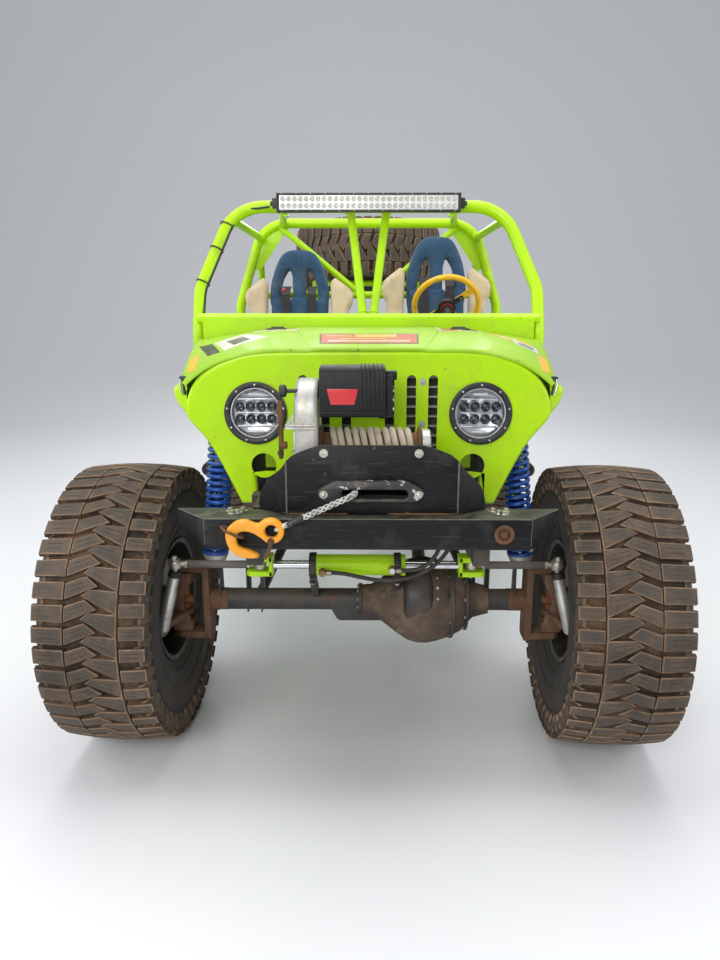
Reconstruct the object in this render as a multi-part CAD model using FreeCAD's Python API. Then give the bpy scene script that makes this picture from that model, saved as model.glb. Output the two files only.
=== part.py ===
import FreeCAD, Part
import math
import os
from functools import lru_cache

# A lifted off-road 4x4 with a tube cage, four big mud tyres, a winch at the front and a spare on its tail.
# Millimetres. +Z is up, the vehicle faces -Y, and +X is its left-hand side.
# The origin is on the floor under the middle of the vehicle's box.

Vec = FreeCAD.Vector
AXIS_X = Vec(1, 0, 0)
AXIS_Y = Vec(0, 1, 0)
AXIS_Z = Vec(0, 0, 1)
ORIGIN = Vec(0, 0, 0)
FULL_TURN = 360.0

# Driving dimensions
wheelbase = 2700.0
front_axle_y = -1356.5
wheel_x = 840.0
tyre_r = 500.0
kingpin_x = 680.0
rest_steer = -2.5
rail_x = 350.0
rail_w = 50.0
rail_h = 100.0
rail_bottom_z = 780.0
running_gap = 0.3
steep_share = 0.9
cage_tube_d = 50.8
body_half_x = 679.0
cage_leg_x = body_half_x + cage_tube_d / 2 + running_gap
cut_over = 60.0
round_sides = 12
small_sides = 8
small_d = 52.0
wheel_sides = 24
bend_steps = 4

rear_axle_y = front_axle_y + wheelbase
axle_z = tyre_r
rail_top_z = rail_bottom_z + rail_h
rail_mid_z = rail_bottom_z + rail_h / 2
rail_in_x = rail_x - rail_w / 2
rail_out_x = rail_x + rail_w / 2


def behind(distance):
    return front_axle_y + distance


def block(x0, x1, y0, y1, z0, z1):
    return Part.makeBox(x1 - x0, y1 - y0, z1 - z0, Vec(x0, y0, z0))


def loop(points):
    return Part.makePolygon(points + points[:1])


def closed_solid(faces):
    solid = Part.Solid(Part.Shell(faces))
    if solid.Volume < 0:
        solid.reverse()
    return solid


def round_points(centre, axis, radius, sides):
    """The corners of a regular polygon that stands for a circle, so that every face stays flat."""
    along = Vec(axis).normalize()
    across = AXIS_Z if abs(along.z) < steep_share else AXIS_X
    first = along.cross(across).normalize()
    second = along.cross(first)
    points = []
    for index in range(sides):
        angle = 2 * math.pi * (index + 0.5) / sides
        points.append(centre + first * (radius * math.cos(angle)) + second * (radius * math.sin(angle)))
    return points


def mixed(first, second, share):
    return first + (second - first) * share


def sides_for(diameter):
    return small_sides if diameter < small_d else round_sides


def rod(start, end, diameter, sides=None):
    sides = sides or sides_for(diameter)
    return Part.Face(loop(round_points(start, end - start, diameter / 2, sides))).extrude(end - start)


def pipe(start, end, outer_d, bore_d, sides=None):
    return rod(start, end, outer_d, sides).cut(rod(start, end, bore_d, sides))


def clear_d(diameter):
    """The size of a faceted bore whose flats clear the corners of a round piece that turns in it."""
    return (diameter + 2 * running_gap) / math.cos(math.pi / sides_for(diameter))


def prism(points, depth):
    return Part.Face(loop(points)).extrude(depth)


def skin(rings, closed):
    """Flat faces between rings of points that follow each other along a tube or round a turned piece."""
    faces = []
    followers = rings[1:] + (rings[:1] if closed else [])
    for ring, follower in zip(rings, followers):
        for index in range(len(ring)):
            after = (index + 1) % len(ring)
            faces.append(Part.Face(loop([ring[index], ring[after], follower[after], follower[index]])))
    if not closed:
        faces.append(Part.Face(loop(rings[0])))
        faces.append(Part.Face(loop(rings[-1])))
    return closed_solid(faces)


def turned(profile, centre, sides=wheel_sides):
    """A piece turned about an axle along X, from (x, radius) corners."""
    rings = []
    for index in range(sides):
        angle = 2 * math.pi * index / sides
        rings.append([centre + ring_point(x, radius, angle) for x, radius in profile])
    return skin(rings, True)


def two_flats(a, b, c, d):
    return [Part.Face(loop([a, b, c])), Part.Face(loop([a, c, d]))]


def ruled_solid(ring_a, ring_b):
    """A solid between two rings of as many points, with every side split into flat triangles."""
    faces = [Part.Face(loop(ring_a)), Part.Face(loop(ring_b))]
    for index in range(len(ring_a)):
        after = (index + 1) % len(ring_a)
        faces += two_flats(ring_a[index], ring_a[after], ring_b[after], ring_b[index])
    return closed_solid(faces)


def ring_point(x, radius, angle):
    return Vec(x, radius * math.sin(angle), radius * math.cos(angle))


def round_ring(centre, axis, ring_r, bar_d, count, sides):
    """A closed ring of round bar."""
    along = Vec(axis).normalize()
    rings = []
    for corner in round_points(centre, along, ring_r, count):
        outward = (corner - centre).normalize()
        ring = []
        for index in range(sides):
            angle = 2 * math.pi * (index + 0.5) / sides
            sideways = outward * math.cos(angle) + along * math.sin(angle)
            ring.append(corner + sideways * (bar_d / 2))
        rings.append(ring)
    return skin(rings, True)


def bent_path(points, bend_r, steps):
    """Straight runs with each corner rounded to bend_r by a few short chords."""
    path = [points[0]]
    for before, corner, after in zip(points, points[1:], points[2:]):
        into = (corner - before).normalize()
        out = (after - corner).normalize()
        turn = into.getAngle(out)
        start = corner - into * (bend_r * math.tan(turn / 2))
        inward = (out - into).normalize()
        centre = corner + inward * (bend_r / math.cos(turn / 2))
        normal = into.cross(out).normalize()
        for step in range(steps + 1):
            swing = FreeCAD.Rotation(normal, math.degrees(turn) * step / steps)
            path.append(centre + swing.multVec(start - centre))
    path.append(points[-1])
    return path


def tube_along(path, diameter, sides=round_sides):
    """A round bar along a path, mitred at each point."""
    heading = (path[1] - path[0]).normalize()
    ring = round_points(path[0], heading, diameter / 2, sides)
    rings = [ring]
    for index in range(1, len(path)):
        heading = (path[index] - path[index - 1]).normalize()
        facing = heading
        if index + 1 < len(path):
            facing = (heading + (path[index + 1] - path[index]).normalize()).normalize()
        ring = [point + heading * ((path[index] - point).dot(facing) / heading.dot(facing)) for point in ring]
        rings.append(ring)
    return skin(rings, False)


def bent_tube(points, diameter, bend_r, sides=round_sides, steps=bend_steps):
    return tube_along(bent_path(points, bend_r, steps), diameter, sides)


def fused(shapes):
    whole = shapes[0]
    if len(shapes) > 1:
        whole = whole.multiFuse(shapes[1:])
    return whole.removeSplitter()


def cut_by(shape, tools):
    for tool in tools:
        shape = shape.cut(tool)
    return shape


def flipped(shape):
    return shape.mirror(ORIGIN, AXIS_X)


def both_sides(shape):
    return [shape, flipped(shape)]


def steered(shape, side):
    """Turns what a kingpin carries by the steering angle that the vehicle is parked with."""
    turned_shape = shape.copy()
    turned_shape.rotate(Vec(side * kingpin_x, front_axle_y, 0), AXIS_Z, rest_steer)
    return turned_shape


# Chassis: two box rails, cross tubes, spring towers, outriggers for the sills and legs for the winch tray
rail_front = -400.0
rail_tail = 320.0
rail_rear = wheelbase + rail_tail
cross_tube_d = 60.0
link_cross_front = 1100.0
link_reach_rear = 1080.0
link_cross_rear = wheelbase - link_reach_rear
tail_cross = rail_rear - cross_tube_d
belly_z = 690.0
belly_half_x = 320.0
belly_thick = 8.0
hanger_w = 40.0
tower_half_y = 90.0
tower_plate = 8.0
tower_top_z = 1262.0
tower_out_x = 545.0
outrigger_shares = [0.06, 0.495, 0.937]
outrigger_d = 50.0
sill_x = body_half_x + 11.0
sill_d = 60.0
sill_z = 865.0
winch_leg_at = -250.0
winch_leg_w = 50.0
bumper_top_z = 964.0
upper_link_at = 650.0
upper_link_z = 745.0
rear_tower_shift = -70.0


def spring_tower(y_middle):
    web = block(rail_out_x, rail_out_x + tower_plate, y_middle - tower_half_y, y_middle + tower_half_y,
                rail_bottom_z, tower_top_z)
    shelf = block(rail_out_x, tower_out_x, y_middle - tower_half_y, y_middle + tower_half_y,
                  tower_top_z - tower_plate, tower_top_z)
    rib_points = [Vec(rail_out_x, y_middle - tower_half_y, tower_top_z - tower_plate),
                  Vec(tower_out_x, y_middle - tower_half_y, tower_top_z - tower_plate),
                  Vec(rail_out_x, y_middle - tower_half_y, rail_top_z)]
    rib = prism(rib_points, AXIS_Y * tower_plate)
    far_rib = rib.copy()
    far_rib.translate(AXIS_Y * (2 * tower_half_y - tower_plate))
    return fused([web, shelf, rib, far_rib])


@lru_cache
def chassis_frame():
    rail = block(rail_in_x, rail_out_x, behind(rail_front), behind(rail_rear), rail_bottom_z, rail_top_z)
    leg = block(rail_x - winch_leg_w / 2, rail_x + winch_leg_w / 2, behind(winch_leg_at),
                behind(winch_leg_at) + winch_leg_w, rail_mid_z, bumper_top_z)
    head = block(rail_in_x, rail_out_x, behind(rail_front), behind(rail_front) + tower_plate,
                 rail_bottom_z, bumper_top_z)
    one_side = [rail, leg, head]
    for share in outrigger_shares:
        y = behind(mixed(sill_front, sill_rear, share))
        one_side.append(rod(Vec(rail_x, y, rail_mid_z), Vec(sill_x, y, rail_mid_z), outrigger_d))
    for y in [link_cross_front, link_cross_rear]:
        one_side.append(block(rail_in_x, rail_out_x, behind(y) - hanger_w, behind(y) + hanger_w,
                              belly_z, rail_mid_z))
    for y in [upper_link_at, wheelbase - upper_link_at]:
        one_side.append(block(rail_in_x, rail_out_x, behind(y), behind(y) + hanger_w, belly_z, rail_mid_z))
    shapes = []
    for solid in one_side:
        shapes += both_sides(solid)
    for y in [0.0, wheelbase + rear_tower_shift]:
        shapes += both_sides(spring_tower(behind(y)))
    for y in [link_cross_front, link_cross_rear]:
        shapes.append(rod(Vec(-rail_x, behind(y), belly_z + cross_tube_d / 2),
                          Vec(rail_x, behind(y), belly_z + cross_tube_d / 2), cross_tube_d))
    shapes.append(block(-belly_half_x, belly_half_x, behind(link_cross_front), behind(link_cross_rear),
                        belly_z, belly_z + belly_thick))
    shapes.append(rod(Vec(-rail_x, behind(tail_cross), rail_mid_z), Vec(rail_x, behind(tail_cross),
                                                                        rail_mid_z),
                      cross_tube_d))
    whole = fused(shapes)
    sills = fused(sill_rails_solids())
    return whole.cut(sills)


# Sills: the outer tubes that the cage stands on
sill_front = 545.0
sill_to_axle = 570.0
sill_rear = wheelbase - sill_to_axle


def sill_rails_solids():
    sill = rod(Vec(sill_x, behind(sill_front), sill_z), Vec(sill_x, behind(sill_rear), sill_z), sill_d)
    return both_sides(sill)


@lru_cache
def sill_rails():
    return Part.Compound(sill_rails_solids())


# Tub: sheet floor, tunnel, bulkheads and cut-down sides
tub_half_x = body_half_x
tub_sheet = 5.0
tub_floor_z = rail_top_z
tub_front = 530.0
tub_rear = sill_rear - 10.0
bulkhead_to_axle = 980.0
seat_bulkhead_at = wheelbase - bulkhead_to_axle
tub_rail_z = 1400.0
tub_side_z = 1180.0
tub_side_foot_z = 900.0
tub_post_front = 760.0
post_to_axle = 1200.0
tub_post_rear = wheelbase - post_to_axle
tunnel_half_x = 112.0
tunnel_top_z = 1085.0
tunnel_rear = 1420.0
tail_floor_z = 1100.0
tail_floor_rear = rail_rear - 30.0
tail_half_x = 330.0
scuttle_foot_z = 1405.0


@lru_cache
def body_tub():
    floor = block(-tub_half_x, tub_half_x, behind(tub_front), behind(tub_rear), tub_floor_z,
                  tub_floor_z + tub_sheet)
    floor = floor.cut(block(-tunnel_half_x, tunnel_half_x, behind(tub_front) - cut_over, behind(tunnel_rear),
                            tub_floor_z - cut_over, tunnel_top_z))
    shell = block(-tunnel_half_x - tub_sheet, tunnel_half_x + tub_sheet, behind(tub_front),
                  behind(tunnel_rear) + tub_sheet, tub_floor_z, tunnel_top_z + tub_sheet)
    tunnel_space = block(-tunnel_half_x, tunnel_half_x, behind(tub_front) - cut_over, behind(tunnel_rear),
                         tub_floor_z - cut_over, tunnel_top_z)
    tunnel = shell.cut(tunnel_space)
    fire_wall = block(-tub_half_x, tub_half_x, behind(tub_front), behind(tub_front) + tub_sheet,
                      tub_floor_z, scuttle_foot_z)
    fire_wall = fire_wall.cut(tunnel_space)
    back_wall = block(-tub_half_x, tub_half_x, behind(seat_bulkhead_at), behind(seat_bulkhead_at) + tub_sheet,
                      tub_floor_z, tub_rail_z)
    side_points = [Vec(tub_half_x, behind(tub_front), tub_side_foot_z),
                   Vec(tub_half_x, behind(tub_rear), tub_side_foot_z),
                   Vec(tub_half_x, behind(tub_rear), tub_rail_z),
                   Vec(tub_half_x, behind(tub_post_rear), tub_rail_z),
                   Vec(tub_half_x, behind(tub_post_rear) - (tub_rail_z - tub_side_z) / 2, tub_side_z),
                   Vec(tub_half_x, behind(tub_post_front) + (tub_rail_z - tub_side_z) / 2, tub_side_z),
                   Vec(tub_half_x, behind(tub_post_front), tub_rail_z),
                   Vec(tub_half_x, behind(tub_front), tub_rail_z)]
    side = prism(side_points, AXIS_X * -tub_sheet)
    foot = block(tub_half_x - tub_sheet, tub_half_x, behind(tub_front), behind(tub_rear), tub_floor_z,
                 tub_side_foot_z)
    tail_floor = block(-tail_half_x, tail_half_x, behind(seat_bulkhead_at), behind(tail_floor_rear),
                       tail_floor_z, tail_floor_z + tub_sheet)
    shelf = block(-tub_half_x, tub_half_x, behind(seat_bulkhead_at), behind(tub_rear),
                  tail_floor_z, tail_floor_z + tub_sheet)
    tail_wall = block(-tub_half_x, tub_half_x, behind(tub_rear) - tub_sheet, behind(tub_rear), tail_floor_z,
                      tub_rail_z)
    whole = fused([floor, tunnel, fire_wall, back_wall, tail_floor, shelf, tail_wall]
                  + both_sides(side) + both_sides(foot))
    return cut_by(whole, [chassis_frame(), sill_rails()])


# Scuttle: the sloping panel behind the bonnet and the round bar on it
scuttle_bar_d = 50.0
scuttle_bar_at = 568.0
scuttle_bar_z = 1501.0
scuttle_sheet = 5.0
dash_h = 60.0


@lru_cache
def scuttle():
    bar = rod(Vec(-cage_leg_x, behind(scuttle_bar_at), scuttle_bar_z),
              Vec(cage_leg_x, behind(scuttle_bar_at), scuttle_bar_z), scuttle_bar_d)
    panel = block(-tub_half_x, tub_half_x, behind(tub_front), behind(tub_front) + scuttle_sheet,
                  scuttle_foot_z, scuttle_bar_z)
    roof = block(-tub_half_x, tub_half_x, behind(tub_front), behind(scuttle_bar_at),
                 scuttle_bar_z - scuttle_sheet / 2, scuttle_bar_z + scuttle_sheet / 2)
    dash = block(-tub_half_x + tub_sheet, tub_half_x - tub_sheet, behind(scuttle_bar_at) + scuttle_bar_d,
                 behind(scuttle_bar_at) + scuttle_bar_d + scuttle_sheet, tub_rail_z - dash_h, tub_rail_z + dash_h)
    shelf = block(-tub_half_x + tub_sheet, tub_half_x - tub_sheet, behind(tub_front) + scuttle_sheet,
                  behind(scuttle_bar_at) + scuttle_bar_d, tub_rail_z, tub_rail_z + scuttle_sheet)
    return cut_by(fused([bar, panel, roof, dash, shelf]), [cage_front()])



# Cage: front hoop over the scuttle, main hoop behind the seats, rails and braces between them
hoop_bend_r = 180.0
hoop_sides = 10
leg_foot_z = sill_z + sill_d / 2
leg_kink_z = 1460.0
front_hoop_at = 568.0
front_hoop_shoulder_z = 1620.0
front_hoop_lean = 0.373
front_hoop_top_z = 1962.0
front_hoop_tuck = 135.7
front_hoop_corner_x = cage_leg_x - front_hoop_tuck
kink_bend_r = 260.0
main_hoop_to_axle = 1090.0
main_hoop_at = wheelbase - main_hoop_to_axle
main_hoop_shoulder_z = 1550.0
main_hoop_top_z = 1980.0
main_hoop_tuck = 138.7
main_hoop_corner_x = cage_leg_x - main_hoop_tuck
roof_tube_d = 38.0
side_rail_front_in = 132.7
side_rail_rear_in = 121.7
side_rail_front_x = cage_leg_x - side_rail_front_in
side_rail_rear_x = cage_leg_x - side_rail_rear_in
side_rail_z = 1905.0
roof_rail_front_in = 208.0
roof_rail_rear_in = 106.0
roof_rail_front_x = front_hoop_corner_x - roof_rail_front_in
roof_rail_rear_x = main_hoop_corner_x - roof_rail_rear_in
strut_d = 35.0
strut_top_x = 78.0
strut_foot_x = 20.0
back_stay_top_in = 114.7
back_stay_top_x = cage_leg_x - back_stay_top_in
back_stay_top_z = 1925.0
back_stay_foot_x = body_half_x - roof_tube_d
back_stay_foot_at = tub_rear - roof_tube_d / 2 - tub_sheet
vee_foot_x = 40.0
vee_top_in = 66.0
vee_top_x = main_hoop_corner_x - vee_top_in
vee_foot_z = 1607.0
harness_bar_z = 1607.0
harness_bar_x = cage_leg_x - roof_tube_d / 2
spare_past_axle = 50.0
spare_at = wheelbase + spare_past_axle
tray_half_y = 300.0
tray_leg_at = [spare_at - tray_half_y + roof_tube_d / 2, tail_cross]


def hoop_y(z):
    return behind(front_hoop_at) + max(z - leg_kink_z, 0) * front_hoop_lean


def mirrored_x(point):
    return Vec(-point.x, point.y, point.z)


def tray_point(x, y):
    """A point on the centre-line of the spare's tray, which lies under the tilted spare."""
    tilt = math.radians(spare_tilt)
    below = (tyre_half_w + running_gap + roof_tube_d / 2) / math.cos(tilt)
    return Vec(x, y, spare_z - below - (y - behind(spare_at)) * math.tan(tilt))


@lru_cache
def cage_front():
    half = [(cage_leg_x, leg_foot_z), (cage_leg_x, leg_kink_z), (cage_leg_x, front_hoop_shoulder_z),
            (front_hoop_corner_x, front_hoop_top_z)]
    points = [Vec(x, hoop_y(z), z) for x, z in half]
    points += [Vec(-x, hoop_y(z), z) for x, z in reversed(half)]
    hoop = bent_tube(points, cage_tube_d, hoop_bend_r, hoop_sides)
    return hoop.cut(sill_rails())


@lru_cache
def cage_main():
    half = [(cage_leg_x, leg_foot_z), (cage_leg_x, main_hoop_shoulder_z),
            (main_hoop_corner_x, main_hoop_top_z)]
    points = [Vec(x, behind(main_hoop_at), z) for x, z in half]
    points += [Vec(-x, behind(main_hoop_at), z) for x, z in reversed(half)]
    hoop = bent_tube(points, cage_tube_d, hoop_bend_r, hoop_sides)
    return hoop.cut(sill_rails())


def cut_to_cage(shapes):
    return cut_by(fused(shapes), [cage_front(), cage_main(), body_tub(), scuttle(), chassis_frame()])


@lru_cache
def cage_rails():
    front_top_y = hoop_y(front_hoop_top_z)
    main_y = behind(main_hoop_at)
    one_side = [
        rod(Vec(side_rail_front_x, hoop_y(side_rail_z), side_rail_z),
            Vec(side_rail_rear_x, main_y, side_rail_z), roof_tube_d),
        rod(Vec(roof_rail_front_x, front_top_y, front_hoop_top_z),
            Vec(roof_rail_rear_x, main_y, main_hoop_top_z), roof_tube_d),
        rod(Vec(strut_top_x, front_top_y, front_hoop_top_z),
            Vec(strut_foot_x, hoop_y(scuttle_bar_z), scuttle_bar_z), strut_d),
        rod(Vec(back_stay_top_x, main_y, back_stay_top_z),
            Vec(back_stay_foot_x, behind(back_stay_foot_at), tub_rail_z), roof_tube_d),
    ]
    shapes = []
    for solid in one_side:
        shapes += both_sides(solid)
    return cut_to_cage(shapes)


@lru_cache
def cage_vee():
    """The bar that the belts hang on, with the two tubes that run up from it."""
    main_y = behind(main_hoop_at)
    bar_end = Vec(harness_bar_x, main_y, harness_bar_z)
    bar = rod(mirrored_x(bar_end), bar_end, roof_tube_d)
    leg = rod(Vec(vee_top_x, main_y, main_hoop_top_z), Vec(vee_foot_x, main_y, vee_foot_z), strut_d)
    return cut_to_cage([bar] + both_sides(leg))


def spare_tray():
    """Two bars and two crossings on four legs, on which the spare lies."""
    front_y, rear_y = behind(spare_at) - tray_half_y, behind(spare_at) + tray_half_y
    one_side = [rod(tray_point(rail_x, front_y), tray_point(rail_x, rear_y), roof_tube_d)]
    crossings = []
    for at in tray_leg_at:
        top = tray_point(rail_x, behind(at))
        one_side.append(rod(Vec(rail_x, behind(at), rail_top_z), top, roof_tube_d))
        crossings.append(rod(mirrored_x(top), top, roof_tube_d))
    shapes = crossings
    for solid in one_side:
        shapes += both_sides(solid)
    return cut_to_cage(shapes)


# Bumper: a folded channel, open to the rear, with swept ends
bumper_front = -512.0
bumper_back = -400.0
bumper_bottom_z = 867.0
bumper_half_x = 473.0
bumper_end_x = 594.0
bumper_end_at = -380.0
bumper_sheet = 6.0
bumper_chamfer = 48.0
bumper_chamfer_back = 42.0


def bumper_plan(inset):
    front = behind(bumper_front) + inset
    points = [Vec(-bumper_half_x + inset, front, 0), Vec(bumper_half_x - inset, front, 0),
              Vec(bumper_end_x - inset, behind(bumper_end_at), 0),
              Vec(bumper_end_x - inset, behind(bumper_back) + cut_over, 0),
              Vec(-bumper_end_x + inset, behind(bumper_back) + cut_over, 0),
              Vec(-bumper_end_x + inset, behind(bumper_end_at), 0)]
    return points


def bumper_body(inset):
    low = bumper_bottom_z + inset
    solid = prism([point + AXIS_Z * low for point in bumper_plan(inset)],
                  AXIS_Z * (bumper_top_z - inset - low))
    front = behind(bumper_front)
    wedge = prism([Vec(-bumper_end_x, front - inset, bumper_bottom_z + bumper_chamfer + inset),
                   Vec(-bumper_end_x, front - cut_over, bumper_bottom_z + bumper_chamfer + inset),
                   Vec(-bumper_end_x, front - cut_over, bumper_bottom_z - cut_over),
                   Vec(-bumper_end_x, front + bumper_chamfer_back, bumper_bottom_z - cut_over),
                   Vec(-bumper_end_x, front + bumper_chamfer_back, bumper_bottom_z + inset)],
                  AXIS_X * (2 * bumper_end_x))
    return solid.cut(wedge)


def front_bumper():
    outer = bumper_body(0)
    inner = bumper_body(bumper_sheet)
    behind_cut = block(-bumper_end_x, bumper_end_x, behind(bumper_back), behind(bumper_back) + 2 * cut_over,
                       bumper_bottom_z - cut_over, bumper_top_z + cut_over)
    shell = outer.cut(inner)
    mount = block(rail_in_x, rail_out_x, behind(bumper_front) + bumper_sheet, behind(bumper_back),
                  bumper_bottom_z + bumper_sheet, bumper_top_z - bumper_sheet)
    mount = mount.cut(wedge_clear())
    return fused([shell] + both_sides(mount)).cut(behind_cut)


def wedge_clear():
    return block(rail_in_x, rail_out_x, behind(bumper_front), behind(bumper_front) + bumper_chamfer_back
                 + bumper_sheet, bumper_bottom_z, bumper_bottom_z + bumper_chamfer + bumper_sheet)


# Winch mount: a tray on the bumper with a folded guard plate at its front
guard_front = -470.0
guard_sheet = 6.0
guard_top_z = 1167.0
guard_half_x = 250.0
guard_top_half_x = 209.0
guard_wing_x = 347.0
guard_wing_back = 60.0
guard_shoulder_z = 1120.0
guard_wing_top_z = 1060.0
tray_sheet = 6.0
winch_tray_rear = -200.0
rope_window_half_x = 85.0
rope_window_h = 34.0
fairlead_z = 1041.0


def guard_outline(y_front, wing):
    if wing:
        return [Vec(guard_half_x, y_front, bumper_top_z), Vec(guard_wing_x, y_front + guard_wing_back,
                                                              bumper_top_z),
                Vec(guard_wing_x, y_front + guard_wing_back, guard_wing_top_z),
                Vec(guard_half_x, y_front, guard_shoulder_z)]
    return [Vec(-guard_half_x, y_front, bumper_top_z), Vec(guard_half_x, y_front, bumper_top_z),
            Vec(guard_half_x, y_front, guard_shoulder_z), Vec(guard_top_half_x, y_front, guard_top_z),
            Vec(-guard_top_half_x, y_front, guard_top_z), Vec(-guard_half_x, y_front, guard_shoulder_z)]


def winch_plate():
    y_front = behind(guard_front)
    face = prism(guard_outline(y_front, False), AXIS_Y * guard_sheet)
    wing = prism(guard_outline(y_front, True), AXIS_Y * guard_sheet)
    tray = block(-guard_wing_x, guard_wing_x, y_front + guard_wing_back, behind(winch_tray_rear),
                 bumper_top_z, bumper_top_z + tray_sheet)
    fill = block(-guard_half_x, guard_half_x, y_front, y_front + guard_wing_back, bumper_top_z,
                 bumper_top_z + tray_sheet)
    window = block(-rope_window_half_x, rope_window_half_x, y_front - cut_over,
                   y_front + guard_sheet + cut_over,
                   fairlead_z - rope_window_h / 2, fairlead_z + rope_window_h / 2)
    glands = []
    for route in [hose_low_route, hose_high_route]:
        end = route_points(route)[-1]
        glands.append(rod(end, end + AXIS_Z * gland_h, port_d))
    return fused([face, tray, fill] + glands + both_sides(wing)).cut(window)


# Fairlead: the thick slotted guide on the guard plate
fairlead_half_x = 154.0
fairlead_h = 63.0
fairlead_thick = 25.0
fairlead_slot_half_x = 81.0
fairlead_slot_h = 26.0


def fairlead():
    front = behind(guard_front) - fairlead_thick
    body = block(-fairlead_half_x, fairlead_half_x, front, behind(guard_front),
                 fairlead_z - fairlead_h / 2, fairlead_z + fairlead_h / 2)
    body = body.makeFillet(fairlead_h / 4, [edge for edge in body.Edges if abs(edge.tangentAt(0).y) > steep_share])
    slot = block(-fairlead_slot_half_x, fairlead_slot_half_x, front - cut_over,
                 behind(guard_front) + cut_over,
                 fairlead_z - fairlead_slot_h / 2, fairlead_z + fairlead_slot_h / 2)
    return body.cut(slot)


# Winch: gear housing, control box, drum and its rope
winch_axis_at = -330.0
winch_axis_z = 1150.0
gear_axis_z = 1250.0
gear_x0 = -239.0
gear_x1 = -147.0
gear_d = 200.0
stand_x0 = 185.0
stand_x1 = 215.0
stand_d = 90.0
stand_drop = 15.0
foot_h = 60.0
tie_bar_d = 18.0
tie_bar_out = 1.5
box_x0 = -140.0
box_x1 = 80.0
box_front = -440.0
box_back = -300.0
box_skirt_back = -411.0
box_skirt_z = 1245.0
box_z0 = 1292.0
box_z1 = 1389.0
drum_flange_d = 110.0
drum_flange_w = 12.0
drum_core_d = 70.0
rope_coil_d = 100.0


def winch_point(x):
    return Vec(x, behind(winch_axis_at), winch_axis_z)


@lru_cache
def winch_housing():
    rise = AXIS_Z * (gear_axis_z - winch_axis_z)
    gear = rod(winch_point(gear_x0) + rise, winch_point(gear_x1) + rise, gear_d)
    stand = rod(winch_point(stand_x0), winch_point(stand_x1), stand_d)
    shapes = [gear, stand]
    for x0, x1, top_z in [(gear_x0, gear_x1, gear_axis_z), (stand_x0, stand_x1, winch_axis_z - stand_drop)]:
        shapes.append(block(x0, x1, behind(winch_axis_at) - gear_d / 2, behind(winch_axis_at) + gear_d / 2,
                            bumper_top_z + tray_sheet, top_z))
    for side in [-1, 1]:
        offset = AXIS_Y * (side * (drum_flange_d / 2 + tie_bar_d * tie_bar_out)) - AXIS_Z * foot_h / 2
        shapes.append(rod(winch_point(gear_x1) + offset, winch_point(stand_x0) + offset, tie_bar_d))
    return fused(shapes)


def winch_box():
    body = block(box_x0, box_x1, behind(box_front), behind(box_back), box_z0, box_z1)
    skirt = block(box_x0, box_x1, behind(box_front), behind(box_skirt_back), box_skirt_z, box_z0)
    bracket = block(gear_x1, box_x0, behind(winch_axis_at) - foot_h / 2, behind(winch_axis_at) + foot_h / 2,
                    box_z0, gear_axis_z + gear_d / 2 - foot_h / 4)
    return fused([body, skirt, bracket]).cut(winch_housing())


def winch_drum():
    core = rod(winch_point(gear_x1), winch_point(stand_x0), drum_core_d)
    left = rod(winch_point(gear_x1), winch_point(gear_x1 + drum_flange_w), drum_flange_d)
    right = rod(winch_point(stand_x0 - drum_flange_w), winch_point(stand_x0), drum_flange_d)
    return fused([core, left, right])


# Winch rope: the turns on the drum and the straight run out through the fairlead to the hook's eye
rope_d = 12.0
rope_exit_x = -35.0
hook_eye_x = -265.0
hook_eye_z = 935.0
rope_front = -530.0
rope_knee_at = -425.0


@lru_cache
def winch_rope():
    coil = pipe(winch_point(gear_x1 + drum_flange_w), winch_point(stand_x0 - drum_flange_w), rope_coil_d,
                drum_core_d)
    leave = Vec(rope_exit_x, behind(winch_axis_at) - rope_coil_d / 2, winch_axis_z)
    knee = Vec(rope_exit_x, behind(rope_knee_at), fairlead_z)
    lip = Vec(rope_exit_x, behind(rope_front), fairlead_z)
    eye = Vec(hook_eye_x, behind(hook_plane), hook_eye_z)
    run = bent_tube([leave, knee, lip, eye], rope_d, 2 * rope_d)
    return fused([coil, run])


# Tow hook and rings: the forged hook that hangs on the bumper face from the rope's eye
hook_plane = -532.0
hook_thick = 22.0
hook_centre_x = -345.0
hook_centre_z = 905.0
hook_outer_r = 52.0
hook_inner_r = 26.0
hook_eye_r = 24.0
ring_outer_r = 30.0
ring_bar_d = 14.0
ring_x = 393.0
ring_z = 920.0


def hook_disc(x, z, radius):
    start = Vec(x, behind(hook_plane) - hook_thick / 2, z)
    return rod(start, start + AXIS_Y * hook_thick, 2 * radius)


@lru_cache
def tow_hook():
    y0 = behind(hook_plane) - hook_thick / 2
    bowl = hook_disc(hook_centre_x, hook_centre_z, hook_outer_r).cut(
        hook_disc(hook_centre_x, hook_centre_z, hook_inner_r))
    mouth = block(hook_centre_x - hook_outer_r, hook_centre_x, y0, y0 + hook_thick, hook_centre_z,
                  hook_centre_z + hook_inner_r)
    shank = block(hook_centre_x, hook_eye_x, y0, y0 + hook_thick, hook_centre_z + hook_inner_r,
                  hook_centre_z + hook_outer_r)
    eye = hook_disc(hook_eye_x, hook_eye_z, hook_eye_r)
    bore = hook_disc(hook_eye_x, hook_eye_z, hook_eye_r / 2)
    return fused([bowl.cut(mouth), shank, eye]).cut(bore).cut(winch_rope())


def tow_rings():
    centre = Vec(ring_x, behind(bumper_front) - ring_bar_d / 2 - running_gap, ring_z)
    return round_ring(centre, AXIS_Y, ring_outer_r - ring_bar_d / 2, ring_bar_d, round_sides,
                      round_sides // 2)


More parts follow.
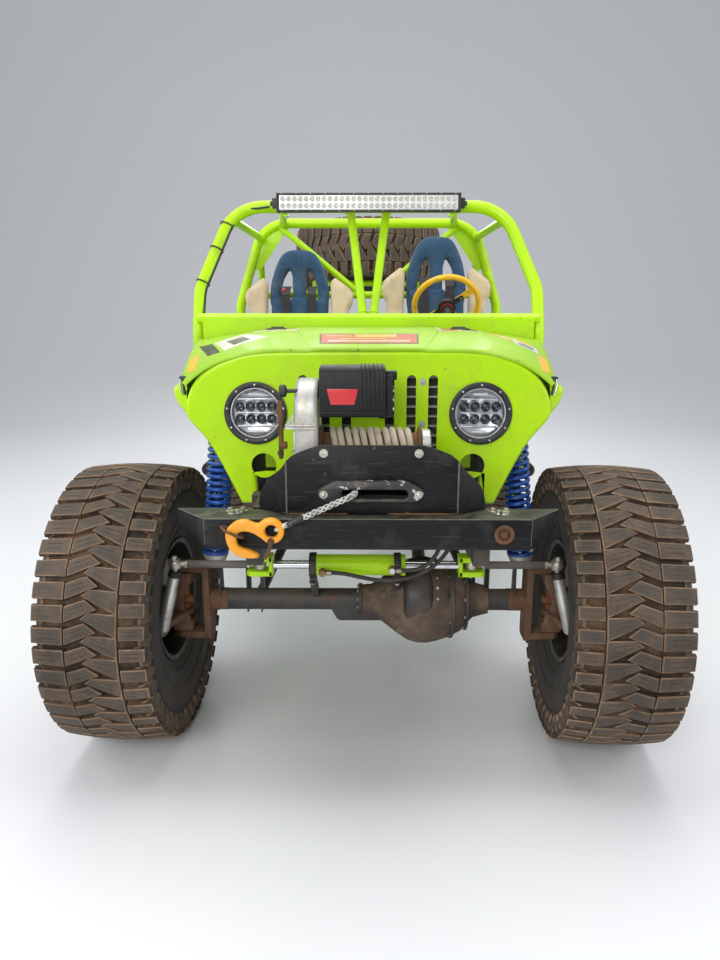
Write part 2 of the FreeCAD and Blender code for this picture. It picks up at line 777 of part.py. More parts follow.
# Front panel: pressed sheet with slots, lamp holes, side holes and an arched foot
panel_front = -168.0
panel_sheet = 4.0
panel_depth = 38.0
panel_crown_h = 190.0
panel_wide_x = 595.0
panel_wide_z = 1228.0
panel_top_z = panel_wide_z + panel_crown_h
panel_x_shares = [0.56, 0.766, 0.874, 0.941, 0.983, 1.0, 0.985, 0.866]
panel_z_shares = [0.985, 0.86, 0.69, 0.50, 0.26, 0.0, -0.17, -0.66]
panel_foot_x = 422.0
panel_foot_z = 912.0
panel_foot_in_x = 370.0
panel_arch_z = 1010.0
lamp_x = 365.0
lamp_z = 1219.0
lamp_ring_r = 102.5
lamp_lens_r = 82.5
side_hole_x = 344.0
side_hole_z = 1044.0
side_hole_r = 41.5
slot_w = 30.0
slot_pitch = 70.0
slot_z0 = 1050.0
slot_z1 = 1342.0
slot_count = 3


def panel_half_points():
    """Corners of one half of the panel's outline, from the middle of its top edge down to the arch."""
    points = []
    for x_share, z_share in zip(panel_x_shares, panel_z_shares):
        points.append((panel_wide_x * x_share, mixed(panel_wide_z, panel_top_z, z_share)))
    return points + [(panel_foot_x, panel_foot_z), (panel_foot_in_x, panel_foot_z),
                     (panel_foot_in_x, panel_arch_z)]


@lru_cache
def front_panel():
    y0 = behind(panel_front)
    half = panel_half_points()
    points = [Vec(x, y0, z) for x, z in half] + [Vec(-x, y0, z) for x, z in reversed(half)]
    body = prism(points, AXIS_Y * panel_depth)
    inside = Part.Face(Part.makePolygon(points + points[:1])).makeOffset2D(-panel_sheet * 2)
    hollow = inside.extrude(AXIS_Y * panel_depth)
    hollow.translate(AXIS_Y * panel_sheet)
    tools = [hollow]
    for side in [-1, 1]:
        for x, z, radius in [(lamp_x, lamp_z, lamp_lens_r), (side_hole_x, side_hole_z, side_hole_r)]:
            start = Vec(side * x, y0 - cut_over, z)
            tools.append(rod(start, start + AXIS_Y * (panel_depth + 2 * cut_over), 2 * radius, wheel_sides))
        for index in range(slot_count):
            x = side * slot_pitch * (index + 1)
            tools.append(block(x - slot_w / 2, x + slot_w / 2, y0 - cut_over, y0 + cut_over, slot_z0,
                               slot_z1))
    return cut_by(body, tools)


# Radiator: a core with two side tanks behind the slots
radiator_front = -120.0
radiator_thick = 60.0
radiator_half_x = 270.0
radiator_z0 = 985.0
radiator_z1 = 1385.0


def radiator():
    core = block(-radiator_half_x, radiator_half_x, behind(radiator_front),
                 behind(radiator_front) + radiator_thick, radiator_z0, radiator_z1)
    stand = block(-rail_in_x, rail_in_x, behind(radiator_front), behind(radiator_front) + radiator_thick,
                  rail_top_z - rail_h / 2, rail_top_z)
    post = block(radiator_half_x - rail_w, radiator_half_x, behind(radiator_front),
                 behind(radiator_front) + radiator_thick, rail_top_z, radiator_z0)
    return fused([core, stand] + both_sides(post))


# Headlamps: clamp rings on the panel and the lens units in them
lamp_ring_thick = 12.0
lamp_depth = 70.0


def headlamp_rims():
    rings = []
    for side in [-1, 1]:
        front = Vec(side * lamp_x, behind(panel_front) - lamp_ring_thick, lamp_z)
        back = Vec(side * lamp_x, behind(panel_front), lamp_z)
        rings.append(pipe(front, back, 2 * lamp_ring_r, 2 * lamp_lens_r, wheel_sides))
    return Part.Compound(rings)


def lamp_lenses():
    lenses = []
    for side in [-1, 1]:
        front = Vec(side * lamp_x, behind(panel_front) - lamp_ring_thick / 2, lamp_z)
        back = Vec(side * lamp_x, behind(panel_front) + lamp_depth, lamp_z)
        lenses.append(rod(front, back, 2 * (lamp_lens_r - running_gap), wheel_sides))
    return Part.Compound(lenses)


# Front wings: bulged sheets between the front panel and the tub, closed above by the bonnet's edge
wing_front = panel_front + panel_depth
wing_rear = tub_front - running_gap
wing_front_x = 640.0
wing_rear_x = tub_half_x
wing_in_x = 588.0
wing_top_z = 1292.0
wing_foot_z = 980.0
wing_sheet = 5.0
wing_flange_in = 13.0
wing_flange_h = 60.0
wing_in_shares = [0.0, 0.20, 0.05, 0.20, 0.75, 1.0]
wing_down_shares = [0.0, 0.02, 0.10, 0.22, 0.36, 1.0]


def wing_ring(y, half_x, drop_to):
    """One cross-section of a wing, its outer face first and then its inner face back up."""
    outer = []
    for in_share, down_share in zip(wing_in_shares[1:], wing_down_shares[1:]):
        outer.append((mixed(half_x, wing_in_x, in_share), mixed(wing_top_z, drop_to, down_share)))
    points = [(wing_in_x, wing_top_z)] + outer
    widest = max(x for x, z in outer)
    inner = [(x - wing_sheet, z + (wing_sheet if x < widest else 0)) for x, z in reversed(outer[1:-1])]
    points += [(wing_in_x - wing_sheet, drop_to)] + inner + [(wing_in_x, wing_top_z - wing_sheet)]
    return [Vec(x, y, z) for x, z in points]


def front_wings():
    front = wing_ring(behind(wing_front), wing_front_x, wing_foot_z)
    rear = wing_ring(behind(wing_rear), wing_rear_x, wing_foot_z)
    flange = block(wing_in_x - wing_sheet, wing_front_x - wing_flange_in, behind(wing_front),
                   behind(wing_front) + wing_sheet, panel_wide_z - wing_flange_h / 2, panel_wide_z + wing_flange_h / 2)
    return Part.Compound(both_sides(fused([ruled_solid(front, rear), flange])))


# Bonnet: crowned sheet lid, hinged at its rear edge, with turned-down sides
bonnet_front = -168.0
bonnet_rear = 510.0
bonnet_sheet = 5.0
bonnet_front_z = panel_top_z + running_gap + bonnet_sheet
bonnet_rear_z = 1471.0
bonnet_front_drop = 110.0
bonnet_rear_drop = 150.0
bonnet_front_half_x = 592.0
bonnet_rear_half_x = cage_leg_x + 5.0
bonnet_flare = 0.6
bonnet_rise = 7.0
bonnet_rows = 4
front_x_shares = [0.24, 0.56, 0.76, 0.88, 0.965, 1.0]
front_drop_shares = [-0.05, 0.0, 0.22, 0.50, 0.82, 1.0]
rear_x_shares = [0.36, 0.56, 0.79, 0.915, 0.99, 1.0]
rear_drop_shares = [0.0, 0.06, 0.21, 0.31, 0.41, 1.0]


def bonnet_row(share, inset):
    """Corners of one cross-section of the lid, from its right-hand edge to its left-hand edge."""
    y = behind(mixed(bonnet_front, bonnet_rear, share))
    half_x = mixed(bonnet_front_half_x, bonnet_rear_half_x, share ** bonnet_flare)
    top_z = mixed(bonnet_front_z, bonnet_rear_z, share) + 4 * bonnet_rise * share * (1 - share)
    drop = mixed(bonnet_front_drop, bonnet_rear_drop, share)
    corners = []
    for index in range(len(front_x_shares)):
        x = half_x * mixed(front_x_shares[index], rear_x_shares[index], share)
        z = top_z - drop * mixed(front_drop_shares[index], rear_drop_shares[index], share)
        from_edge = len(front_x_shares) - 1 - index
        corners.append((x - (inset if from_edge < 2 else 0), z - (inset if from_edge > 0 else 0)))
    return [Vec(-x, y, z) for x, z in reversed(corners)] + [Vec(x, y, z) for x, z in corners]


def sheet_between(outer, inner):
    """A thick sheet from two grids of points, with every face flat."""
    faces = []
    rows = len(outer)
    columns = len(outer[0])
    for grid in [outer, inner]:
        for row in range(rows - 1):
            for column in range(columns - 1):
                faces += two_flats(grid[row][column], grid[row][column + 1], grid[row + 1][column + 1],
                                   grid[row + 1][column])
    for row in [0, rows - 1]:
        for column in range(columns - 1):
            faces += two_flats(outer[row][column], outer[row][column + 1], inner[row][column + 1],
                               inner[row][column])
    for column in [0, columns - 1]:
        for row in range(rows - 1):
            faces += two_flats(outer[row][column], outer[row + 1][column], inner[row + 1][column],
                               inner[row][column])
    return closed_solid(faces)


def bonnet():
    shares = [row / bonnet_rows for row in range(bonnet_rows + 1)]
    return sheet_between([bonnet_row(share, 0) for share in shares],
                         [bonnet_row(share, bonnet_sheet) for share in shares])


# Engine and gearbox: plain heavy blocks on the rails
engine_front = 40.0
engine_rear = 515.0
engine_half_x = 230.0
engine_z0 = 840.0
engine_z1 = 1280.0
gearbox_half_x = 100.0
gearbox_z0 = 800.0
gearbox_z1 = 1040.0
gearbox_rear = 1230.0
transfer_front = 1120.0
transfer_rear = 1300.0
transfer_x0 = 40.0
transfer_x1 = 290.0
transfer_z0 = 755.0
transfer_z1 = 870.0


def engine():
    body = block(-engine_half_x, engine_half_x, behind(engine_front), behind(engine_rear), engine_z0,
                 engine_z1)
    arm = block(engine_half_x, rail_in_x, behind(engine_front) + rail_h, behind(engine_front) + 2 * rail_h,
                rail_bottom_z + rail_w, rail_top_z)
    return fused([body] + both_sides(arm))


@lru_cache
def gearbox():
    body = block(-gearbox_half_x, gearbox_half_x, behind(engine_rear), behind(gearbox_rear), gearbox_z0,
                 gearbox_z1)
    transfer = block(transfer_x0, transfer_x1, behind(transfer_front), behind(transfer_rear), transfer_z0,
                     transfer_z1)
    return fused([body, transfer]).cut(chassis_frame()).cut(body_tub())


# Axles: tube, offset differential and ends for the wheels
axle_tube_d = 80.0
diff_x = 210.0
diff_r = 160.0
diff_half_w = 235.0
diff_x_shares = [-1.0, -0.70, -0.28, 0.0, 0.20, 0.50, 0.96]
diff_r_shares = [0.30, 0.42, 0.86, 1.0, 0.98, 0.76, 0.30]
guard_shift = -265.0
guard_half_w = 80.0
guard_drop = 155.0
guard_half_y = 38.0
guard_foot_share = 0.8
diff_nose_d = 110.0
diff_nose_l = 175.0
c_plate_x = 600.0
c_thick = 20.0
c_half_h = 140.0
c_half_y = 45.0
c_arm_end_x = 712.0
rear_hub_x = 740.0
rear_hub_d = 130.0
spring_pad_x = 560.0
spring_foot_z = 640.0
pad_half = 35.0
link_pad_x = 420.0
lower_link_z = 420.0
upper_axle_link_z = 600.0
link_d = 40.0
lower_link_in_x = 250.0


def spindle(centre, half_length, x_shares, radius, r_shares):
    """A housing round an axle along X, fat in the middle and tapered to its ends."""
    rings = []
    for x_share, r_share in zip(x_shares, r_shares):
        rings.append(round_points(centre + AXIS_X * (half_length * x_share), AXIS_X, radius * r_share,
                                  round_sides))
    return skin(rings, False)


def axle(y, facing):
    centre = Vec(diff_x, y, axle_z)
    tube = rod(Vec(-c_plate_x, y, axle_z), Vec(c_plate_x, y, axle_z), axle_tube_d)
    ball = spindle(centre, diff_half_w, diff_x_shares, diff_r, diff_r_shares)
    nose = rod(centre, centre + AXIS_Y * (facing * diff_nose_l), diff_nose_d)
    shapes = [tube, ball, nose]
    for side in [-1, 1]:
        x = side * spring_pad_x
        shapes.append(block(x - pad_half, x + pad_half, y - pad_half, y + pad_half, axle_z, spring_foot_z))
        x = side * link_pad_x
        shapes.append(block(x - pad_half, x + pad_half, y - pad_half, y + pad_half, lower_link_z - link_d,
                            upper_axle_link_z + link_d))
    return shapes


@lru_cache
def front_axle():
    shapes = axle(front_axle_y, 1)
    end = block(c_plate_x - c_thick, c_plate_x, front_axle_y - c_half_y, front_axle_y + c_half_y,
                axle_z - c_half_h, axle_z + c_half_h)
    top = block(c_plate_x - c_thick, c_arm_end_x, front_axle_y - c_half_y, front_axle_y + c_half_y,
                axle_z + c_half_h - c_thick, axle_z + c_half_h)
    low = block(c_plate_x - c_thick, c_arm_end_x, front_axle_y - c_half_y, front_axle_y + c_half_y,
                axle_z - c_half_h, axle_z - c_half_h + c_thick)
    guard_x = diff_x + guard_shift
    shapes.append(prism([Vec(guard_x - guard_half_w, front_axle_y - guard_half_y, axle_z),
                         Vec(guard_x + guard_half_w, front_axle_y - guard_half_y, axle_z),
                         Vec(guard_x + guard_half_w, front_axle_y - guard_half_y, axle_z - guard_drop),
                         Vec(guard_x - guard_half_w * guard_foot_share, front_axle_y - guard_half_y,
                             axle_z - guard_drop),
                         Vec(guard_x - guard_half_w, front_axle_y - guard_half_y,
                             axle_z - guard_drop * guard_foot_share)], AXIS_Y * (2 * guard_half_y)))
    for solid in [end, top, low]:
        shapes += both_sides(solid)
    stand = block(ram_x - ram_len / 2, ram_x + ram_len / 2, front_axle_y + ram_at, front_axle_y,
                  ram_z - ram_d / 2 - ram_foot_h, ram_z - ram_d / 2 - ram_foot_h + c_thick)
    shapes.append(stand)
    for side in [-1, 1]:
        x = ram_x + side * (ram_len / 2 - c_thick)
        shapes.append(block(x - c_thick / 2, x + c_thick / 2, front_axle_y + ram_at - ram_d / 2,
                            front_axle_y + ram_at + ram_d / 2, ram_z - ram_d / 2 - ram_foot_h, ram_z))
        shapes.append(block(x - c_thick / 2, x + c_thick / 2, front_axle_y - c_thick, front_axle_y, axle_z,
                            ram_z - ram_d / 2 - ram_foot_h))
    return fused(shapes).cut(rod(ram_line(ram_x - ram_len), ram_line(ram_x + ram_len), ram_d))


@lru_cache
def rear_axle():
    shapes = axle(rear_axle_y, -1)
    hub = rod(Vec(c_plate_x - c_thick, rear_axle_y, axle_z), Vec(hub_face_x, rear_axle_y, axle_z), rear_hub_d)
    shapes += both_sides(hub)
    return fused(shapes)


# Steering: ram across the front of the axle, its rod and forks, tie rods and posts on the knuckles
ram_x = -35.0
ram_at = -150.0
ram_z = 690.0
ram_d = 75.0
ram_len = 330.0
ram_foot_h = 20.0
ram_bore_gap = 0.5
rod_d = 30.0
clevis_x = 363.0
clevis_len = 90.0
clevis_w = 56.0
clevis_h = 70.0
clevis_slot_h = 34.0
clevis_web = 14.0
tie_rod_d = 28.0
eye_d = 46.0
eye_h = 30.0
post_bolt_d = 20.0
post_drop = 8.0
post_d = 45.0
post_top_x = 660.0
post_foot_x = 720.0
post_foot_z = 440.0
eye_gap = 1.0


def post_top(side):
    """Where a steering post's bolt stands with the wheels at the parked steering angle."""
    point = Vec(side * (post_top_x - kingpin_x), ram_at, 0)
    turn = math.radians(rest_steer)
    x = point.x * math.cos(turn) - point.y * math.sin(turn)
    y = point.x * math.sin(turn) + point.y * math.cos(turn)
    return Vec(side * kingpin_x + x, front_axle_y + y, ram_z)


def rod_shift():
    return (post_top(1).x + post_top(-1).x) / 2


# Steering hoses: from the ram's two ports, hanging under it, and up behind the bumper to the winch tray
hose_d = 14.0
hose_sides = 6
hose_bend_steps = 2
hose_bend_share = 0.45
port_d = 26.0
gland_h = 20.0
hose_low_route = [(-140, -201, 680), (-92, -201, 680), (-30, -203, 666), (40, -205, 653), (112, -206, 656),
                  (178, -207, 677), (232, -209, 714), (268, -213, 764), (289, -219, 822), (299, -224, 883),
                  (299, -224, 944)]
hose_high_route = [(96, -206, 690), (134, -206, 690), (178, -216, 700), (214, -223, 730), (236, -225, 770),
                   (250, -227, 814), (260, -226, 860), (265, -225, 902), (265, -225, 944)]


def route_points(route):
    return [Vec(x, behind(at), z) for x, at, z in route]


def hose(route):
    """A hose as straight runs joined by the largest bends that its runs leave room for."""
    points = route_points(route)
    path = [points[0]]
    for before, corner, after in zip(points, points[1:], points[2:]):
        run = min((corner - before).Length, (after - corner).Length)
        half_turn = (corner - before).getAngle(after - corner) / 2
        bend_r = hose_bend_share * run / math.tan(half_turn)
        path += bent_path([before, corner, after], bend_r, hose_bend_steps)[1:-1]
    return tube_along(path + points[-1:], hose_d, hose_sides)


def ram_line(x):
    return Vec(x, front_axle_y + ram_at, ram_z)


def steering_ram():
    body = rod(ram_line(ram_x - ram_len / 2), ram_line(ram_x + ram_len / 2), ram_d)
    shapes = [body]
    for route in [hose_low_route, hose_high_route]:
        start = route_points(route)[0] - AXIS_X * port_d / 2
        shapes.append(rod(Vec(start.x, front_axle_y + ram_at - ram_d / 4, start.z),
                          start - AXIS_Y * port_d / 2, port_d))
    return fused(shapes).cut(rod(ram_line(ram_x - ram_len), ram_line(ram_x + ram_len),
                                 rod_d + 2 * ram_bore_gap))


def clevis(side):
    pin_x = side * clevis_x + rod_shift()
    x0 = pin_x - side * clevis_len / 2
    x1 = pin_x + side * clevis_len / 2
    low, high = min(x0, x1), max(x0, x1)
    y = front_axle_y + ram_at
    body = block(low, high, y - clevis_w / 2, y + clevis_w / 2, ram_z - clevis_h / 2, ram_z + clevis_h / 2)
    slot_in = x0 + side * clevis_web
    gap = block(min(slot_in, x1 + side * cut_over), max(slot_in, x1 + side * cut_over), y - clevis_w,
                y + clevis_w,
                ram_z - clevis_slot_h / 2, ram_z + clevis_slot_h / 2)
    return body.cut(gap)


def steering_rod():
    inner = clevis_x - clevis_len / 2 + clevis_web / 2
    bar = rod(ram_line(-inner + rod_shift()), ram_line(inner + rod_shift()), rod_d)
    return fused([bar, clevis(-1), clevis(1)])


def tie_rod(side):
    outer = post_top(side)
    inner = Vec(side * clevis_x + rod_shift(), outer.y, ram_z)
    half = AXIS_Z * eye_h / 2
    shapes = [rod(outer, inner, tie_rod_d), rod(outer - half, outer + half, eye_d),
              rod(inner - half, inner + half, eye_d)]
    bolt = rod(outer - half * 2, outer + half * 2, clear_d(post_bolt_d))
    return fused(shapes).cut(bolt)


# Knuckles: upright on the kingpin, hub, brake disc, arm and steering post
upright_half_x = 38.0
upright_half_y = 42.0
upright_half_h = 114.0
kingpin_d = 30.0
hub_face_x = 858.0
hub_d = 96.0
disc_x0 = 752.0
disc_x1 = 766.0
disc_d = 290.0
arm_thick = 26.0


def knuckle(side):
    centre = Vec(kingpin_x, front_axle_y, axle_z)
    upright = block(kingpin_x - upright_half_x, kingpin_x + upright_half_x, front_axle_y - upright_half_y,
                    front_axle_y + upright_half_y, axle_z - upright_half_h, axle_z + upright_half_h)
    pin_half = c_half_h - c_thick - running_gap
    pin = rod(centre - AXIS_Z * pin_half, centre + AXIS_Z * pin_half, kingpin_d)
    hub = rod(centre, Vec(hub_face_x, front_axle_y, axle_z), hub_d)
    disc = rod(Vec(disc_x0, front_axle_y, axle_z), Vec(disc_x1, front_axle_y, axle_z), disc_d)
    arm_z = post_foot_z
    arm = prism([Vec(kingpin_x - upright_half_x, front_axle_y, arm_z),
                 Vec(kingpin_x + upright_half_x, front_axle_y, arm_z),
                 Vec(post_foot_x + post_d / 2, front_axle_y + ram_at, arm_z),
                 Vec(post_foot_x - post_d / 2, front_axle_y + ram_at, arm_z)], AXIS_Z * arm_thick)
    foot = Vec(post_foot_x, front_axle_y + ram_at, arm_z)
    top = Vec(post_top_x, front_axle_y + ram_at, ram_z - eye_h / 2 - eye_gap - post_drop)
    post = rod(foot, top, post_d)
    bolt = rod(top - AXIS_Z * post_d / 2, Vec(top.x, top.y, ram_z + eye_h / 2 + post_bolt_d), post_bolt_d)
    whole = fused([upright, pin, hub, disc, arm, post, bolt])
    if side < 0:
        whole = flipped(whole)
    return steered(whole, side)


# Suspension: coil-over dampers, springs and the links from axle to frame
damper_top_x = 500.0
damper_top_z = tower_top_z - tower_plate
damper_d = 46.0
spring_outer_d = 96.0
spring_wire_d = 16.0
spring_pitch = 48.0
wire_sides = 4
coil_steps = 6
spring_collar_h = 10.0
spring_low_share = 0.16
spring_high_share = 0.86


def damper_ends(y, tower_y):
    return Vec(spring_pad_x, y, spring_foot_z), Vec(damper_top_x, tower_y, damper_top_z)


def damper_pairs():
    return [damper_ends(front_axle_y, front_axle_y),
            damper_ends(rear_axle_y, rear_axle_y + rear_tower_shift)]


def dampers():
    solids = []
    for foot, top in damper_pairs():
        along = top - foot
        low = foot + along * spring_low_share
        high = foot + along * spring_high_share
        collar = (along / along.Length) * spring_collar_h
        damper = fused([rod(foot, top, damper_d), rod(low - collar, low, spring_outer_d),
                        rod(high, high + collar, spring_outer_d)])
        damper = damper.cut(front_axle()).cut(rear_axle()).cut(chassis_frame())
        solids += both_sides(damper)
    return Part.Compound(solids)


def coil(low, high):
    """One spring: a wound wire from its lower collar to its upper one."""
    along = high - low
    axis = Vec(along).normalize()
    first = axis.cross(AXIS_Y).normalize()
    second = axis.cross(first)
    radius = spring_outer_d / 2 - spring_wire_d / 2 / math.cos(math.pi / wire_sides)
    steps = round(along.Length / spring_pitch) * coil_steps
    end_gap = spring_wire_d / 2 + running_gap
    path = []
    for step in range(steps + 1):
        angle = 2 * math.pi * step / coil_steps
        climb = mixed(end_gap, along.Length - end_gap, step / steps)
        path.append(low + axis * climb + (first * math.cos(angle) + second * math.sin(angle)) * radius)
    rings = []
    for step, point in enumerate(path):
        angle = 2 * math.pi * step / coil_steps
        outward = first * math.cos(angle) + second * math.sin(angle)
        rings.append([point + outward * (spring_wire_d / 2 * math.cos(math.pi / 2 * side))
                      + axis * (spring_wire_d / 2 * math.sin(math.pi / 2 * side)) for side in range(wire_sides)])
    faces = [Part.Face(loop(rings[0])), Part.Face(loop(rings[-1]))]
    for ring, follower in zip(rings, rings[1:]):
        for index in range(wire_sides):
            after = (index + 1) % wire_sides
            faces += two_flats(ring[index], ring[after], follower[after], follower[index])
    return closed_solid(faces)


def springs():
    solids = []
    for foot, top in damper_pairs():
        low = foot + (top - foot) * spring_low_share
        high = foot + (top - foot) * spring_high_share
        solids += both_sides(coil(low, high))
    return Part.Compound(solids)


def links():
    solids = []
    for y, facing, cross, upper in [(front_axle_y, 1, link_cross_front, upper_link_at),
                                    (rear_axle_y, -1, link_cross_rear, wheelbase - upper_link_at + hanger_w)]:
        start = Vec(link_pad_x, y + facing * pad_half, lower_link_z)
        end = Vec(lower_link_in_x, behind(cross), belly_z + cross_tube_d / 2)
        solids.append(rod(start, end, link_d))
        start = Vec(link_pad_x, y + facing * pad_half, upper_axle_link_z)
        end = Vec(rail_x, behind(upper), upper_link_z)
        solids.append(rod(start, end, link_d))
    whole = []
    for solid in solids:
        seated = solid.cut(chassis_frame()).cut(front_axle()).cut(rear_axle())
        whole += both_sides(seated)
    return Part.Compound(whole)


shaft_d = 54.0
shaft_transfer_z = 826.0


def propshafts():
    out = []
    nose = axle_z
    front = rod(Vec(diff_x, front_axle_y + diff_nose_l, nose), Vec(diff_x, behind(transfer_front),
                                                                   shaft_transfer_z),
                shaft_d)
    rear = rod(Vec(diff_x, rear_axle_y - diff_nose_l, nose), Vec(diff_x, behind(transfer_rear),
                                                                 shaft_transfer_z),
               shaft_d)
    for shaft in [front, rear]:
        out.append(shaft.cut(gearbox()).cut(front_axle()).cut(rear_axle()).cut(chassis_frame()))
    return Part.Compound(out)


# Tyres: a crowned ring of staggered block lugs with planar flanks, and a stepped sidewall
lug_count = 44
bead_count = 24
tyre_half_w = 178.0
bead_half_w = 124.0
bead_r = 216.0
sidewall_r = 372.0
shoulder_share = 0.972
groove_depth = 17.0
lug_quarter_share = 0.25
lug_corners = 3


def lug_ring(x, scale, shift):
    """Lug tips a half pitch wide with a vee groove between them, as one ring of corners."""
    points = []
    pitch = 2 * math.pi / lug_count
    for index in range(lug_count):
        middle = (index + shift) * pitch
        points.append(ring_point(x, tyre_r * scale, middle - pitch * lug_quarter_share))
        points.append(ring_point(x, tyre_r * scale, middle + pitch * lug_quarter_share))
        points.append(ring_point(x, (tyre_r - groove_depth) * scale, middle + pitch / 2))
    return points


def plain_ring(x, radius):
    return [ring_point(x, radius, 2 * math.pi * index / bead_count) for index in range(bead_count)]


def band(ring_a, ring_b):
    faces = []
    for index in range(len(ring_a)):
        after = (index + 1) % len(ring_a)
        faces.append(Part.Face(loop([ring_a[index], ring_a[after], ring_b[after], ring_b[index]])))
    return faces


def lug_half(sign, shift):
    """The lugs of one half of the tread: their flanks, their ends at the middle and the sidewall's flat ring."""
    outer = lug_ring(sign * tyre_half_w, shoulder_share, shift)
    middle = lug_ring(0, 1, shift)
    wall = plain_ring(sign * tyre_half_w, sidewall_r)
    faces = band(outer, middle) + band(wall, plain_ring(sign * bead_half_w, bead_r))
    faces.append(Part.Face([loop(outer), loop(wall)]))
    for index in range(1, len(middle), lug_corners):
        corners = [middle[(index + step) % len(middle)] for step in range(lug_corners)]
        faces.append(Part.Face(loop(corners)))
    return faces


def tyre_shape():
    bore = band(plain_ring(-bead_half_w, bead_r), plain_ring(bead_half_w, bead_r))
    return closed_solid(lug_half(-1, 0) + lug_half(1, 2 * lug_quarter_share) + bore)


# Rims: deep barrel with flanges, a dished centre with round holes, and a clamp ring outside
rim_r = bead_r * math.cos(math.pi / bead_count) - running_gap
rim_flange_r = 229.0
rim_barrel_sheet = 9.0
rim_flange_w = 7.0
rim_bead_rise = rim_flange_r / math.cos(math.pi / bead_count) - bead_r
rim_inside_w = bead_half_w + rim_bead_rise * (tyre_half_w - bead_half_w) / (sidewall_r - bead_r) + running_gap
rim_half_w = rim_inside_w + rim_flange_w
rim_disc_x = hub_face_x - wheel_x
rim_disc_thick = 12.0
rim_hole_count = 6
rim_sides = 16
rim_hole_r = 24.0
rim_hole_share = 0.68
rim_cap_r = 42.0
rim_cap_h = 45.0


def rim_shape():
    inside = rim_r - rim_barrel_sheet
    face = rim_disc_x + running_gap
    back = face + rim_disc_thick
    half = rim_half_w
    step = half - rim_flange_w
    shell = turned([(-half, inside), (-half, rim_flange_r), (-step, rim_flange_r), (-step, rim_r), (step,
                                                                                                    rim_r),
                    (step, rim_flange_r), (half, rim_flange_r), (half, inside)], ORIGIN, rim_sides)
    disc = rod(Vec(face, 0, 0), Vec(back, 0, 0), 2 * rim_r - rim_barrel_sheet, rim_sides)
    holes = []
    for index in range(rim_hole_count):
        centre = ring_point(face - cut_over, rim_r * rim_hole_share, 2 * math.pi * index / rim_hole_count)
        holes.append(rod(centre, centre + AXIS_X * (2 * cut_over), 2 * rim_hole_r, round_sides // 2))
    cap = rod(Vec(face, 0, 0), Vec(face + rim_cap_h, 0, 0), 2 * rim_cap_r)
    return fused([shell, cut_by(disc, holes), cap])


def wheel_placed(shape, side, y):
    placed = shape.copy()
    if side < 0:
        placed = flipped(placed)
    placed.translate(Vec(side * wheel_x, y, axle_z))
    if y == front_axle_y:
        placed = steered(placed, side)
    return placed


# Spare: the same wheel lying on the tail frame, face up

spare_z = 1850.0
spare_tilt = 8.0


def spare_placed(shape):
    placed = shape.copy()
    placed.rotate(ORIGIN, AXIS_Y, -FULL_TURN / 4)
    placed.rotate(ORIGIN, AXIS_X, -spare_tilt)
    placed.translate(Vec(0, behind(spare_at), spare_z))
    return placed


# Light bar: a long lamp on two brackets ahead of the hoop's top bar
light_half_x = 392.0
light_h = 86.0
light_deep = 75.0
light_z = 1965.0
light_back = 702.0
light_foot_w = 30.0


def light_bar():
    back_y = behind(light_back)
    body = block(-light_half_x, light_half_x, back_y - light_deep, back_y, light_z - light_h / 2,
                 light_z + light_h / 2)
    foot = block(light_half_x - 2 * light_foot_w, light_half_x - light_foot_w, back_y,
                 hoop_y(front_hoop_top_z), light_z - light_foot_w, light_z + light_foot_w)
    return fused([body] + both_sides(foot)).cut(cage_front()).cut(cage_rails())


# Seats: bucket seats with an open arch over the shoulders, side wings and a bolstered base
seat_centres = [359.0, -366.0]
seat_tops = [1901.0, 1832.0]
seat_half_w = 200.0
seat_to_hoop = 140.0
seat_l = 490.0
seat_back = main_hoop_at - seat_to_hoop
seat_front = seat_back - seat_l
seat_base_z = 960.0
seat_cushion_z = 1120.0
seat_bolster_h = 60.0
seat_bolster_w = 70.0
seat_back_thick = 100.0
seat_wing_thick = 70.0
seat_lean = 8.0
seat_foot = 60.0
back_x_shares = [0.72, 0.84, 0.80, 0.66, 0.50, 0.18]
back_z_shares = [0.0, 0.42, 0.72, 0.85, 0.97, 1.0]
wing_x_shares = [0.84, 1.35, 1.39, 1.30, 0.78]
wing_z_shares = [0.28, 0.34, 0.56, 0.66, 0.80]
hole_x_shares = [0.17, 0.56, 0.50, 0.30]
hole_z_shares = [0.64, 0.66, 0.80, 0.86]


def back_outline(top_z, x_shares, z_shares):
    """Corners of one half of a shape on the seat's back, in shares of its half width and its height."""
    points = []
    for x_share, z_share in zip(x_shares, z_shares):
        points.append(Vec(seat_half_w * x_share, 0, mixed(seat_cushion_z, top_z, z_share)))
    return points


def seat(centre_x, top_z):
    back_y = behind(seat_back)
    half = back_outline(top_z, back_x_shares, back_z_shares)
    mirrored = [Vec(-point.x, 0, point.z) for point in reversed(half)]
    back = prism(half + mirrored, AXIS_Y * seat_back_thick)
    wing = prism(back_outline(top_z, wing_x_shares, wing_z_shares), AXIS_Y * seat_wing_thick)
    hole = prism(back_outline(top_z, hole_x_shares, hole_z_shares), AXIS_Y * seat_back_thick)
    back = cut_by(fused([back] + both_sides(wing)), both_sides(hole))
    back.rotate(Vec(0, 0, seat_cushion_z), AXIS_X, -seat_lean)
    back.translate(Vec(0, back_y - seat_back_thick, 0))
    base = block(-seat_half_w, seat_half_w, behind(seat_front), back_y, seat_base_z, seat_cushion_z)
    bolster = block(seat_half_w - seat_bolster_w, seat_half_w, behind(seat_front), back_y, seat_cushion_z,
                    seat_cushion_z + seat_bolster_h)
    feet = block(-seat_half_w + seat_foot, seat_half_w - seat_foot, behind(seat_front) + seat_foot,
                 back_y - seat_foot, tub_floor_z + tub_sheet, seat_base_z)
    whole = fused([back, base, feet] + both_sides(bolster))
    whole.translate(AXIS_X * centre_x)
    return whole.cut(body_tub())


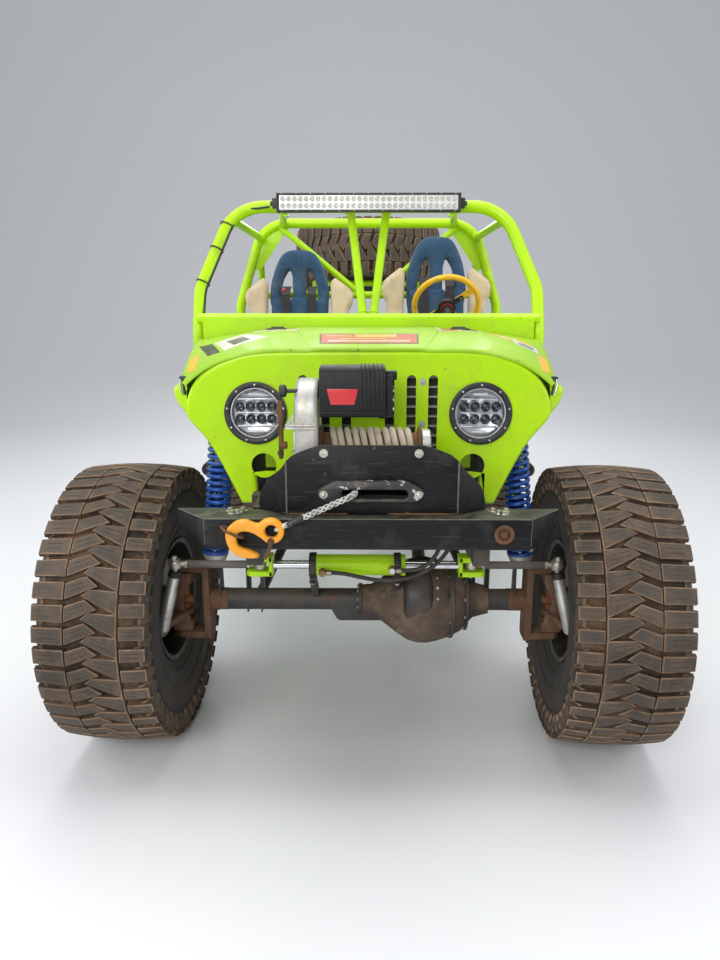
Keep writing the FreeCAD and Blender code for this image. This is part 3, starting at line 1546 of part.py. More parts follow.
# Steering column and wheel
wheel_centre_x = 382.0
wheel_centre_at = 1140.0
wheel_centre_z = 1556.0
wheel_rim_r = 170.0
wheel_rim_d = 30.0
wheel_tilt = 35.0
column_d = 40.0
wheel_hub_d = 90.0
wheel_hub_h = 40.0


def column_axis():
    tilt = math.radians(wheel_tilt)
    return Vec(0, math.cos(tilt), math.sin(tilt))


def column_point(distance):
    return Vec(wheel_centre_x, behind(wheel_centre_at), wheel_centre_z) + column_axis() * distance


def steering_column():
    long_way = (wheel_centre_at - tub_front) / column_axis().y
    shaft = rod(column_point(-long_way), column_point(-wheel_hub_h - running_gap), column_d)
    dash_y = behind(scuttle_bar_at) + scuttle_bar_d
    under_dash = column_point(-(behind(wheel_centre_at) - dash_y) / column_axis().y)
    hanger = block(wheel_centre_x - column_d / 2, wheel_centre_x + column_d / 2, dash_y,
                   dash_y + scuttle_sheet,
                   under_dash.z, tub_rail_z - dash_h)
    return fused([shaft, hanger]).cut(body_tub())


def steering_wheel():
    centre = column_point(0)
    rim = round_ring(centre, column_axis(), wheel_rim_r, wheel_rim_d, wheel_sides, round_sides // 2)
    hub = rod(column_point(-wheel_hub_h), column_point(0), wheel_hub_d)
    spokes = []
    for index in range(3):
        spoke = rod(centre - column_axis() * wheel_hub_h / 2, centre + AXIS_X * wheel_rim_r, wheel_rim_d / 2,
                    round_sides // 2)
        spoke.rotate(centre, column_axis(), index * FULL_TURN / 3 - FULL_TURN / 12)
        spokes.append(spoke)
    return fused([rim, hub] + spokes)


# Fuel tank on the tail floor
tank_gap = 40.0
tank_rear = tub_rear - tank_gap
tank_l = 280.0
tank_front = tank_rear - tank_l
tank_half_x = 380.0
tank_h = 240.0


def fuel_tank():
    z0 = tail_floor_z + tub_sheet
    return block(-tank_half_x, tank_half_x, behind(tank_front), behind(tank_rear), z0, z0 + tank_h)


def all_nodes():
    nodes = {
        "chassis_frame": chassis_frame(),
        "sill_rails": sill_rails(),
        "body_tub": body_tub(),
        "scuttle": scuttle(),
        "cage_front": cage_front(),
        "cage_main": cage_main(),
        "cage_rails": cage_rails(),
        "cage_vee": cage_vee(),
        "spare_tray": spare_tray(),
        "front_bumper": front_bumper(),
        "winch_plate": winch_plate(),
        "fairlead": fairlead(),
        "winch_housing": winch_housing(),
        "winch_box": winch_box(),
        "winch_drum": winch_drum(),
        "winch_rope": winch_rope(),
        "tow_hook": tow_hook(),
        "tow_rings": tow_rings(),
        "front_panel": front_panel(),
        "radiator": radiator(),
        "headlamp_rims": headlamp_rims(),
        "lamp_lenses": lamp_lenses(),
        "front_wings": front_wings(),
        "bonnet": bonnet(),
        "engine": engine(),
        "gearbox": gearbox(),
        "propshafts": propshafts(),
        "front_axle": front_axle(),
        "rear_axle": rear_axle(),
        "dampers": dampers(),
        "springs": springs(),
        "links": links(),
        "steering_ram": steering_ram(),
        "hose_low": hose(hose_low_route),
        "hose_high": hose(hose_high_route),
        "steering_rod": steering_rod(),
        "light_bar": light_bar(),
        "steering_column": steering_column(),
        "steering_wheel": steering_wheel(),
        "fuel_tank": fuel_tank(),
    }
    for name, side in [("left", 1), ("right", -1)]:
        nodes["knuckle_" + name] = knuckle(side)
        nodes["tie_rod_" + name] = tie_rod(side)
    for name, centre_x, top_z in zip(["left", "right"], seat_centres, seat_tops):
        nodes["seat_" + name] = seat(centre_x, top_z)
    tyre = tyre_shape()
    rim = rim_shape()
    for name, side, y in [("fl", 1, front_axle_y), ("fr", -1, front_axle_y), ("rl", 1, rear_axle_y),
                          ("rr", -1, rear_axle_y)]:
        nodes["tyre_" + name] = wheel_placed(tyre, side, y)
        nodes["rim_" + name] = wheel_placed(rim, side, y)
    nodes["spare_tyre"] = spare_placed(tyre)
    nodes["spare_rim"] = spare_placed(rim)
    return nodes


os.makedirs("parts", exist_ok=True)
for node_name, node_shape in all_nodes().items():
    node_shape.exportStep("parts/" + node_name + ".step")
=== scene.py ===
import math
import random

import bmesh
import bpy
from mathutils import Matrix, Vector
from mathutils.geometry import tessellate_polygon


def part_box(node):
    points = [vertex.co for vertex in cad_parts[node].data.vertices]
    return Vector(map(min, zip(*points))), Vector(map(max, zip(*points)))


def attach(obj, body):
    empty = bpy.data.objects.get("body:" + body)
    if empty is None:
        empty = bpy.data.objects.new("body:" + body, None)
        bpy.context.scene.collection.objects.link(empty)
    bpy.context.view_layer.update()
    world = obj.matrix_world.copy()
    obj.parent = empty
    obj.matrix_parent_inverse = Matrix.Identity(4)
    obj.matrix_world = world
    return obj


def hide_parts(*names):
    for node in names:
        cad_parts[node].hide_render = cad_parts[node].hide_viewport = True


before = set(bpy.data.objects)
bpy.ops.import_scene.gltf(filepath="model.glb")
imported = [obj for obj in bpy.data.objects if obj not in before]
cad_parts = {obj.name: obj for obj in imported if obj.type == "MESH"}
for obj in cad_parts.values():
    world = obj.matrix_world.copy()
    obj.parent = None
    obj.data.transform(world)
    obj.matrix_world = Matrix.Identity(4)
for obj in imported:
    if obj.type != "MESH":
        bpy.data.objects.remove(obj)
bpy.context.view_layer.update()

# The camera stands 2.5 m ahead of the front axle, at the height of a person's chest, and looks slightly
# down. It is a short lens, so the front tyres spread wide. Lengths along the vehicle are counted back
# from the front axle.
FRONT_AXLE_Y = -1.3565
AXLE_Z = 0.5
WHEELBASE = 2.7


def behind(distance):
    return FRONT_AXLE_Y + distance


FOCAL_PX, IMAGE_PX, SENSOR_MM = 726, 960, 36
EYE_AHEAD, EYE_Z, TILT_DOWN = 2.512, 1.571, 13.8
eye = bpy.data.cameras.new("eye")
eye.sensor_width = SENSOR_MM
eye.lens = SENSOR_MM * FOCAL_PX / IMAGE_PX
camera = bpy.data.objects.new("camera", eye)
bpy.context.collection.objects.link(camera)
camera.location = (0, behind(-EYE_AHEAD), EYE_Z)
camera.rotation_euler = (math.radians(90 - TILT_DOWN), 0, math.atan(8 / FOCAL_PX))
bpy.context.scene.camera = camera

# Steering hoses: two black rubber hoses with crimped ends. They run from the brass ports of the steering
# ram along the front of the axle, and rise behind the bumper to the steering valve.


def node_tree(owner):
    owner.use_nodes = True
    owner.node_tree.nodes.clear()
    return owner.node_tree.nodes, owner.node_tree.links


def finish_of(name, base, rough, metal=0.0, coat=0.0, vary=0.12, grain=60.0, bump=0.15, dirt=None, chips=None,
              lines=None, dust_up=None, specular=0.5, sheen=0.0):
    """A worn surface. dirt and chips are (colour, amount, scale, roughness), lines are (colour, amount,
    stretch), and dust_up is (colour, amount) for dust that lies on faces that look up."""
    material = bpy.data.materials.new(name)
    nodes, links = node_tree(material)
    place = nodes.new("ShaderNodeTexCoord")
    shell = nodes.new("ShaderNodeBsdfPrincipled")
    out = nodes.new("ShaderNodeOutputMaterial")
    links.new(shell.outputs[0], out.inputs["Surface"])
    shell.inputs["Metallic"].default_value = metal
    shell.inputs["Coat Weight"].default_value = coat
    shell.inputs["Coat Roughness"].default_value = 0.12
    shell.inputs["Specular IOR Level"].default_value = specular
    shell.inputs["Sheen Weight"].default_value = sheen

    def noise(scale, detail=5.0, stretch=(1, 1, 1), seed=0.0):
        shift = nodes.new("ShaderNodeMapping")
        shift.inputs["Location"].default_value = (seed, seed * 0.7, seed * 1.3)
        shift.inputs["Scale"].default_value = stretch
        links.new(place.outputs["Object"], shift.inputs["Vector"])
        cloud = nodes.new("ShaderNodeTexNoise")
        cloud.inputs["Scale"].default_value = scale
        cloud.inputs["Detail"].default_value = detail
        cloud.inputs["Roughness"].default_value = 0.62
        links.new(shift.outputs[0], cloud.inputs["Vector"])
        return cloud.outputs["Fac"]

    def step(value, low, high, to_low=0.0, to_high=1.0):
        limits = nodes.new("ShaderNodeMapRange")
        limits.inputs["From Min"].default_value = low
        limits.inputs["From Max"].default_value = high
        limits.inputs["To Min"].default_value = to_low
        limits.inputs["To Max"].default_value = to_high
        links.new(value, limits.inputs["Value"])
        return limits.outputs[0]

    def mix(share, first, second):
        blend = nodes.new("ShaderNodeMix")
        blend.data_type = "RGBA"
        for socket, value in [(blend.inputs[0], share), (blend.inputs[6], first), (blend.inputs[7], second)]:
            if isinstance(value, bpy.types.NodeSocket):
                links.new(value, socket)
            elif isinstance(value, (int, float)):
                socket.default_value = value
            else:
                socket.default_value = (*value, 1)
        return blend.outputs[2]

    def times(first, second):
        product = nodes.new("ShaderNodeMath")
        product.operation = "MULTIPLY"
        for socket, value in zip(product.inputs, (first, second)):
            if isinstance(value, bpy.types.NodeSocket):
                links.new(value, socket)
            else:
                socket.default_value = value
        return product.outputs[0]

    dark = tuple(part * (1 - vary) for part in base)
    light = tuple(min(part * (1 + vary), 1) for part in base)
    colour = mix(step(noise(3.1, 6), 0.3, 0.7), dark, light)
    roughness = step(noise(9.0, 4, seed=3.0), 0.3, 0.7, max(rough - 0.07, 0.02), min(rough + 0.07, 1))
    height = noise(grain, 3, seed=1.0)
    if lines:
        tone, amount, stretch = lines
        mask = times(step(noise(20, 2, stretch, 5.0), 0.6, 0.66), amount)
        colour = mix(mask, colour, tone)
    if chips:
        tone, amount, scale, chip_rough = chips
        mask = step(noise(scale, 9, seed=7.0), 0.5 + 0.2 * (1 - amount), 0.52 + 0.2 * (1 - amount))
        colour = mix(mask, colour, tone)
        roughness = mix(mask, roughness, (chip_rough,) * 3)
        height = mix(mask, height, (0.1,) * 3)
    if dirt:
        tone, amount, scale, dirt_rough = dirt
        mask = step(noise(scale, 8, seed=11.0), 0.62 - 0.3 * amount, 0.92 - 0.3 * amount)
        fine = step(noise(scale * 9, 5, seed=13.0), 0.35, 0.62)
        mask = times(mask, mix(0.45, fine, (1.0,) * 3))
        colour = mix(mask, colour, tone)
        roughness = mix(mask, roughness, (dirt_rough,) * 3)
    if dust_up:
        tone, amount = dust_up
        shape = nodes.new("ShaderNodeNewGeometry")
        split = nodes.new("ShaderNodeSeparateXYZ")
        links.new(shape.outputs["Normal"], split.inputs[0])
        mask = times(step(split.outputs["Z"], 0.25, 0.95),
                     times(step(noise(14, 7, seed=17.0), 0.3, 0.75), amount))
        colour = mix(mask, colour, tone)
        roughness = mix(mask, roughness, (0.85,) * 3)
    links.new(colour, shell.inputs["Base Color"])
    links.new(roughness, shell.inputs["Roughness"])
    relief = nodes.new("ShaderNodeBump")
    relief.inputs["Strength"].default_value = bump
    relief.inputs["Distance"].default_value = 0.002
    links.new(height, relief.inputs["Height"])
    links.new(relief.outputs[0], shell.inputs["Normal"])
    return material


SHARP = math.radians(30)


class Piece:
    """Gathers the parts of one piece, each with its own finish, into one mesh."""

    def __init__(self):
        self.mesh = bmesh.new()
        self.finishes = []

    def add(self, part, finish, bevel=0.0, move=None):
        """part is a bmesh, which is used up. Its sharp edges are rounded where bevel is given."""
        if bevel:
            sharp = [edge for edge in part.edges if len(edge.link_faces) == 2
                     and edge.calc_face_angle(0) > SHARP]
            bmesh.ops.bevel(part, geom=sharp, offset=bevel, segments=2, profile=0.6, affect="EDGES",
                            clamp_overlap=True)
        if move is not None:
            part.transform(move)
            if move.determinant() < 0:
                bmesh.ops.reverse_faces(part, faces=part.faces)
        if finish is not None:
            if finish not in self.finishes:
                self.finishes.append(finish)
            for face in part.faces:
                face.material_index = self.finishes.index(finish)
        joined = bpy.data.meshes.new("part")
        part.to_mesh(joined)
        self.mesh.from_mesh(joined)
        bpy.data.meshes.remove(joined)
        part.free()
        return self

    def done(self, name, body, slot, replaces=(), smooth=40):
        """Makes the object. Edges sharper than smooth, in degrees, stay sharp."""
        shape = bpy.data.meshes.new(name)
        for face in self.mesh.faces:
            face.smooth = True
        for edge in self.mesh.edges:
            if len(edge.link_faces) == 2 and edge.calc_face_angle(0) > math.radians(smooth):
                edge.smooth = False
        self.mesh.to_mesh(shape)
        self.mesh.free()
        for finish in self.finishes:
            shape.materials.append(finish)
        thing = bpy.data.objects.new(name, shape)
        bpy.context.collection.objects.link(thing)
        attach(thing, body)
        if replaces:
            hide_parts(*replaces)
        return thing


def shell_of(points, faces):
    """A mesh from points and the faces between them, given by their numbers."""
    part = bmesh.new()
    corners = [part.verts.new(point) for point in points]
    for face in faces:
        part.faces.new([corners[index] for index in face])
    return part


def cleaned(part):
    """Without double points and empty faces, and with every face outwards."""
    bmesh.ops.remove_doubles(part, verts=part.verts, dist=1e-6)
    bmesh.ops.dissolve_degenerate(part, edges=part.edges, dist=1e-6)
    bmesh.ops.recalc_face_normals(part, faces=part.faces)
    return part


def turned(profile, start, axis, sides=48, closed=False):
    """A turned part. profile is a list of (distance along the axis, radius)."""
    axis = Vector(axis).normalized()
    side = axis.orthogonal().normalized()
    other = axis.cross(side)
    start = Vector(start)
    points, faces = [], []
    for along, radius in profile:
        for index in range(sides):
            turn = 2 * math.pi * index / sides
            points.append(start + axis * along + (side * math.cos(turn) + other * math.sin(turn)) * radius)
    rows = len(profile)
    for row in range(rows if closed else rows - 1):
        after_row = (row + 1) % rows
        for index in range(sides):
            after = (index + 1) % sides
            faces.append((row * sides + index, row * sides + after, after_row * sides + after,
                          after_row * sides + index))
    part = shell_of(points, faces)
    return cleaned(part)


def mm(*numbers):
    """A point from part.py: x, the distance behind the front axle, and z, in millimetres."""
    x, back, z = numbers
    return (x / 1000, behind(back / 1000), z / 1000)


HOSE_D = 0.014
hose_rubber = finish_of("hose_rubber", (0.022, 0.021, 0.02), 0.52, vary=0.2, grain=160, bump=0.2,
                        dirt=((0.15, 0.11, 0.07), 0.36, 18, 0.9), dust_up=((0.22, 0.17, 0.12), 0.5))
crimp_steel = finish_of("crimp_steel", (0.4, 0.36, 0.28), 0.4, metal=0.9, vary=0.2, grain=120, bump=0.2,
                        dirt=((0.22, 0.12, 0.06), 0.4, 30, 0.85))
for name, route, metres in [("hose_low", [mm(-140, -201, 680), mm(-92, -201, 680), mm(-30, -203, 666),
                                          mm(40, -205, 653), mm(112, -206, 656), mm(178, -207, 677),
                                          mm(232, -209, 714), mm(268, -213, 764), mm(289, -219, 822),
                                          mm(299, -224, 883), mm(299, -224, 944)], 0.633),
                            ("hose_high", [mm(96, -206, 690), mm(134, -206, 690), mm(178, -216, 700),
                                           mm(214, -223, 730), mm(236, -225, 770), mm(250, -227, 814),
                                           mm(260, -226, 860), mm(265, -225, 902), mm(265, -225, 944)],
                             0.353)]:
    curve = bpy.data.curves.new(name + "_line", "CURVE")
    curve.dimensions = "3D"
    curve.bevel_depth = HOSE_D / 2
    curve.bevel_resolution = 6
    curve.use_fill_caps = True
    line = curve.splines.new("NURBS")
    line.points.add(len(route) - 1)
    for spot, point in zip(line.points, route):
        spot.co = (*point, 1)
    line.order_u = 3
    line.use_endpoint_u = True
    line.resolution_u = 12
    curve.materials.append(hose_rubber)
    hose = bpy.data.objects.new(name + "_line", curve)
    bpy.context.collection.objects.link(hose)
    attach(hose, "root")
    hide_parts(name)
    ferrules = Piece()
    for start, way in ((route[0], Vector(route[1]) - Vector(route[0])),
                       (route[-1], Vector(route[-2]) - Vector(route[-1]))):
        ferrules.add(turned([(0.0015, 0.0071), (0.0015, 0.0094), (0.004, 0.0102), (0.0065, 0.0094),
                             (0.009, 0.0102), (0.0115, 0.0094), (0.014, 0.0102), (0.018, 0.0092),
                             (0.018, 0.0071)], start, way, 20, closed=True), crimp_steel)
    ends = ferrules.done(name + "_crimps", "root", "hose")
    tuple(route[0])

# Studio: a pale floor that curves up into a wall behind, with soft lamps above, ahead, behind and at both
# sides. The world is a plain pale grey.
scene = bpy.context.scene
scene.view_settings.view_transform = "Standard"

world = bpy.data.worlds.new("studio")
scene.world = world
nodes, links = node_tree(world)
pale = nodes.new("ShaderNodeBackground")
pale.inputs["Color"].default_value = (0.76, 0.78, 0.81, 1)
pale.inputs["Strength"].default_value = 0.6
sky = nodes.new("ShaderNodeOutputWorld")
links.new(pale.outputs[0], sky.inputs["Surface"])

for name, place, aim, size, watts, tint in [
        ("lamp_top", (0.0, -0.6, 5.2), (0.0, -0.2, 0.8), (5.0, 4.0), 185, (1.0, 0.99, 0.97)),
        ("lamp_front", (-1.8, -6.6, 3.4), (0.0, -1.2, 0.9), (3.6, 2.6), 200, (1.0, 0.98, 0.95)),
        ("lamp_left", (5.2, -2.2, 2.6), (0.6, -0.6, 0.8), (1.4, 3.6), 85, (0.95, 0.97, 1.0)),
        ("lamp_right", (-5.2, -1.4, 2.8), (-0.6, -0.4, 0.8), (1.4, 3.6), 85, (0.95, 0.97, 1.0)),
        ("lamp_back", (0.0, 5.4, 3.6), (0.0, 1.0, 1.0), (4.0, 2.0), 110, (1.0, 1.0, 1.0))]:
    light = bpy.data.lights.new(name, "AREA")
    light.shape = "RECTANGLE"
    light.size, light.size_y = size
    light.energy = watts
    light.color = tint
    lamp = bpy.data.objects.new(name, light)
    bpy.context.collection.objects.link(lamp)
    lamp.location = place
    lamp.rotation_euler = (Vector(aim) - Vector(place)).to_track_quat("-Z", "Y").to_euler()

floor_mesh = bpy.data.meshes.new("floor")
sweep = [(-12, 0), (5.0, 0)]
for index in range(1, 13):
    turn = math.radians(7.5 * index)
    sweep.append((5.0 + 5.0 * math.sin(turn), 5.0 - 5.0 * math.cos(turn)))
sweep.append((10.0, 14.0))
floor_mesh.from_pydata([(x, y, z) for y, z in sweep for x in (-16, 16)], [],
                       [(2 * row, 2 * row + 1, 2 * row + 3, 2 * row + 2) for row in range(len(sweep) - 1)])
for face in floor_mesh.polygons:
    face.use_smooth = True
floor = bpy.data.objects.new("floor", floor_mesh)
bpy.context.collection.objects.link(floor)
concrete = bpy.data.materials.new("pale_floor")
nodes, links = node_tree(concrete)
place = nodes.new("ShaderNodeTexCoord")
cloud = nodes.new("ShaderNodeTexNoise")
cloud.inputs["Scale"].default_value = 0.9
cloud.inputs["Detail"].default_value = 6
links.new(place.outputs["Object"], cloud.inputs["Vector"])
polish = nodes.new("ShaderNodeMapRange")
polish.inputs["To Min"].default_value = 0.3
polish.inputs["To Max"].default_value = 0.46
links.new(cloud.outputs["Fac"], polish.inputs["Value"])
shell = nodes.new("ShaderNodeBsdfPrincipled")
shell.inputs["Base Color"].default_value = (0.76, 0.77, 0.79, 1)
links.new(polish.outputs[0], shell.inputs["Roughness"])
out = nodes.new("ShaderNodeOutputMaterial")
links.new(shell.outputs[0], out.inputs["Surface"])
floor_mesh.materials.append(concrete)

# Tyres: chunky mud tyres a metre across. Each is one moulding, with four rows of blocks a side by side, cut
# by two sipes each, and side bars on the shoulder. Dried mud lies in the grooves and on the blocks' edges.


def turned_x(profile, sides=48, closed=False):
    return turned(profile, (0, 0, 0), (1, 0, 0), sides, closed)


TREAD_HALF = 0.178
BLOCK_COUNT = 44
TREAD_DEPTH = 0.018
BLOCK_CHAMFER = 0.0035
TYRE_R = 0.5


def tread_radius(x):
    return 0.5 - 0.013 * (x / TREAD_HALF) ** 2


def on_tread(x, along, depth):
    """A point on the tread: x across, along in block pitches round the tyre, depth below the blocks' tops."""
    turn = 2 * math.pi * along / BLOCK_COUNT
    radius = tread_radius(x) - depth
    return Vector((x, radius * math.cos(turn), radius * math.sin(turn)))


def tread_block(corners, sipes):
    """One rubber block from four corners (x share, pitches), its rim chamfered and its top cut by sipes."""
    pitch = 2 * math.pi * TYRE_R / BLOCK_COUNT
    flat = [Vector((x * TREAD_HALF, s * pitch)) for x, s in corners]
    long_side = ((flat[3] - flat[0]).length + (flat[2] - flat[1]).length) / 2
    short_side = ((flat[1] - flat[0]).length + (flat[2] - flat[3]).length) / 2
    cut_u, cut_v = BLOCK_CHAMFER / long_side, BLOCK_CHAMFER / short_side
    us = [0, cut_u, 0.24, 0.76, 1 - cut_u, 1]
    vs = [0, cut_v, 1 - cut_v, 1]
    if sipes:
        half = 0.0011 / short_side
        vs = [0, cut_v, 0.34 - half, 0.34 + half, 0.66 - half, 0.66 + half, 1 - cut_v, 1]

    def spot(u, v, depth):
        low = flat[0].lerp(flat[3], u)
        high = flat[1].lerp(flat[2], u)
        point = low.lerp(high, v)
        return on_tread(point.x, point.y / pitch, depth)

    part = bmesh.new()
    grid = []
    for u in us:
        row = []
        for v in vs:
            edge = u in (0, 1) or v in (0, 1)
            row.append(part.verts.new(spot(u, v, BLOCK_CHAMFER * 0.8 if edge else 0)))
        grid.append(row)
    for i in range(len(us) - 1):
        for j in range(len(vs) - 1):
            corner = [grid[i][j], grid[i][j + 1], grid[i + 1][j + 1], grid[i + 1][j]]
            rim = i in (0, len(us) - 2) or j in (0, len(vs) - 2)
            if sipes and i == 2 and j in (2, 4):
                sunk = [part.verts.new(spot(us[a], vs[b], 0.004)) for a, b in
                        [(i, j), (i, j + 1), (i + 1, j + 1), (i + 1, j)]]
                part.faces.new(sunk).material_index = 2
                for k in range(4):
                    part.faces.new([corner[k], corner[(k + 1) % 4], sunk[(k + 1) % 4],
                                    sunk[k]]).material_index = 1
            else:
                part.faces.new(corner).material_index = 1 if rim else 0
    rim = [(i, 0) for i in range(len(us))] + [(len(us) - 1, j) for j in range(1, len(vs))]
    rim += [(i, len(vs) - 1) for i in range(len(us) - 2, -1, -1)]
    rim += [(0, j) for j in range(len(vs) - 2, 0, -1)]
    feet = []
    for i, j in rim:
        u, v = us[i], vs[j]
        spread_u = 0.0025 / long_side
        spread_v = 0.0025 / short_side
        u += -spread_u if u == 0 else spread_u if u == 1 else 0
        v += -spread_v if v == 0 else spread_v if v == 1 else 0
        feet.append(part.verts.new(spot(u, v, TREAD_DEPTH + 0.003)))
    for k in range(len(rim)):
        a, b = rim[k], rim[(k + 1) % len(rim)]
        part.faces.new([grid[a[0]][a[1]], grid[b[0]][b[1]], feet[(k + 1) % len(rim)],
                        feet[k]]).material_index = 3
    return part


def side_bar(side, along, wide, low, high):
    """A bar on the shoulder, between two blocks, that runs down the sidewall."""
    pitch = 2 * math.pi / BLOCK_COUNT
    outline = [(0.16, high + 0.012), (0.1765, high), (0.1775, low + 0.012), (0.169, low)]
    part = bmesh.new()
    rows = []
    for x, radius in outline:
        row = []
        for share in [-0.5, 0.5]:
            turn = (along + share * wide) * pitch
            row.append(part.verts.new((side * x, radius * math.cos(turn), radius * math.sin(turn))))
        rows.append(row)
    inner = []
    for x, radius in outline:
        row = []
        for share in [-0.62, 0.62]:
            turn = (along + share * wide) * pitch
            row.append(part.verts.new((side * (x - 0.016), radius * math.cos(turn), radius * math.sin(turn))))
        inner.append(row)
    for k in range(len(outline) - 1):
        part.faces.new([rows[k][0], rows[k][1], rows[k + 1][1], rows[k + 1][0]]).material_index = 0
        for j in range(2):
            part.faces.new([rows[k][j], rows[k + 1][j], inner[k + 1][j], inner[k][j]]).material_index = 1
    for k in (0, len(outline) - 1):
        part.faces.new([rows[k][0], rows[k][1], inner[k][1], inner[k][0]]).material_index = 1
    return part


mud = (0.23, 0.135, 0.072)
rubber_top = finish_of("tyre_block_top", (0.062, 0.05, 0.04), 0.82, vary=0.35, grain=180, bump=0.5,
                       dirt=((0.155, 0.1, 0.062), 0.55, 16, 0.95))
rubber_edge = finish_of("tyre_block_edge", (0.235, 0.15, 0.09), 0.9, vary=0.4, grain=220, bump=0.5,
                        dirt=((0.075, 0.052, 0.036), 0.75, 22, 0.9))
rubber_sipe = finish_of("tyre_sipe", (0.2, 0.15, 0.11), 0.95, vary=0.2)
groove_rubber_and_hole_shade = finish_of("tyre_groove_and_hole_shade", (0.04, 0.027, 0.019), 0.92, vary=0.4, grain=120, bump=0.6,
                          dirt=(mud, 0.62, 11, 0.95))
rubber_wall = finish_of("tyre_sidewall", (0.03, 0.026, 0.023), 0.72, vary=0.3, grain=240, bump=0.3,
                        dirt=((0.085, 0.06, 0.042), 0.66, 9, 0.95))


def tyre_mesh():
    whole = bmesh.new()
    spots = bpy.data.meshes.new("spots")
    shapes = [([(-1.0, -0.54), (-1.0, 0.06), (-0.56, 0.08), (-0.56, -0.52)], True),
              ([(-0.53, -0.06), (-0.53, 0.96), (0.1, 0.16), (-0.04, -0.12)], True),
              ([(-0.18, -0.3), (-0.06, -0.2), (0.4, 0.32), (0.4, -0.36)], False),
              ([(0.42, -0.44), (0.42, 0.33), (1.0, 0.3), (1.0, -0.42)], True)]
    shapes[2] = ([(0.03, -0.68), (-0.18, -0.26), (0.395, 0.31), (0.395, -0.37)], True)
    for index in range(BLOCK_COUNT):
        parts = [tread_block([(x, s + index) for x, s in corners], sipes) for corners, sipes in shapes]
        parts.append(side_bar(-1, index + 0.26, 0.34, 0.405, 0.452))
        parts.append(side_bar(-1, index - 0.24, 0.56, 0.425, 0.47))
        parts.append(side_bar(1, index + 0.45, 0.3, 0.405, 0.452))
        parts.append(side_bar(1, index - 0.06, 0.66, 0.425, 0.47))
        for part in parts:
            part.to_mesh(spots)
            whole.from_mesh(spots)
            part.free()
    profile = [(0.124, 0.217), (0.131, 0.222), (0.139, 0.236), (0.15, 0.262), (0.163, 0.3), (0.1705, 0.345),
               (0.1695, 0.385), (0.1665, 0.415), (0.16, 0.446), (0.152, 0.463), (0.135, 0.4735),
               (0.09, 0.4785), (0.03, 0.4815)]
    profile = profile + [(-x, radius) for x, radius in reversed(profile)]
    profile = [(x, radius) for x, radius in profile] + [(-0.118, 0.2155), (0.118, 0.2155)]
    wall = turned_x(profile, 88, closed=True)
    for face in wall.faces:
        middle = face.calc_center_median()
        face.material_index = 3 if math.hypot(middle.y, middle.z) > 0.455 else 4
    rings = []
    for side in (-1, 1):
        for radius, x, wide in [(0.318, 0.1675, 0.0035), (0.262, 0.1515, 0.004), (0.398, 0.1702, 0.003)]:
            rings.append(turned_x([(side * (x - 0.004), radius - wide),
                                   (side * (x + 0.001), radius - wide / 2),
                                   (side * (x + 0.001), radius + wide / 2),
                                   (side * (x - 0.004), radius + wide)], 72))
    for part in [wall] + rings:
        if part is not wall:
            for face in part.faces:
                face.material_index = 4
        part.to_mesh(spots)
        whole.from_mesh(spots)
        part.free()
    bpy.data.meshes.remove(spots)
    bmesh.ops.recalc_face_normals(whole, faces=whole.faces)
    for face in whole.faces:
        face.smooth = True
    for edge in whole.edges:
        if len(edge.link_faces) == 2 and edge.calc_face_angle(0) > math.radians(38):
            edge.smooth = False
    shape = bpy.data.meshes.new("mud_tyre")
    whole.to_mesh(shape)
    whole.free()
    for finish in (rubber_top, rubber_edge, rubber_sipe, groove_rubber_and_hole_shade, rubber_wall):
        shape.materials.append(finish)
    return shape


REST_STEER = math.radians(-2.5)
KINGPIN_X = 0.68
WHEEL_X = 0.84


def wheel_place(side, front):
    """Where a wheel made about the origin with its outer face on +X stands on the vehicle."""
    y = FRONT_AXLE_Y if front else behind(WHEELBASE)
    stand = Matrix.Translation((side * WHEEL_X, y, AXLE_Z)) @ Matrix.Diagonal((side, 1, 1, 1))
    if front:
        pin = Matrix.Translation((side * KINGPIN_X, y, 0))
        stand = pin @ Matrix.Rotation(REST_STEER, 4, "Z") @ pin.inverted() @ stand
    return stand


SPARE_PLACE = (Matrix.Translation((0, behind(2.75), 1.85)) @ Matrix.Rotation(math.radians(-8), 4, "X")
               @ Matrix.Rotation(math.radians(-90), 4, "Y"))
WHEELS = [("fl", 1, True), ("fr", -1, True), ("rl", 1, False), ("rr", -1, False)]


def placed_copy(mesh, name, move, body, node):
    shape = mesh.copy()
    shape.name = name
    shape.transform(move)
    if move.determinant() < 0:
        shape.flip_normals()
    thing = bpy.data.objects.new(name, shape)
    bpy.context.collection.objects.link(thing)
    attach(thing, body)
    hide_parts(node)
    return thing


tyre = tyre_mesh()
for code, side, front in WHEELS:
    placed_copy(tyre, "mud_tyre_" + code, wheel_place(side, front), "wheel_" + code, "tyre_" + code)
placed_copy(tyre, "mud_tyre_spare", SPARE_PLACE, "root", "spare_tyre")
bpy.data.meshes.remove(tyre)

# Wheels: black steel rims that face outwards, with a deep barrel, a dished centre with eight holes, and a
# ring of bolts that clamps the outer bead. The holes are not cut: each is a dark disc on the dish, painted
# shade for the dark inside of the hole. Rust shows round the holes and dust lies in the barrel.
rim_paint = finish_of("rim_paint", (0.02, 0.02, 0.021), 0.42, vary=0.3, grain=90, bump=0.2,
                      dirt=((0.115, 0.078, 0.05), 0.62, 9, 0.9), chips=((0.16, 0.06, 0.025), 0.35, 30, 0.8))
bolt_steel = finish_of("bolt_steel", (0.45, 0.44, 0.42), 0.42, metal=0.9, vary=0.2, grain=140, bump=0.2,
                       dirt=((0.2, 0.12, 0.07), 0.55, 40, 0.8))
iron_rust = finish_of("iron_rust", (0.105, 0.058, 0.032), 0.86, metal=0.2, vary=0.45, grain=110, bump=0.8,
                      dirt=((0.26, 0.115, 0.04), 0.68, 17, 0.95), chips=((0.035, 0.026, 0.022), 0.5, 21, 0.7))


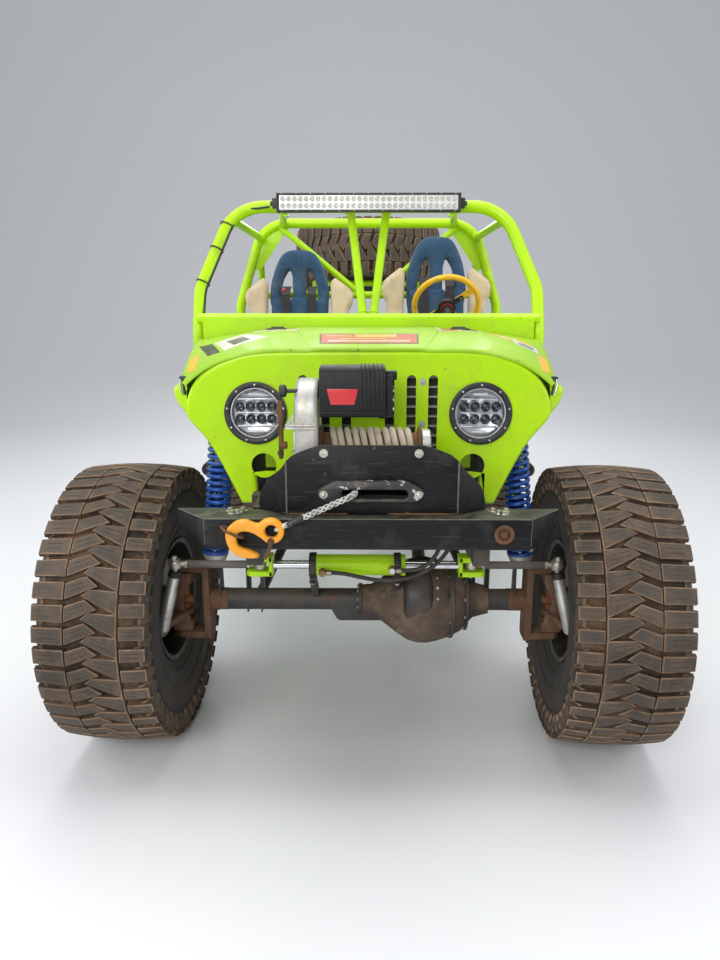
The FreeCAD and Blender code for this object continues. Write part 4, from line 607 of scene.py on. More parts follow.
def box(x0, x1, y0, y1, z0, z1):
    part = bmesh.new()
    bmesh.ops.create_cube(part, size=1)
    part.transform(Matrix.Translation(((x0 + x1) / 2, (y0 + y1) / 2, (z0 + z1) / 2))
                   @ Matrix.Diagonal((abs(x1 - x0), abs(y1 - y0), abs(z1 - z0), 1)))
    return part


def prism(points, depth):
    """A flat outline drawn out along depth."""
    count = len(points)
    depth = Vector(depth)
    corners = [Vector(point) for point in points]
    ends = [tuple(range(count)), tuple(range(2 * count - 1, count - 1, -1))]
    sides = [(i, i + count, (i + 1) % count + count, (i + 1) % count) for i in range(count)]
    part = shell_of(corners + [corner + depth for corner in corners], ends + sides)
    bmesh.ops.recalc_face_normals(part, faces=part.faces)
    return part


def bolt(centre, axis, size, height=None, washer=True):
    """A hex head on its washer, standing on centre and facing along axis."""
    height = height or size * 0.6
    part = turned([(0, 0), (0, size * 0.95), (size * 0.12, size * 0.95), (size * 0.12, size * 0.5)], centre,
                  axis, 16)
    head = turned([(size * 0.1, size * 0.56), (height * 0.85, size * 0.56), (height, size * 0.46),
                   (height, 0)], centre, axis, 6)
    spare = bpy.data.meshes.new("spare")
    head.to_mesh(spare)
    if not washer:
        part.free()
        part = bmesh.new()
    part.from_mesh(spare)
    bpy.data.meshes.remove(spare)
    head.free()
    return part


def rim_mesh():
    piece = Piece()
    face = 0.0183
    barrel = [(0.131, 0.2225), (0.1385, 0.224), (0.1405, 0.2205), (0.139, 0.212), (0.12, 0.2045),
              (0.07, 0.198), (0.046, 0.188), (-0.05, 0.186), (-0.105, 0.203), (-0.134, 0.208),
              (-0.1385, 0.224), (-0.131, 0.2215), (-0.122, 0.2125), (-0.06, 0.2125), (0.06, 0.2125),
              (0.122, 0.2125)]
    piece.add(turned_x(barrel, 64, closed=True), rim_paint)
    disc = turned_x([(face + 0.01, 0.02), (face + 0.012, 0.076), (face + 0.03, 0.092), (face + 0.03, 0.112),
                     (face + 0.006, 0.16), (face + 0.004, 0.187), (face, 0.187), (face, 0.155),
                     (face + 0.02, 0.11), (face + 0.02, 0.095), (face + 0.002, 0.078), (face, 0.02)], 64,
                    closed=True)
    piece.add(disc, rim_paint)
    # The eight holes are dark discs set on the dish, not openings: painted shade for the inside of each hole,
    # with mud patches on them.
    for index in range(8):
        turn = 2 * math.pi * index / 8
        spot = Vector((0, 0.134 * math.cos(turn), 0.134 * math.sin(turn)))
        hole_shade_disc = turned([(0, 0), (0, 0.019), (0.004, 0.0225), (0.004, 0.0195), (0.0012, 0.0175), (0.0012, 0)],
                      spot + Vector((face + 0.0185, 0, 0)), (1, 0, 0.0), 24)
        piece.add(hole_shade_disc, groove_rubber_and_hole_shade)
    for index in range(6):
        turn = 2 * math.pi * (index + 0.5) / 6
        spot = Vector((face + 0.012, 0.058 * math.cos(turn), 0.058 * math.sin(turn)))
        piece.add(bolt(spot, (1, 0, 0), 0.017, 0.018), bolt_steel)
    for index in range(28):
        turn = 2 * math.pi * (index + 0.25) / 28
        spot = Vector((0.14, 0.2165 * math.cos(turn), 0.2165 * math.sin(turn)))
        piece.add(bolt(spot, (1, 0, 0), 0.01, 0.006, washer=False), bolt_steel)
    cap = turned_x([(face + 0.01, 0.044), (face + 0.04, 0.041), (face + 0.046, 0.036), (face + 0.046, 0.03),
                    (face + 0.043, 0.028), (face + 0.043, 0)], 40)
    piece.add(cap, bolt_steel)
    shape = bpy.data.meshes.new("steel_rim")
    for part_face in piece.mesh.faces:
        part_face.smooth = True
    for edge in piece.mesh.edges:
        if len(edge.link_faces) == 2 and edge.calc_face_angle(0) > math.radians(35):
            edge.smooth = False
    piece.mesh.to_mesh(shape)
    piece.mesh.free()
    for finish in piece.finishes:
        shape.materials.append(finish)
    return shape


rim = rim_mesh()
for code, side, front in WHEELS:
    placed_copy(rim, "steel_rim_" + code, wheel_place(side, front), "wheel_" + code, "rim_" + code)
placed_copy(rim, "steel_rim_spare", SPARE_PLACE, "root", "spare_rim")
bpy.data.meshes.remove(rim)

# Cage: bent steel tube, welded at every joint and painted the body's lime green. The front hoop stands on
# plates at the tub's sides and leans back over the scuttle, and the main hoop stands behind the seats.
LIME = (0.425, 0.735, 0.001)
lime_tube = finish_of("lime_tube", LIME, 0.36, coat=0.12, vary=0.1, grain=70, bump=0.12, specular=0.3,
                      dirt=((0.3, 0.4, 0.03), 0.3, 6, 0.7), chips=((0.12, 0.13, 0.05), 0.14, 55, 0.6),
                      dust_up=((0.42, 0.6, 0.06), 0.3))
lime_body = finish_of("lime_body", LIME, 0.32, coat=0.15, vary=0.07, grain=26, bump=0.05, specular=0.3,
                      dirt=((0.33, 0.46, 0.03), 0.34, 3.2, 0.62), chips=((0.13, 0.15, 0.05), 0.1, 60, 0.6),
                      dust_up=((0.45, 0.62, 0.08), 0.35))
TUBE_D = 0.0508
LEG_X = 0.7047
HOOP_TOP_Z = 1.962


def rounded(points, bend_r, steps=10):
    """A path with each inner corner rounded to bend_r."""
    path = [Vector(points[0])]
    for before, corner, after in zip(points, points[1:], points[2:]):
        before, corner, after = Vector(before), Vector(corner), Vector(after)
        into, out = (corner - before).normalized(), (after - corner).normalized()
        turn = into.angle(out)
        if turn < 1e-4:
            path.append(corner)
            continue
        normal = into.cross(out).normalized()
        start = corner - into * (bend_r * math.tan(turn / 2))
        centre = start + normal.cross(into) * bend_r
        for step in range(steps + 1):
            path.append(centre + Matrix.Rotation(turn * step / steps, 3, normal) @ (start - centre))
    path.append(Vector(points[-1]))
    return path


def swept(path, radius, sides=20, closed=False, radii=None):
    """A round bar along a path."""
    path = [Vector(point) for point in path]
    count = len(path)
    part = bmesh.new()
    rings = []
    normal = None
    for index, point in enumerate(path):
        before = path[index - 1] if closed or index else point
        after = path[(index + 1) % count] if closed or index + 1 < count else point
        heading = (after - before).normalized()
        if normal is None:
            normal = heading.orthogonal().normalized()
        normal = (normal - heading * normal.dot(heading)).normalized()
        other = heading.cross(normal)
        size = radii[index] if radii else radius
        rings.append([part.verts.new(point + (normal * math.cos(2 * math.pi * k / sides)
                                              + other * math.sin(2 * math.pi * k / sides)) * size)
                      for k in range(sides)])
    pairs = list(zip(rings, rings[1:])) + ([(rings[-1], rings[0])] if closed else [])
    for ring, follower in pairs:
        shift = 0
        if closed and ring is rings[-1]:
            shift = min(range(sides), key=lambda k: (ring[0].co - follower[k].co).length)
        for k in range(sides):
            part.faces.new([ring[k], ring[(k + 1) % sides], follower[(k + 1 + shift) % sides],
                            follower[(k + shift) % sides]])
    if not closed:
        part.faces.new(rings[0][::-1])
        part.faces.new(rings[-1])
    bmesh.ops.recalc_face_normals(part, faces=part.faces)
    return part


def weld(centre, axis, radius, size=0.0045):
    """A weld bead round a joint: a ring of small overlapping ripples."""
    axis = Vector(axis).normalized()
    side = axis.orthogonal().normalized()
    other = axis.cross(side)
    count = 72
    path, radii = [], []
    for index in range(count):
        turn = 2 * math.pi * index / count
        path.append(Vector(centre) + (side * math.cos(turn) + other * math.sin(turn)) * radius)
        radii.append(size * (0.82 + 0.18 * math.cos(index * math.pi / 1.5)))
    return swept(path, size, 8, closed=True, radii=radii)


def hoop_y(z):
    """The front hoop stands upright and leans back above its bend."""
    return behind(0.568 + max(z - 1.46, 0) * 0.373)


def mirrored(points):
    """A half on the +X side, carried on to the other side."""
    return [(x, y, z) for x, y, z in points] + [(-x, y, z) for x, y, z in reversed(points)]


front_half = [(x, hoop_y(z), z) for x, z in [(LEG_X, 1.225), (LEG_X, 1.46), (LEG_X, 1.62),
                                                (0.569, HOOP_TOP_Z)]]
hoop = Piece()
hoop.add(swept(rounded(mirrored(front_half), 0.18), TUBE_D / 2, 28), lime_tube)
for side in (-1, 1):
    hoop.add(box(side * 0.679, side * LEG_X, behind(0.535), behind(0.601), 1.222, 1.3), lime_tube, 0.002)
hoop.done("front_hoop", "root", "green_tube", ["cage_front"])

MAIN_Y = behind(1.61)
main_half = [(x, MAIN_Y, z) for x, z in [(LEG_X, 0.895), (LEG_X, 1.55), (0.566, 1.98)]]
hoop = Piece()
hoop.add(swept(rounded(mirrored(main_half), 0.18), TUBE_D / 2, 28), lime_tube)
for side in (-1, 1):
    hoop.add(weld((side * LEG_X, MAIN_Y, 0.897), (0, 0, 1), TUBE_D / 2 + 0.001), lime_tube)
    corner = [(0.54, 1.953), (0.428, HOOP_TOP_Z), (0.59, 1.735), (0.632, 1.745)]
    sheet = prism([(side * x, MAIN_Y - 0.0025, z) for x, z in corner], (0, 0.005, 0))
    hoop.add(sheet, lime_tube, bevel=0.001)
hoop.done("main_hoop", "root", "green_tube", ["cage_main"])

# Braces: thinner tubes between the hoops, the narrow V over the scuttle, the crossed tubes behind the
# seats, the stays down to the tail and the tray that the spare lies on. All are welded and painted with
# the cage.
braces = Piece()


def brace(start, end, diameter, beads=(True, True)):
    """A straight tube with a weld bead at each end where beads says so."""
    start, end = Vector(start), Vector(end)
    braces.add(swept([start, end], diameter / 2, 20), lime_tube)
    along = (end - start).normalized()
    for point, way, wanted in [(start, along, beads[0]), (end, -along, beads[1])]:
        if wanted:
            braces.add(weld(point + way * (TUBE_D / 2 + 0.002), along, diameter / 2 + 0.001, 0.0035),
                       lime_tube)


for side in (-1, 1):
    brace((side * 0.572, hoop_y(1.905), 1.905), (side * 0.583, MAIN_Y, 1.905), 0.038)
    brace((side * 0.361, hoop_y(HOOP_TOP_Z), HOOP_TOP_Z), (side * 0.46, MAIN_Y, 1.98), 0.038)
    brace((side * 0.078, hoop_y(HOOP_TOP_Z), HOOP_TOP_Z), (side * 0.02, hoop_y(1.501), 1.501), 0.035)
    brace((side * 0.5, MAIN_Y, 1.98), (side * 0.04, MAIN_Y, 1.607), 0.035)
    brace((side * 0.59, MAIN_Y, 1.925), (side * 0.641, behind(2.093), 1.4), 0.038)
brace((-LEG_X + 0.019, MAIN_Y, 1.607), (LEG_X - 0.019, MAIN_Y, 1.607), 0.038, (False, False))


def tray_z(at):
    """The tray's height under the tilted spare."""
    tilt = math.radians(8)
    return 1.85 - (0.178 + 0.0003 + 0.019) / math.cos(tilt) - (at - 2.75) * math.tan(tilt)


for side in (-1, 1):
    braces.add(swept([(side * 0.35, behind(2.45), tray_z(2.45)), (side * 0.35, behind(3.05), tray_z(3.05))],
                     0.019, 20), lime_tube)
    for at in (2.469, 2.96):
        brace((side * 0.35, behind(at), 0.88), (side * 0.35, behind(at), tray_z(at)), 0.038)
for at in (2.469, 2.96):
    brace((-0.35, behind(at), tray_z(at)), (0.35, behind(at), tray_z(at)), 0.038, (False, False))
braces.done("cage_tubes", "root", "green_tube", ["cage_rails", "cage_vee", "spare_tray"])

# The lamp bar's lead: a thin black cable from the bar's end, held all the way down the inside of the hoop's
# leg by three plastic ties.
black_plastic = finish_of("black_plastic", (0.016, 0.016, 0.017), 0.46, vary=0.25, grain=200, bump=0.25,
                          dirt=((0.1, 0.085, 0.065), 0.28, 14, 0.85))
lead = Piece()
side_path = rounded([(-x, y, z) for x, y, z in front_half], 0.18, 8)
inner = []
for index, point in enumerate(side_path):
    before = side_path[max(index - 1, 0)]
    after = side_path[min(index + 1, len(side_path) - 1)]
    heading = (after - before).normalized()
    across = heading.cross(Vector((0, -1, 0))).normalized()
    if across.x < 0 and across.z > -0.2:
        across = -across
    inner.append(point + (Vector((0, -0.55, 0)) + (across if across.x > 0
                                                   or across.z < 0 else -across)).normalized()
                 * (TUBE_D / 2 + 0.004))
inner = [point for point in inner if point.z > 1.53]
top_y = hoop_y(HOOP_TOP_Z)
inner += [Vector((-0.47, top_y - 0.03, 1.952)), Vector((-0.415, top_y - 0.045, 1.958))]
lead.add(swept([Vector((-0.68, behind(0.568) - 0.004, 1.515))] + inner, 0.0042, 10), black_plastic)
for target in (1.665, 1.785, 1.885):
    point = min(range(len(side_path)), key=lambda k: abs(side_path[k].z - target))
    first, second = side_path[point], side_path[min(point + 1, len(side_path) - 1)]
    if abs(side_path[point].z - target) > 0.02:
        lower_point = max(k for k in range(len(side_path)) if side_path[k].z <= target)
        share = (target - side_path[lower_point].z) / (side_path[lower_point + 1].z
                                                       - side_path[lower_point].z)
        first = side_path[lower_point].lerp(side_path[lower_point + 1], share)
        second = side_path[lower_point + 1]
    heading = (second - first).normalized()
    ring = turned([(-0.0028, TUBE_D / 2 + 0.0005), (-0.0028, TUBE_D / 2 + 0.0045),
                   (0.0028, TUBE_D / 2 + 0.0045), (0.0028, TUBE_D / 2 + 0.0005)], first, heading, 32,
                  closed=True)
    lead.add(ring, black_plastic)
lead.done("lamp_lead", "root", "lamp_black")

# Front panel: one pressed steel sheet with its rim rolled back. Lamp holes, two smaller holes and six
# slots are cut in it, and it is sprayed lime.


def plate(outline, holes, thick, bevel=0.0008):
    """A flat sheet from a closed outline and its holes, in the plane of x and y, with thick along z."""
    curve = bpy.data.curves.new("plate", "CURVE")
    curve.dimensions = "2D"
    curve.fill_mode = "BOTH"
    curve.extrude = thick / 2 - bevel
    curve.bevel_depth = bevel
    curve.bevel_resolution = 1
    curve.offset = -bevel
    for ring in [outline] + list(holes):
        spline = curve.splines.new("POLY")
        spline.points.add(len(ring) - 1)
        for corner, (x, y) in zip(spline.points, ring):
            corner.co = (x, y, 0, 1)
        spline.use_cyclic_u = True
    owner = bpy.data.objects.new("plate", curve)
    shape = bpy.data.meshes.new_from_object(owner)
    part = bmesh.new()
    part.from_mesh(shape)
    bpy.data.objects.remove(owner)
    bpy.data.curves.remove(curve)
    bpy.data.meshes.remove(shape)
    bmesh.ops.remove_doubles(part, verts=part.verts, dist=1e-6)
    return part


def filled(outline, holes, thick):
    """The same kind of sheet with square edges, for a large outline with many holes."""
    rings = [[Vector((x, y, 0)) for x, y in ring] for ring in [outline] + list(holes)]
    spots = [spot for ring in rings for spot in ring]
    triangles = tessellate_polygon(rings)
    count = len(spots)
    lift = Vector((0, 0, thick / 2))
    faces = [tuple(corners) for corners in triangles]
    faces += [tuple(corner + count for corner in reversed(corners)) for corners in triangles]
    start = 0
    for ring in rings:
        for index in range(len(ring)):
            after = start + (index + 1) % len(ring)
            faces.append((start + index, after, after + count, start + index + count))
        start += len(ring)
    part = shell_of([spot + lift for spot in spots] + [spot - lift for spot in spots], faces)
    bmesh.ops.recalc_face_normals(part, faces=part.faces)
    return part


def facing_front(y):
    """Stands a flat sheet up, with its y upwards and its middle plane at this y."""
    return Matrix(((1, 0, 0, 0), (0, 0, -1, y), (0, 1, 0, 0), (0, 0, 0, 1)))


def ring_of(x, y, radius, count=40):
    """A round hole."""
    turns = [2 * math.pi * k / count for k in range(count)]
    return [(x + radius * math.cos(turn), y + radius * math.sin(turn)) for turn in turns]


def slot_ring(x, low, high, width):
    """An upright slot with round ends."""
    half, count = width / 2, 10
    top = [(x + half * math.cos(math.pi * k / count), high - half + half * math.sin(math.pi * k / count))
           for k in range(count + 1)]
    return top + [(2 * x - px, low + high - pz) for px, pz in top]


def eased(points, steps=6):
    """A smooth line through the points."""
    points = [Vector(point) for point in points]
    line = []
    for index in range(len(points) - 1):
        before = points[max(index - 1, 0)]
        first, second = points[index], points[index + 1]
        after = points[min(index + 2, len(points) - 1)]
        for step in range(steps):
            t = step / steps
            line.append(0.5 * (2 * first + (second - before) * t
                               + (2 * before - 5 * first + 4 * second - after) * t * t
                               + (3 * first - before - 3 * second + after) * t * t * t))
    return line + [points[-1]]


def inset(ring, depth):
    """The closed outline moved inwards by depth."""
    count = len(ring)
    area = sum(ring[k][0] * ring[(k + 1) % count][1] - ring[(k + 1) % count][0] * ring[k][1]
               for k in range(count))
    turn = 1 if area > 0 else -1
    moved = []
    for index in range(count):
        before, here, after = (Vector(ring[(index + step) % count]) for step in (-1, 0, 1))
        first = (here - before).normalized()
        second = (after - here).normalized()
        normal = (Vector((-first.y, first.x)) + Vector((-second.y, second.x))).normalized() * turn
        reach = depth / max(normal.dot(Vector((-first.y, first.x)) * turn), 0.4)
        moved.append(tuple(here + normal * reach))
    return moved


def skin(rows, closed=True, ends=False):
    """Faces between rows of points, each row a ring when closed."""
    count = len(rows[0])
    points = [Vector(point) for row in rows for point in row]
    faces = []
    for row in range(len(rows) - 1):
        for index in range(count if closed else count - 1):
            after = (index + 1) % count
            faces.append((row * count + index, row * count + after, (row + 1) * count + after,
                          (row + 1) * count + index))
    if ends:
        faces += [tuple(range(count))[::-1], tuple((len(rows) - 1) * count + k for k in range(count))]
    part = shell_of(points, faces)
    return cleaned(part)


PANEL_Y = behind(-0.168)
ROLL = 0.015
panel_side = [(0.333, 1.4182), (0.456, 1.392), (0.52, 1.3591), (0.56, 1.323), (0.585, 1.2774), (0.595, 1.228),
              (0.586, 1.1957), (0.515, 1.1026), (0.422, 0.912)]
crown = eased([(-x, z) for x, z in reversed(panel_side)] + [(0, 1.4205)] + panel_side, 7)
outline = [tuple(point) for point in crown] + [(0.372, 0.912), (0.372, 0.94), (0.372, 1.006), (0.34, 1.01)]
outline += [(-0.34, 1.01), (-0.372, 1.006), (-0.372, 0.94), (-0.372, 0.912)]
panel = Piece()
face_ring = inset(outline, ROLL)
holes = []
for side in (-1, 1):
    holes += [ring_of(side * 0.365, 1.219, 0.0825, 56), ring_of(side * 0.344, 1.044, 0.0415, 36)]
    holes += [slot_ring(side * x, 1.05, 1.342, 0.03) for x in (0.07, 0.14, 0.21)]
panel.add(filled(face_ring, holes, 0.004), lime_body, move=facing_front(PANEL_Y + 0.002))
rows = []
for step in range(7):
    turn = math.pi / 2 * step / 6
    rows.append([(x, PANEL_Y + ROLL * (1 - math.cos(turn)), z)
                 for x, z in inset(outline, ROLL * (1 - math.sin(turn)))])
for depth, deeper in [(0, 0.038), (0.004, 0.038), (0.004, ROLL), (0.008, 0.008), (ROLL, 0.004)]:
    rows.append([(x, PANEL_Y + deeper, z) for x, z in inset(outline, depth)])
panel.add(skin(rows), lime_body)
for side in (-1, 1):
    for x, z in ((0.176, 1.32), (0.176, 1.183)):
        panel.add(bolt((side * x, PANEL_Y, z), (0, -1, 0), 0.012, 0.005), bolt_steel)
panel.done("front_panel_sheet", "root", "green_paint", ["front_panel"], smooth=35)

# Bonnet: a crowned steel lid with a wide raised middle, turned down at both sides. It is hinged at the
# scuttle and held by a latch at each front corner. Old stickers lie on it.
bonnet_green = finish_of("bonnet_green", (0.285, 0.52, 0.016), 0.42, coat=0.08, vary=0.1, grain=40, bump=0.06,
                         dirt=((0.36, 0.5, 0.06), 0.46, 4.5, 0.75), chips=((0.1, 0.12, 0.04), 0.14, 46, 0.7),
                         dust_up=((0.38, 0.54, 0.07), 0.4), specular=0.3)
FRONT_ROW = [(0.0, -0.0055), (0.16, -0.0055), (0.195, -0.001), (0.3315, 0.0), (0.45, 0.0242), (0.521, 0.055),
             (0.571, 0.0902), (0.592, 0.11)]
REAR_ROW = [(0.0, 0.0), (0.262, 0.0), (0.3, 0.0075), (0.397, 0.009), (0.56, 0.0315), (0.649, 0.0465),
            (0.702, 0.0615), (0.7097, 0.15)]


def between(first, second, share):
    """The value at a share of the way."""
    return first + (second - first) * share


def bonnet_half(share, steps=5):
    """One half of a cross-section of the lid as (x, z), from the middle outwards."""
    width = between(0.592, 0.7097, share ** 0.6) / between(0.592, 0.7097, share)
    top = between(1.4233, 1.471, share) + 0.028 * share * (1 - share)
    row = [(between(x0, x1, share) * width, top - between(d0, d1, share))
           for (x0, d0), (x1, d1) in zip(FRONT_ROW, REAR_ROW)]
    return [tuple(point) for point in eased(row, steps)]


def bonnet_z(x, share):
    line = bonnet_half(share, 4)
    for (x0, z0), (x1, z1) in zip(line, line[1:]):
        if abs(x) <= x1:
            return between(z0, z1, (abs(x) - x0) / max(x1 - x0, 1e-6))
    return line[-1][1]


def bonnet_y(share):
    return behind(between(-0.168, 0.51, share))


lid = Piece()
rows = []
front_roll = [(0.0, 0.0095), (0.0003, 0.005), (0.0018, 0.002), (0.006, 0.0004)]
for share, sunk in front_roll + [(k / 26, 0) for k in range(1, 27)]:
    half = [(x, z - sunk) for x, z in bonnet_half(share)]
    rows.append([(-x, bonnet_y(share), z) for x, z in reversed(half[1:])]
                + [(x, bonnet_y(share), z) for x, z in half])
sheet = skin(rows, closed=False)
if sum(face.normal.z for face in sheet.faces) < 0:
    bmesh.ops.reverse_faces(sheet, faces=sheet.faces)
bmesh.ops.solidify(sheet, geom=sheet.faces[:], thickness=0.0035)
lid.add(sheet, bonnet_green)

vinyl = {}
for name, colour in [("white", (0.62, 0.61, 0.55)), ("black", (0.022, 0.022, 0.024)),
                     ("orange", (0.8, 0.42, 0.03)), ("red", (0.52, 0.055, 0.028)),
                     ("yellow", (0.72, 0.5, 0.05)), ("cream", (0.62, 0.57, 0.42)),
                     ("blue", (0.08, 0.16, 0.34))]:
    vinyl[name] = finish_of("vinyl_" + name, colour, 0.42, vary=0.16, grain=50, bump=0.08,
                            dirt=((0.34, 0.36, 0.16), 0.5, 26, 0.85), chips=((0.3, 0.42, 0.06), 0.3, 38, 0.6))


def sticker(corners, colour, lift=0.0007):
    """A thin film on the lid, given by four corners (x, distance behind the axle)."""
    columns, rises = 14, 6
    rows = []
    for row in range(rises + 1):
        line = []
        for column in range(columns + 1):
            s, t = column / columns, row / rises
            x = between(between(corners[0][0], corners[1][0], s), between(corners[3][0], corners[2][0], s), t)
            at = between(between(corners[0][1], corners[1][1], s), between(corners[3][1], corners[2][1], s),
                         t)
            line.append((x, behind(at), bonnet_z(x, (at + 0.168) / 0.678) + lift))
        rows.append(line)
    film = skin(rows, closed=False)
    if sum(face.normal.z for face in film.faces) < 0:
        bmesh.ops.reverse_faces(film, faces=film.faces)
    bmesh.ops.solidify(film, geom=film.faces[:], thickness=0.0005)
    lid.add(film, vinyl[colour])


def patch(x0, x1, at0, at1, colour, lift=0.0007):
    sticker([(x0, at0), (x1, at0), (x1, at1), (x0, at1)], colour, lift)


sticker([(-0.16, -0.09), (0.166, -0.088), (0.182, 0.172), (-0.176, 0.172)], "black")
sticker([(-0.154, -0.078), (0.16, -0.076), (0.175, 0.158), (-0.169, 0.158)], "red", 0.0011)
patch(-0.045, 0.1, 0.07, 0.145, "yellow", 0.0015)
patch(-0.15, -0.06, 0.09, 0.11, "yellow", 0.0015)
patch(-0.135, 0.14, -0.045, -0.02, "cream", 0.0015)
patch(-0.1, 0.06, 0.015, 0.035, "orange", 0.0015)
sticker([(-0.64, 0.27), (-0.582, 0.235), (-0.496, -0.057), (-0.54, -0.046)], "black")
sticker([(-0.572, 0.23), (-0.488, 0.404), (-0.357, 0.126), (-0.482, -0.05)], "white")
sticker([(-0.52, 0.19), (-0.47, 0.26), (-0.42, 0.12), (-0.465, 0.04)], "black", 0.0011)
sticker([(-0.468, 0.495), (-0.28, 0.495), (-0.268, 0.368), (-0.459, 0.4)], "cream")
sticker([(-0.44, 0.47), (-0.33, 0.47), (-0.325, 0.43), (-0.436, 0.44)], "white", 0.0011)
sticker([(0.267, 0.495), (0.448, 0.5), (0.455, 0.4), (0.262, 0.34)], "cream")
sticker([(0.29, 0.47), (0.35, 0.47), (0.35, 0.39), (0.285, 0.38)], "red", 0.0011)
sticker([(0.37, 0.47), (0.43, 0.48), (0.435, 0.42), (0.372, 0.41)], "black", 0.0011)
sticker([(0.47, 0.44), (0.6, 0.33), (0.615, 0.19), (0.507, 0.3)], "orange")
sticker([(0.49, 0.38), (0.56, 0.33), (0.57, 0.28), (0.505, 0.32)], "white", 0.0011)
sticker([(0.545, 0.29), (0.618, 0.2), (0.6, 0.08), (0.53, 0.15)], "white", 0.0009)
sticker([(0.56, 0.23), (0.6, 0.17), (0.59, 0.12), (0.548, 0.17)], "blue", 0.0013)
for side in (-1, 1):
    sticker([(side * 0.625, 0.06), (side * 0.588, 0.045), (side * 0.56, -0.15), (side * 0.594, -0.12)],
            "orange", 0.0009)

# A latch at each front corner is a black block with a zinc-plated strap; the hinges are at the rear edge.
zinc = finish_of("zinc", (0.56, 0.55, 0.5), 0.34, metal=0.95, vary=0.15, grain=120, bump=0.15,
                 dirt=((0.26, 0.19, 0.11), 0.42, 30, 0.8))
for side in (-1, 1):
    lid.add(box(side * 0.578, side * 0.617, behind(-0.142), behind(-0.11), 1.321, 1.334), black_plastic,
            0.003)
    lid.add(bolt((side * 0.588, behind(-0.142), 1.3275), (0, -1, 0), 0.01, 0.006, washer=False), zinc)
    for x0, x1, tone in ((0.612, 0.606, zinc), (0.6, 0.596, black_plastic)):
        lid.add(swept(eased([(side * x0, behind(-0.14), 1.326), (side * (x0 + 0.001), behind(-0.148), 1.305),
                             (side * x1, behind(-0.15), 1.276)], 4), 0.0036, 10), tone)
    lid.add(turned([(-0.026, 0), (-0.026, 0.0055), (0.026, 0.0055), (0.026, 0)],
                   (side * 0.367, behind(0.492), bonnet_z(0.367, 0.96) + 0.004), (1, 0, 0), 14),
            black_plastic)
    leaf = plate([(-0.04, -0.022), (0.04, -0.022), (0.034, 0.03), (-0.034, 0.03)],
                 [ring_of(-0.02, 0.0, 0.003, 10), ring_of(0.02, 0.0, 0.003, 10)], 0.003, 0.0006)
    leaf_spot = (side * 0.367, behind(0.462), bonnet_z(0.367, 0.93) + 0.0022)
    lid.add(leaf, black_plastic,
            move=Matrix.Translation(leaf_spot) @ Matrix.Rotation(math.radians(3.5), 4, "X"))
lid.done("bonnet_lid", "bonnet", "green_paint", ["bonnet"], smooth=28)

# Wings: a pressed sheet each side from the panel back to the tub, with a rolled top edge that stands proud
# beside the bonnet.
wings = Piece()
for side in (-1, 1):
    rows = []
    for at, swell in [(-0.146, 0.05), (-0.144, 0.5), (-0.139, 0.78),
                      (-0.131, 0.94)] + [(-0.12 + 0.081 * k, 1.0) for k in range(9)]:
        share = max(at + 0.12, 0) / 0.648
        reach = between(1.0, 1.75, share) * swell
        line = eased([(0.0, 1.318), (0.02, 1.315), (0.04, 1.305), (0.05, 1.29), (0.046, 1.266),
                      (0.033, 1.238), (0.014, 1.216), (0.0, 1.207)], 4)
        rows.append([(side * (0.591 + x * reach), behind(at), 1.262 + (z - 1.262) * (0.55 + 0.45 * swell))
                     for x, z in line])
    sheet = skin(rows, closed=False)
    if sum(face.normal.x * side for face in sheet.faces) < 0:
        bmesh.ops.reverse_faces(sheet, faces=sheet.faces)
    bmesh.ops.solidify(sheet, geom=sheet.faces[:], thickness=0.004)
    wings.add(sheet, lime_body)
wings.done("wing_sheets", "root", "green_paint", ["front_wings"], smooth=50)

# Cowl gap: a black strip along the middle of the scuttle's front edge, behind the bonnet, as painted shade
# for the dark gap between the bonnet and the scuttle.
cowl = Piece()
cowl_line = [(x, behind(0.655), 1.4835 - 0.12 * x * x)
             for x in (-0.207, -0.14, -0.07, 0.0, 0.07, 0.14, 0.207)]
cowl.add(swept(eased(cowl_line, 3), 0.006, 14), black_plastic)
cowl.done("cowl_gap_shade", "root", "lamp_black", [], smooth=50)

# Bumper: a channel folded from heavy black steel plate with swept ends, scratched down to rust on its lower
# edge. Two clusters of zinc bolts hold it to the rails.
black_steel = finish_of("black_steel", (0.0065, 0.007, 0.0085), 0.42, coat=0.0, vary=0.25, grain=60,
                        bump=0.18, specular=0.24, dirt=((0.065, 0.06, 0.05), 0.28, 7, 0.85),
                        chips=((0.15, 0.13, 0.1), 0.08, 30, 0.7),
                        lines=((0.16, 0.15, 0.14), 0.14, (0.5, 6, 7)), dust_up=((0.19, 0.2, 0.12), 0.6))
# Pale edge strips: partly worn paint, and partly a painted highlight along edges and folds where they catch
# the light.
edge_wear_and_highlight = finish_of("edge_wear_and_highlight", (0.16, 0.145, 0.12), 0.5, metal=0.4, vary=0.45, grain=120, bump=0.2,
                      dirt=((0.03, 0.03, 0.03), 0.55, 30, 0.6))


def inward(sheet, spot):
    """Turns an open sheet's faces so that they look away from a spot."""
    total = sum((face.calc_center_median() - Vector(spot)).dot(face.normal) * face.calc_area()
                for face in sheet.faces)
    if total < 0:
        bmesh.ops.reverse_faces(sheet, faces=sheet.faces)
    return sheet


def thick_sheet(rows, thick, spot):
    """A folded sheet from rows of points, thickened on the side of a spot."""
    sheet = inward(skin(rows, closed=False), spot)
    bmesh.ops.solidify(sheet, geom=sheet.faces[:], thickness=thick)
    return sheet


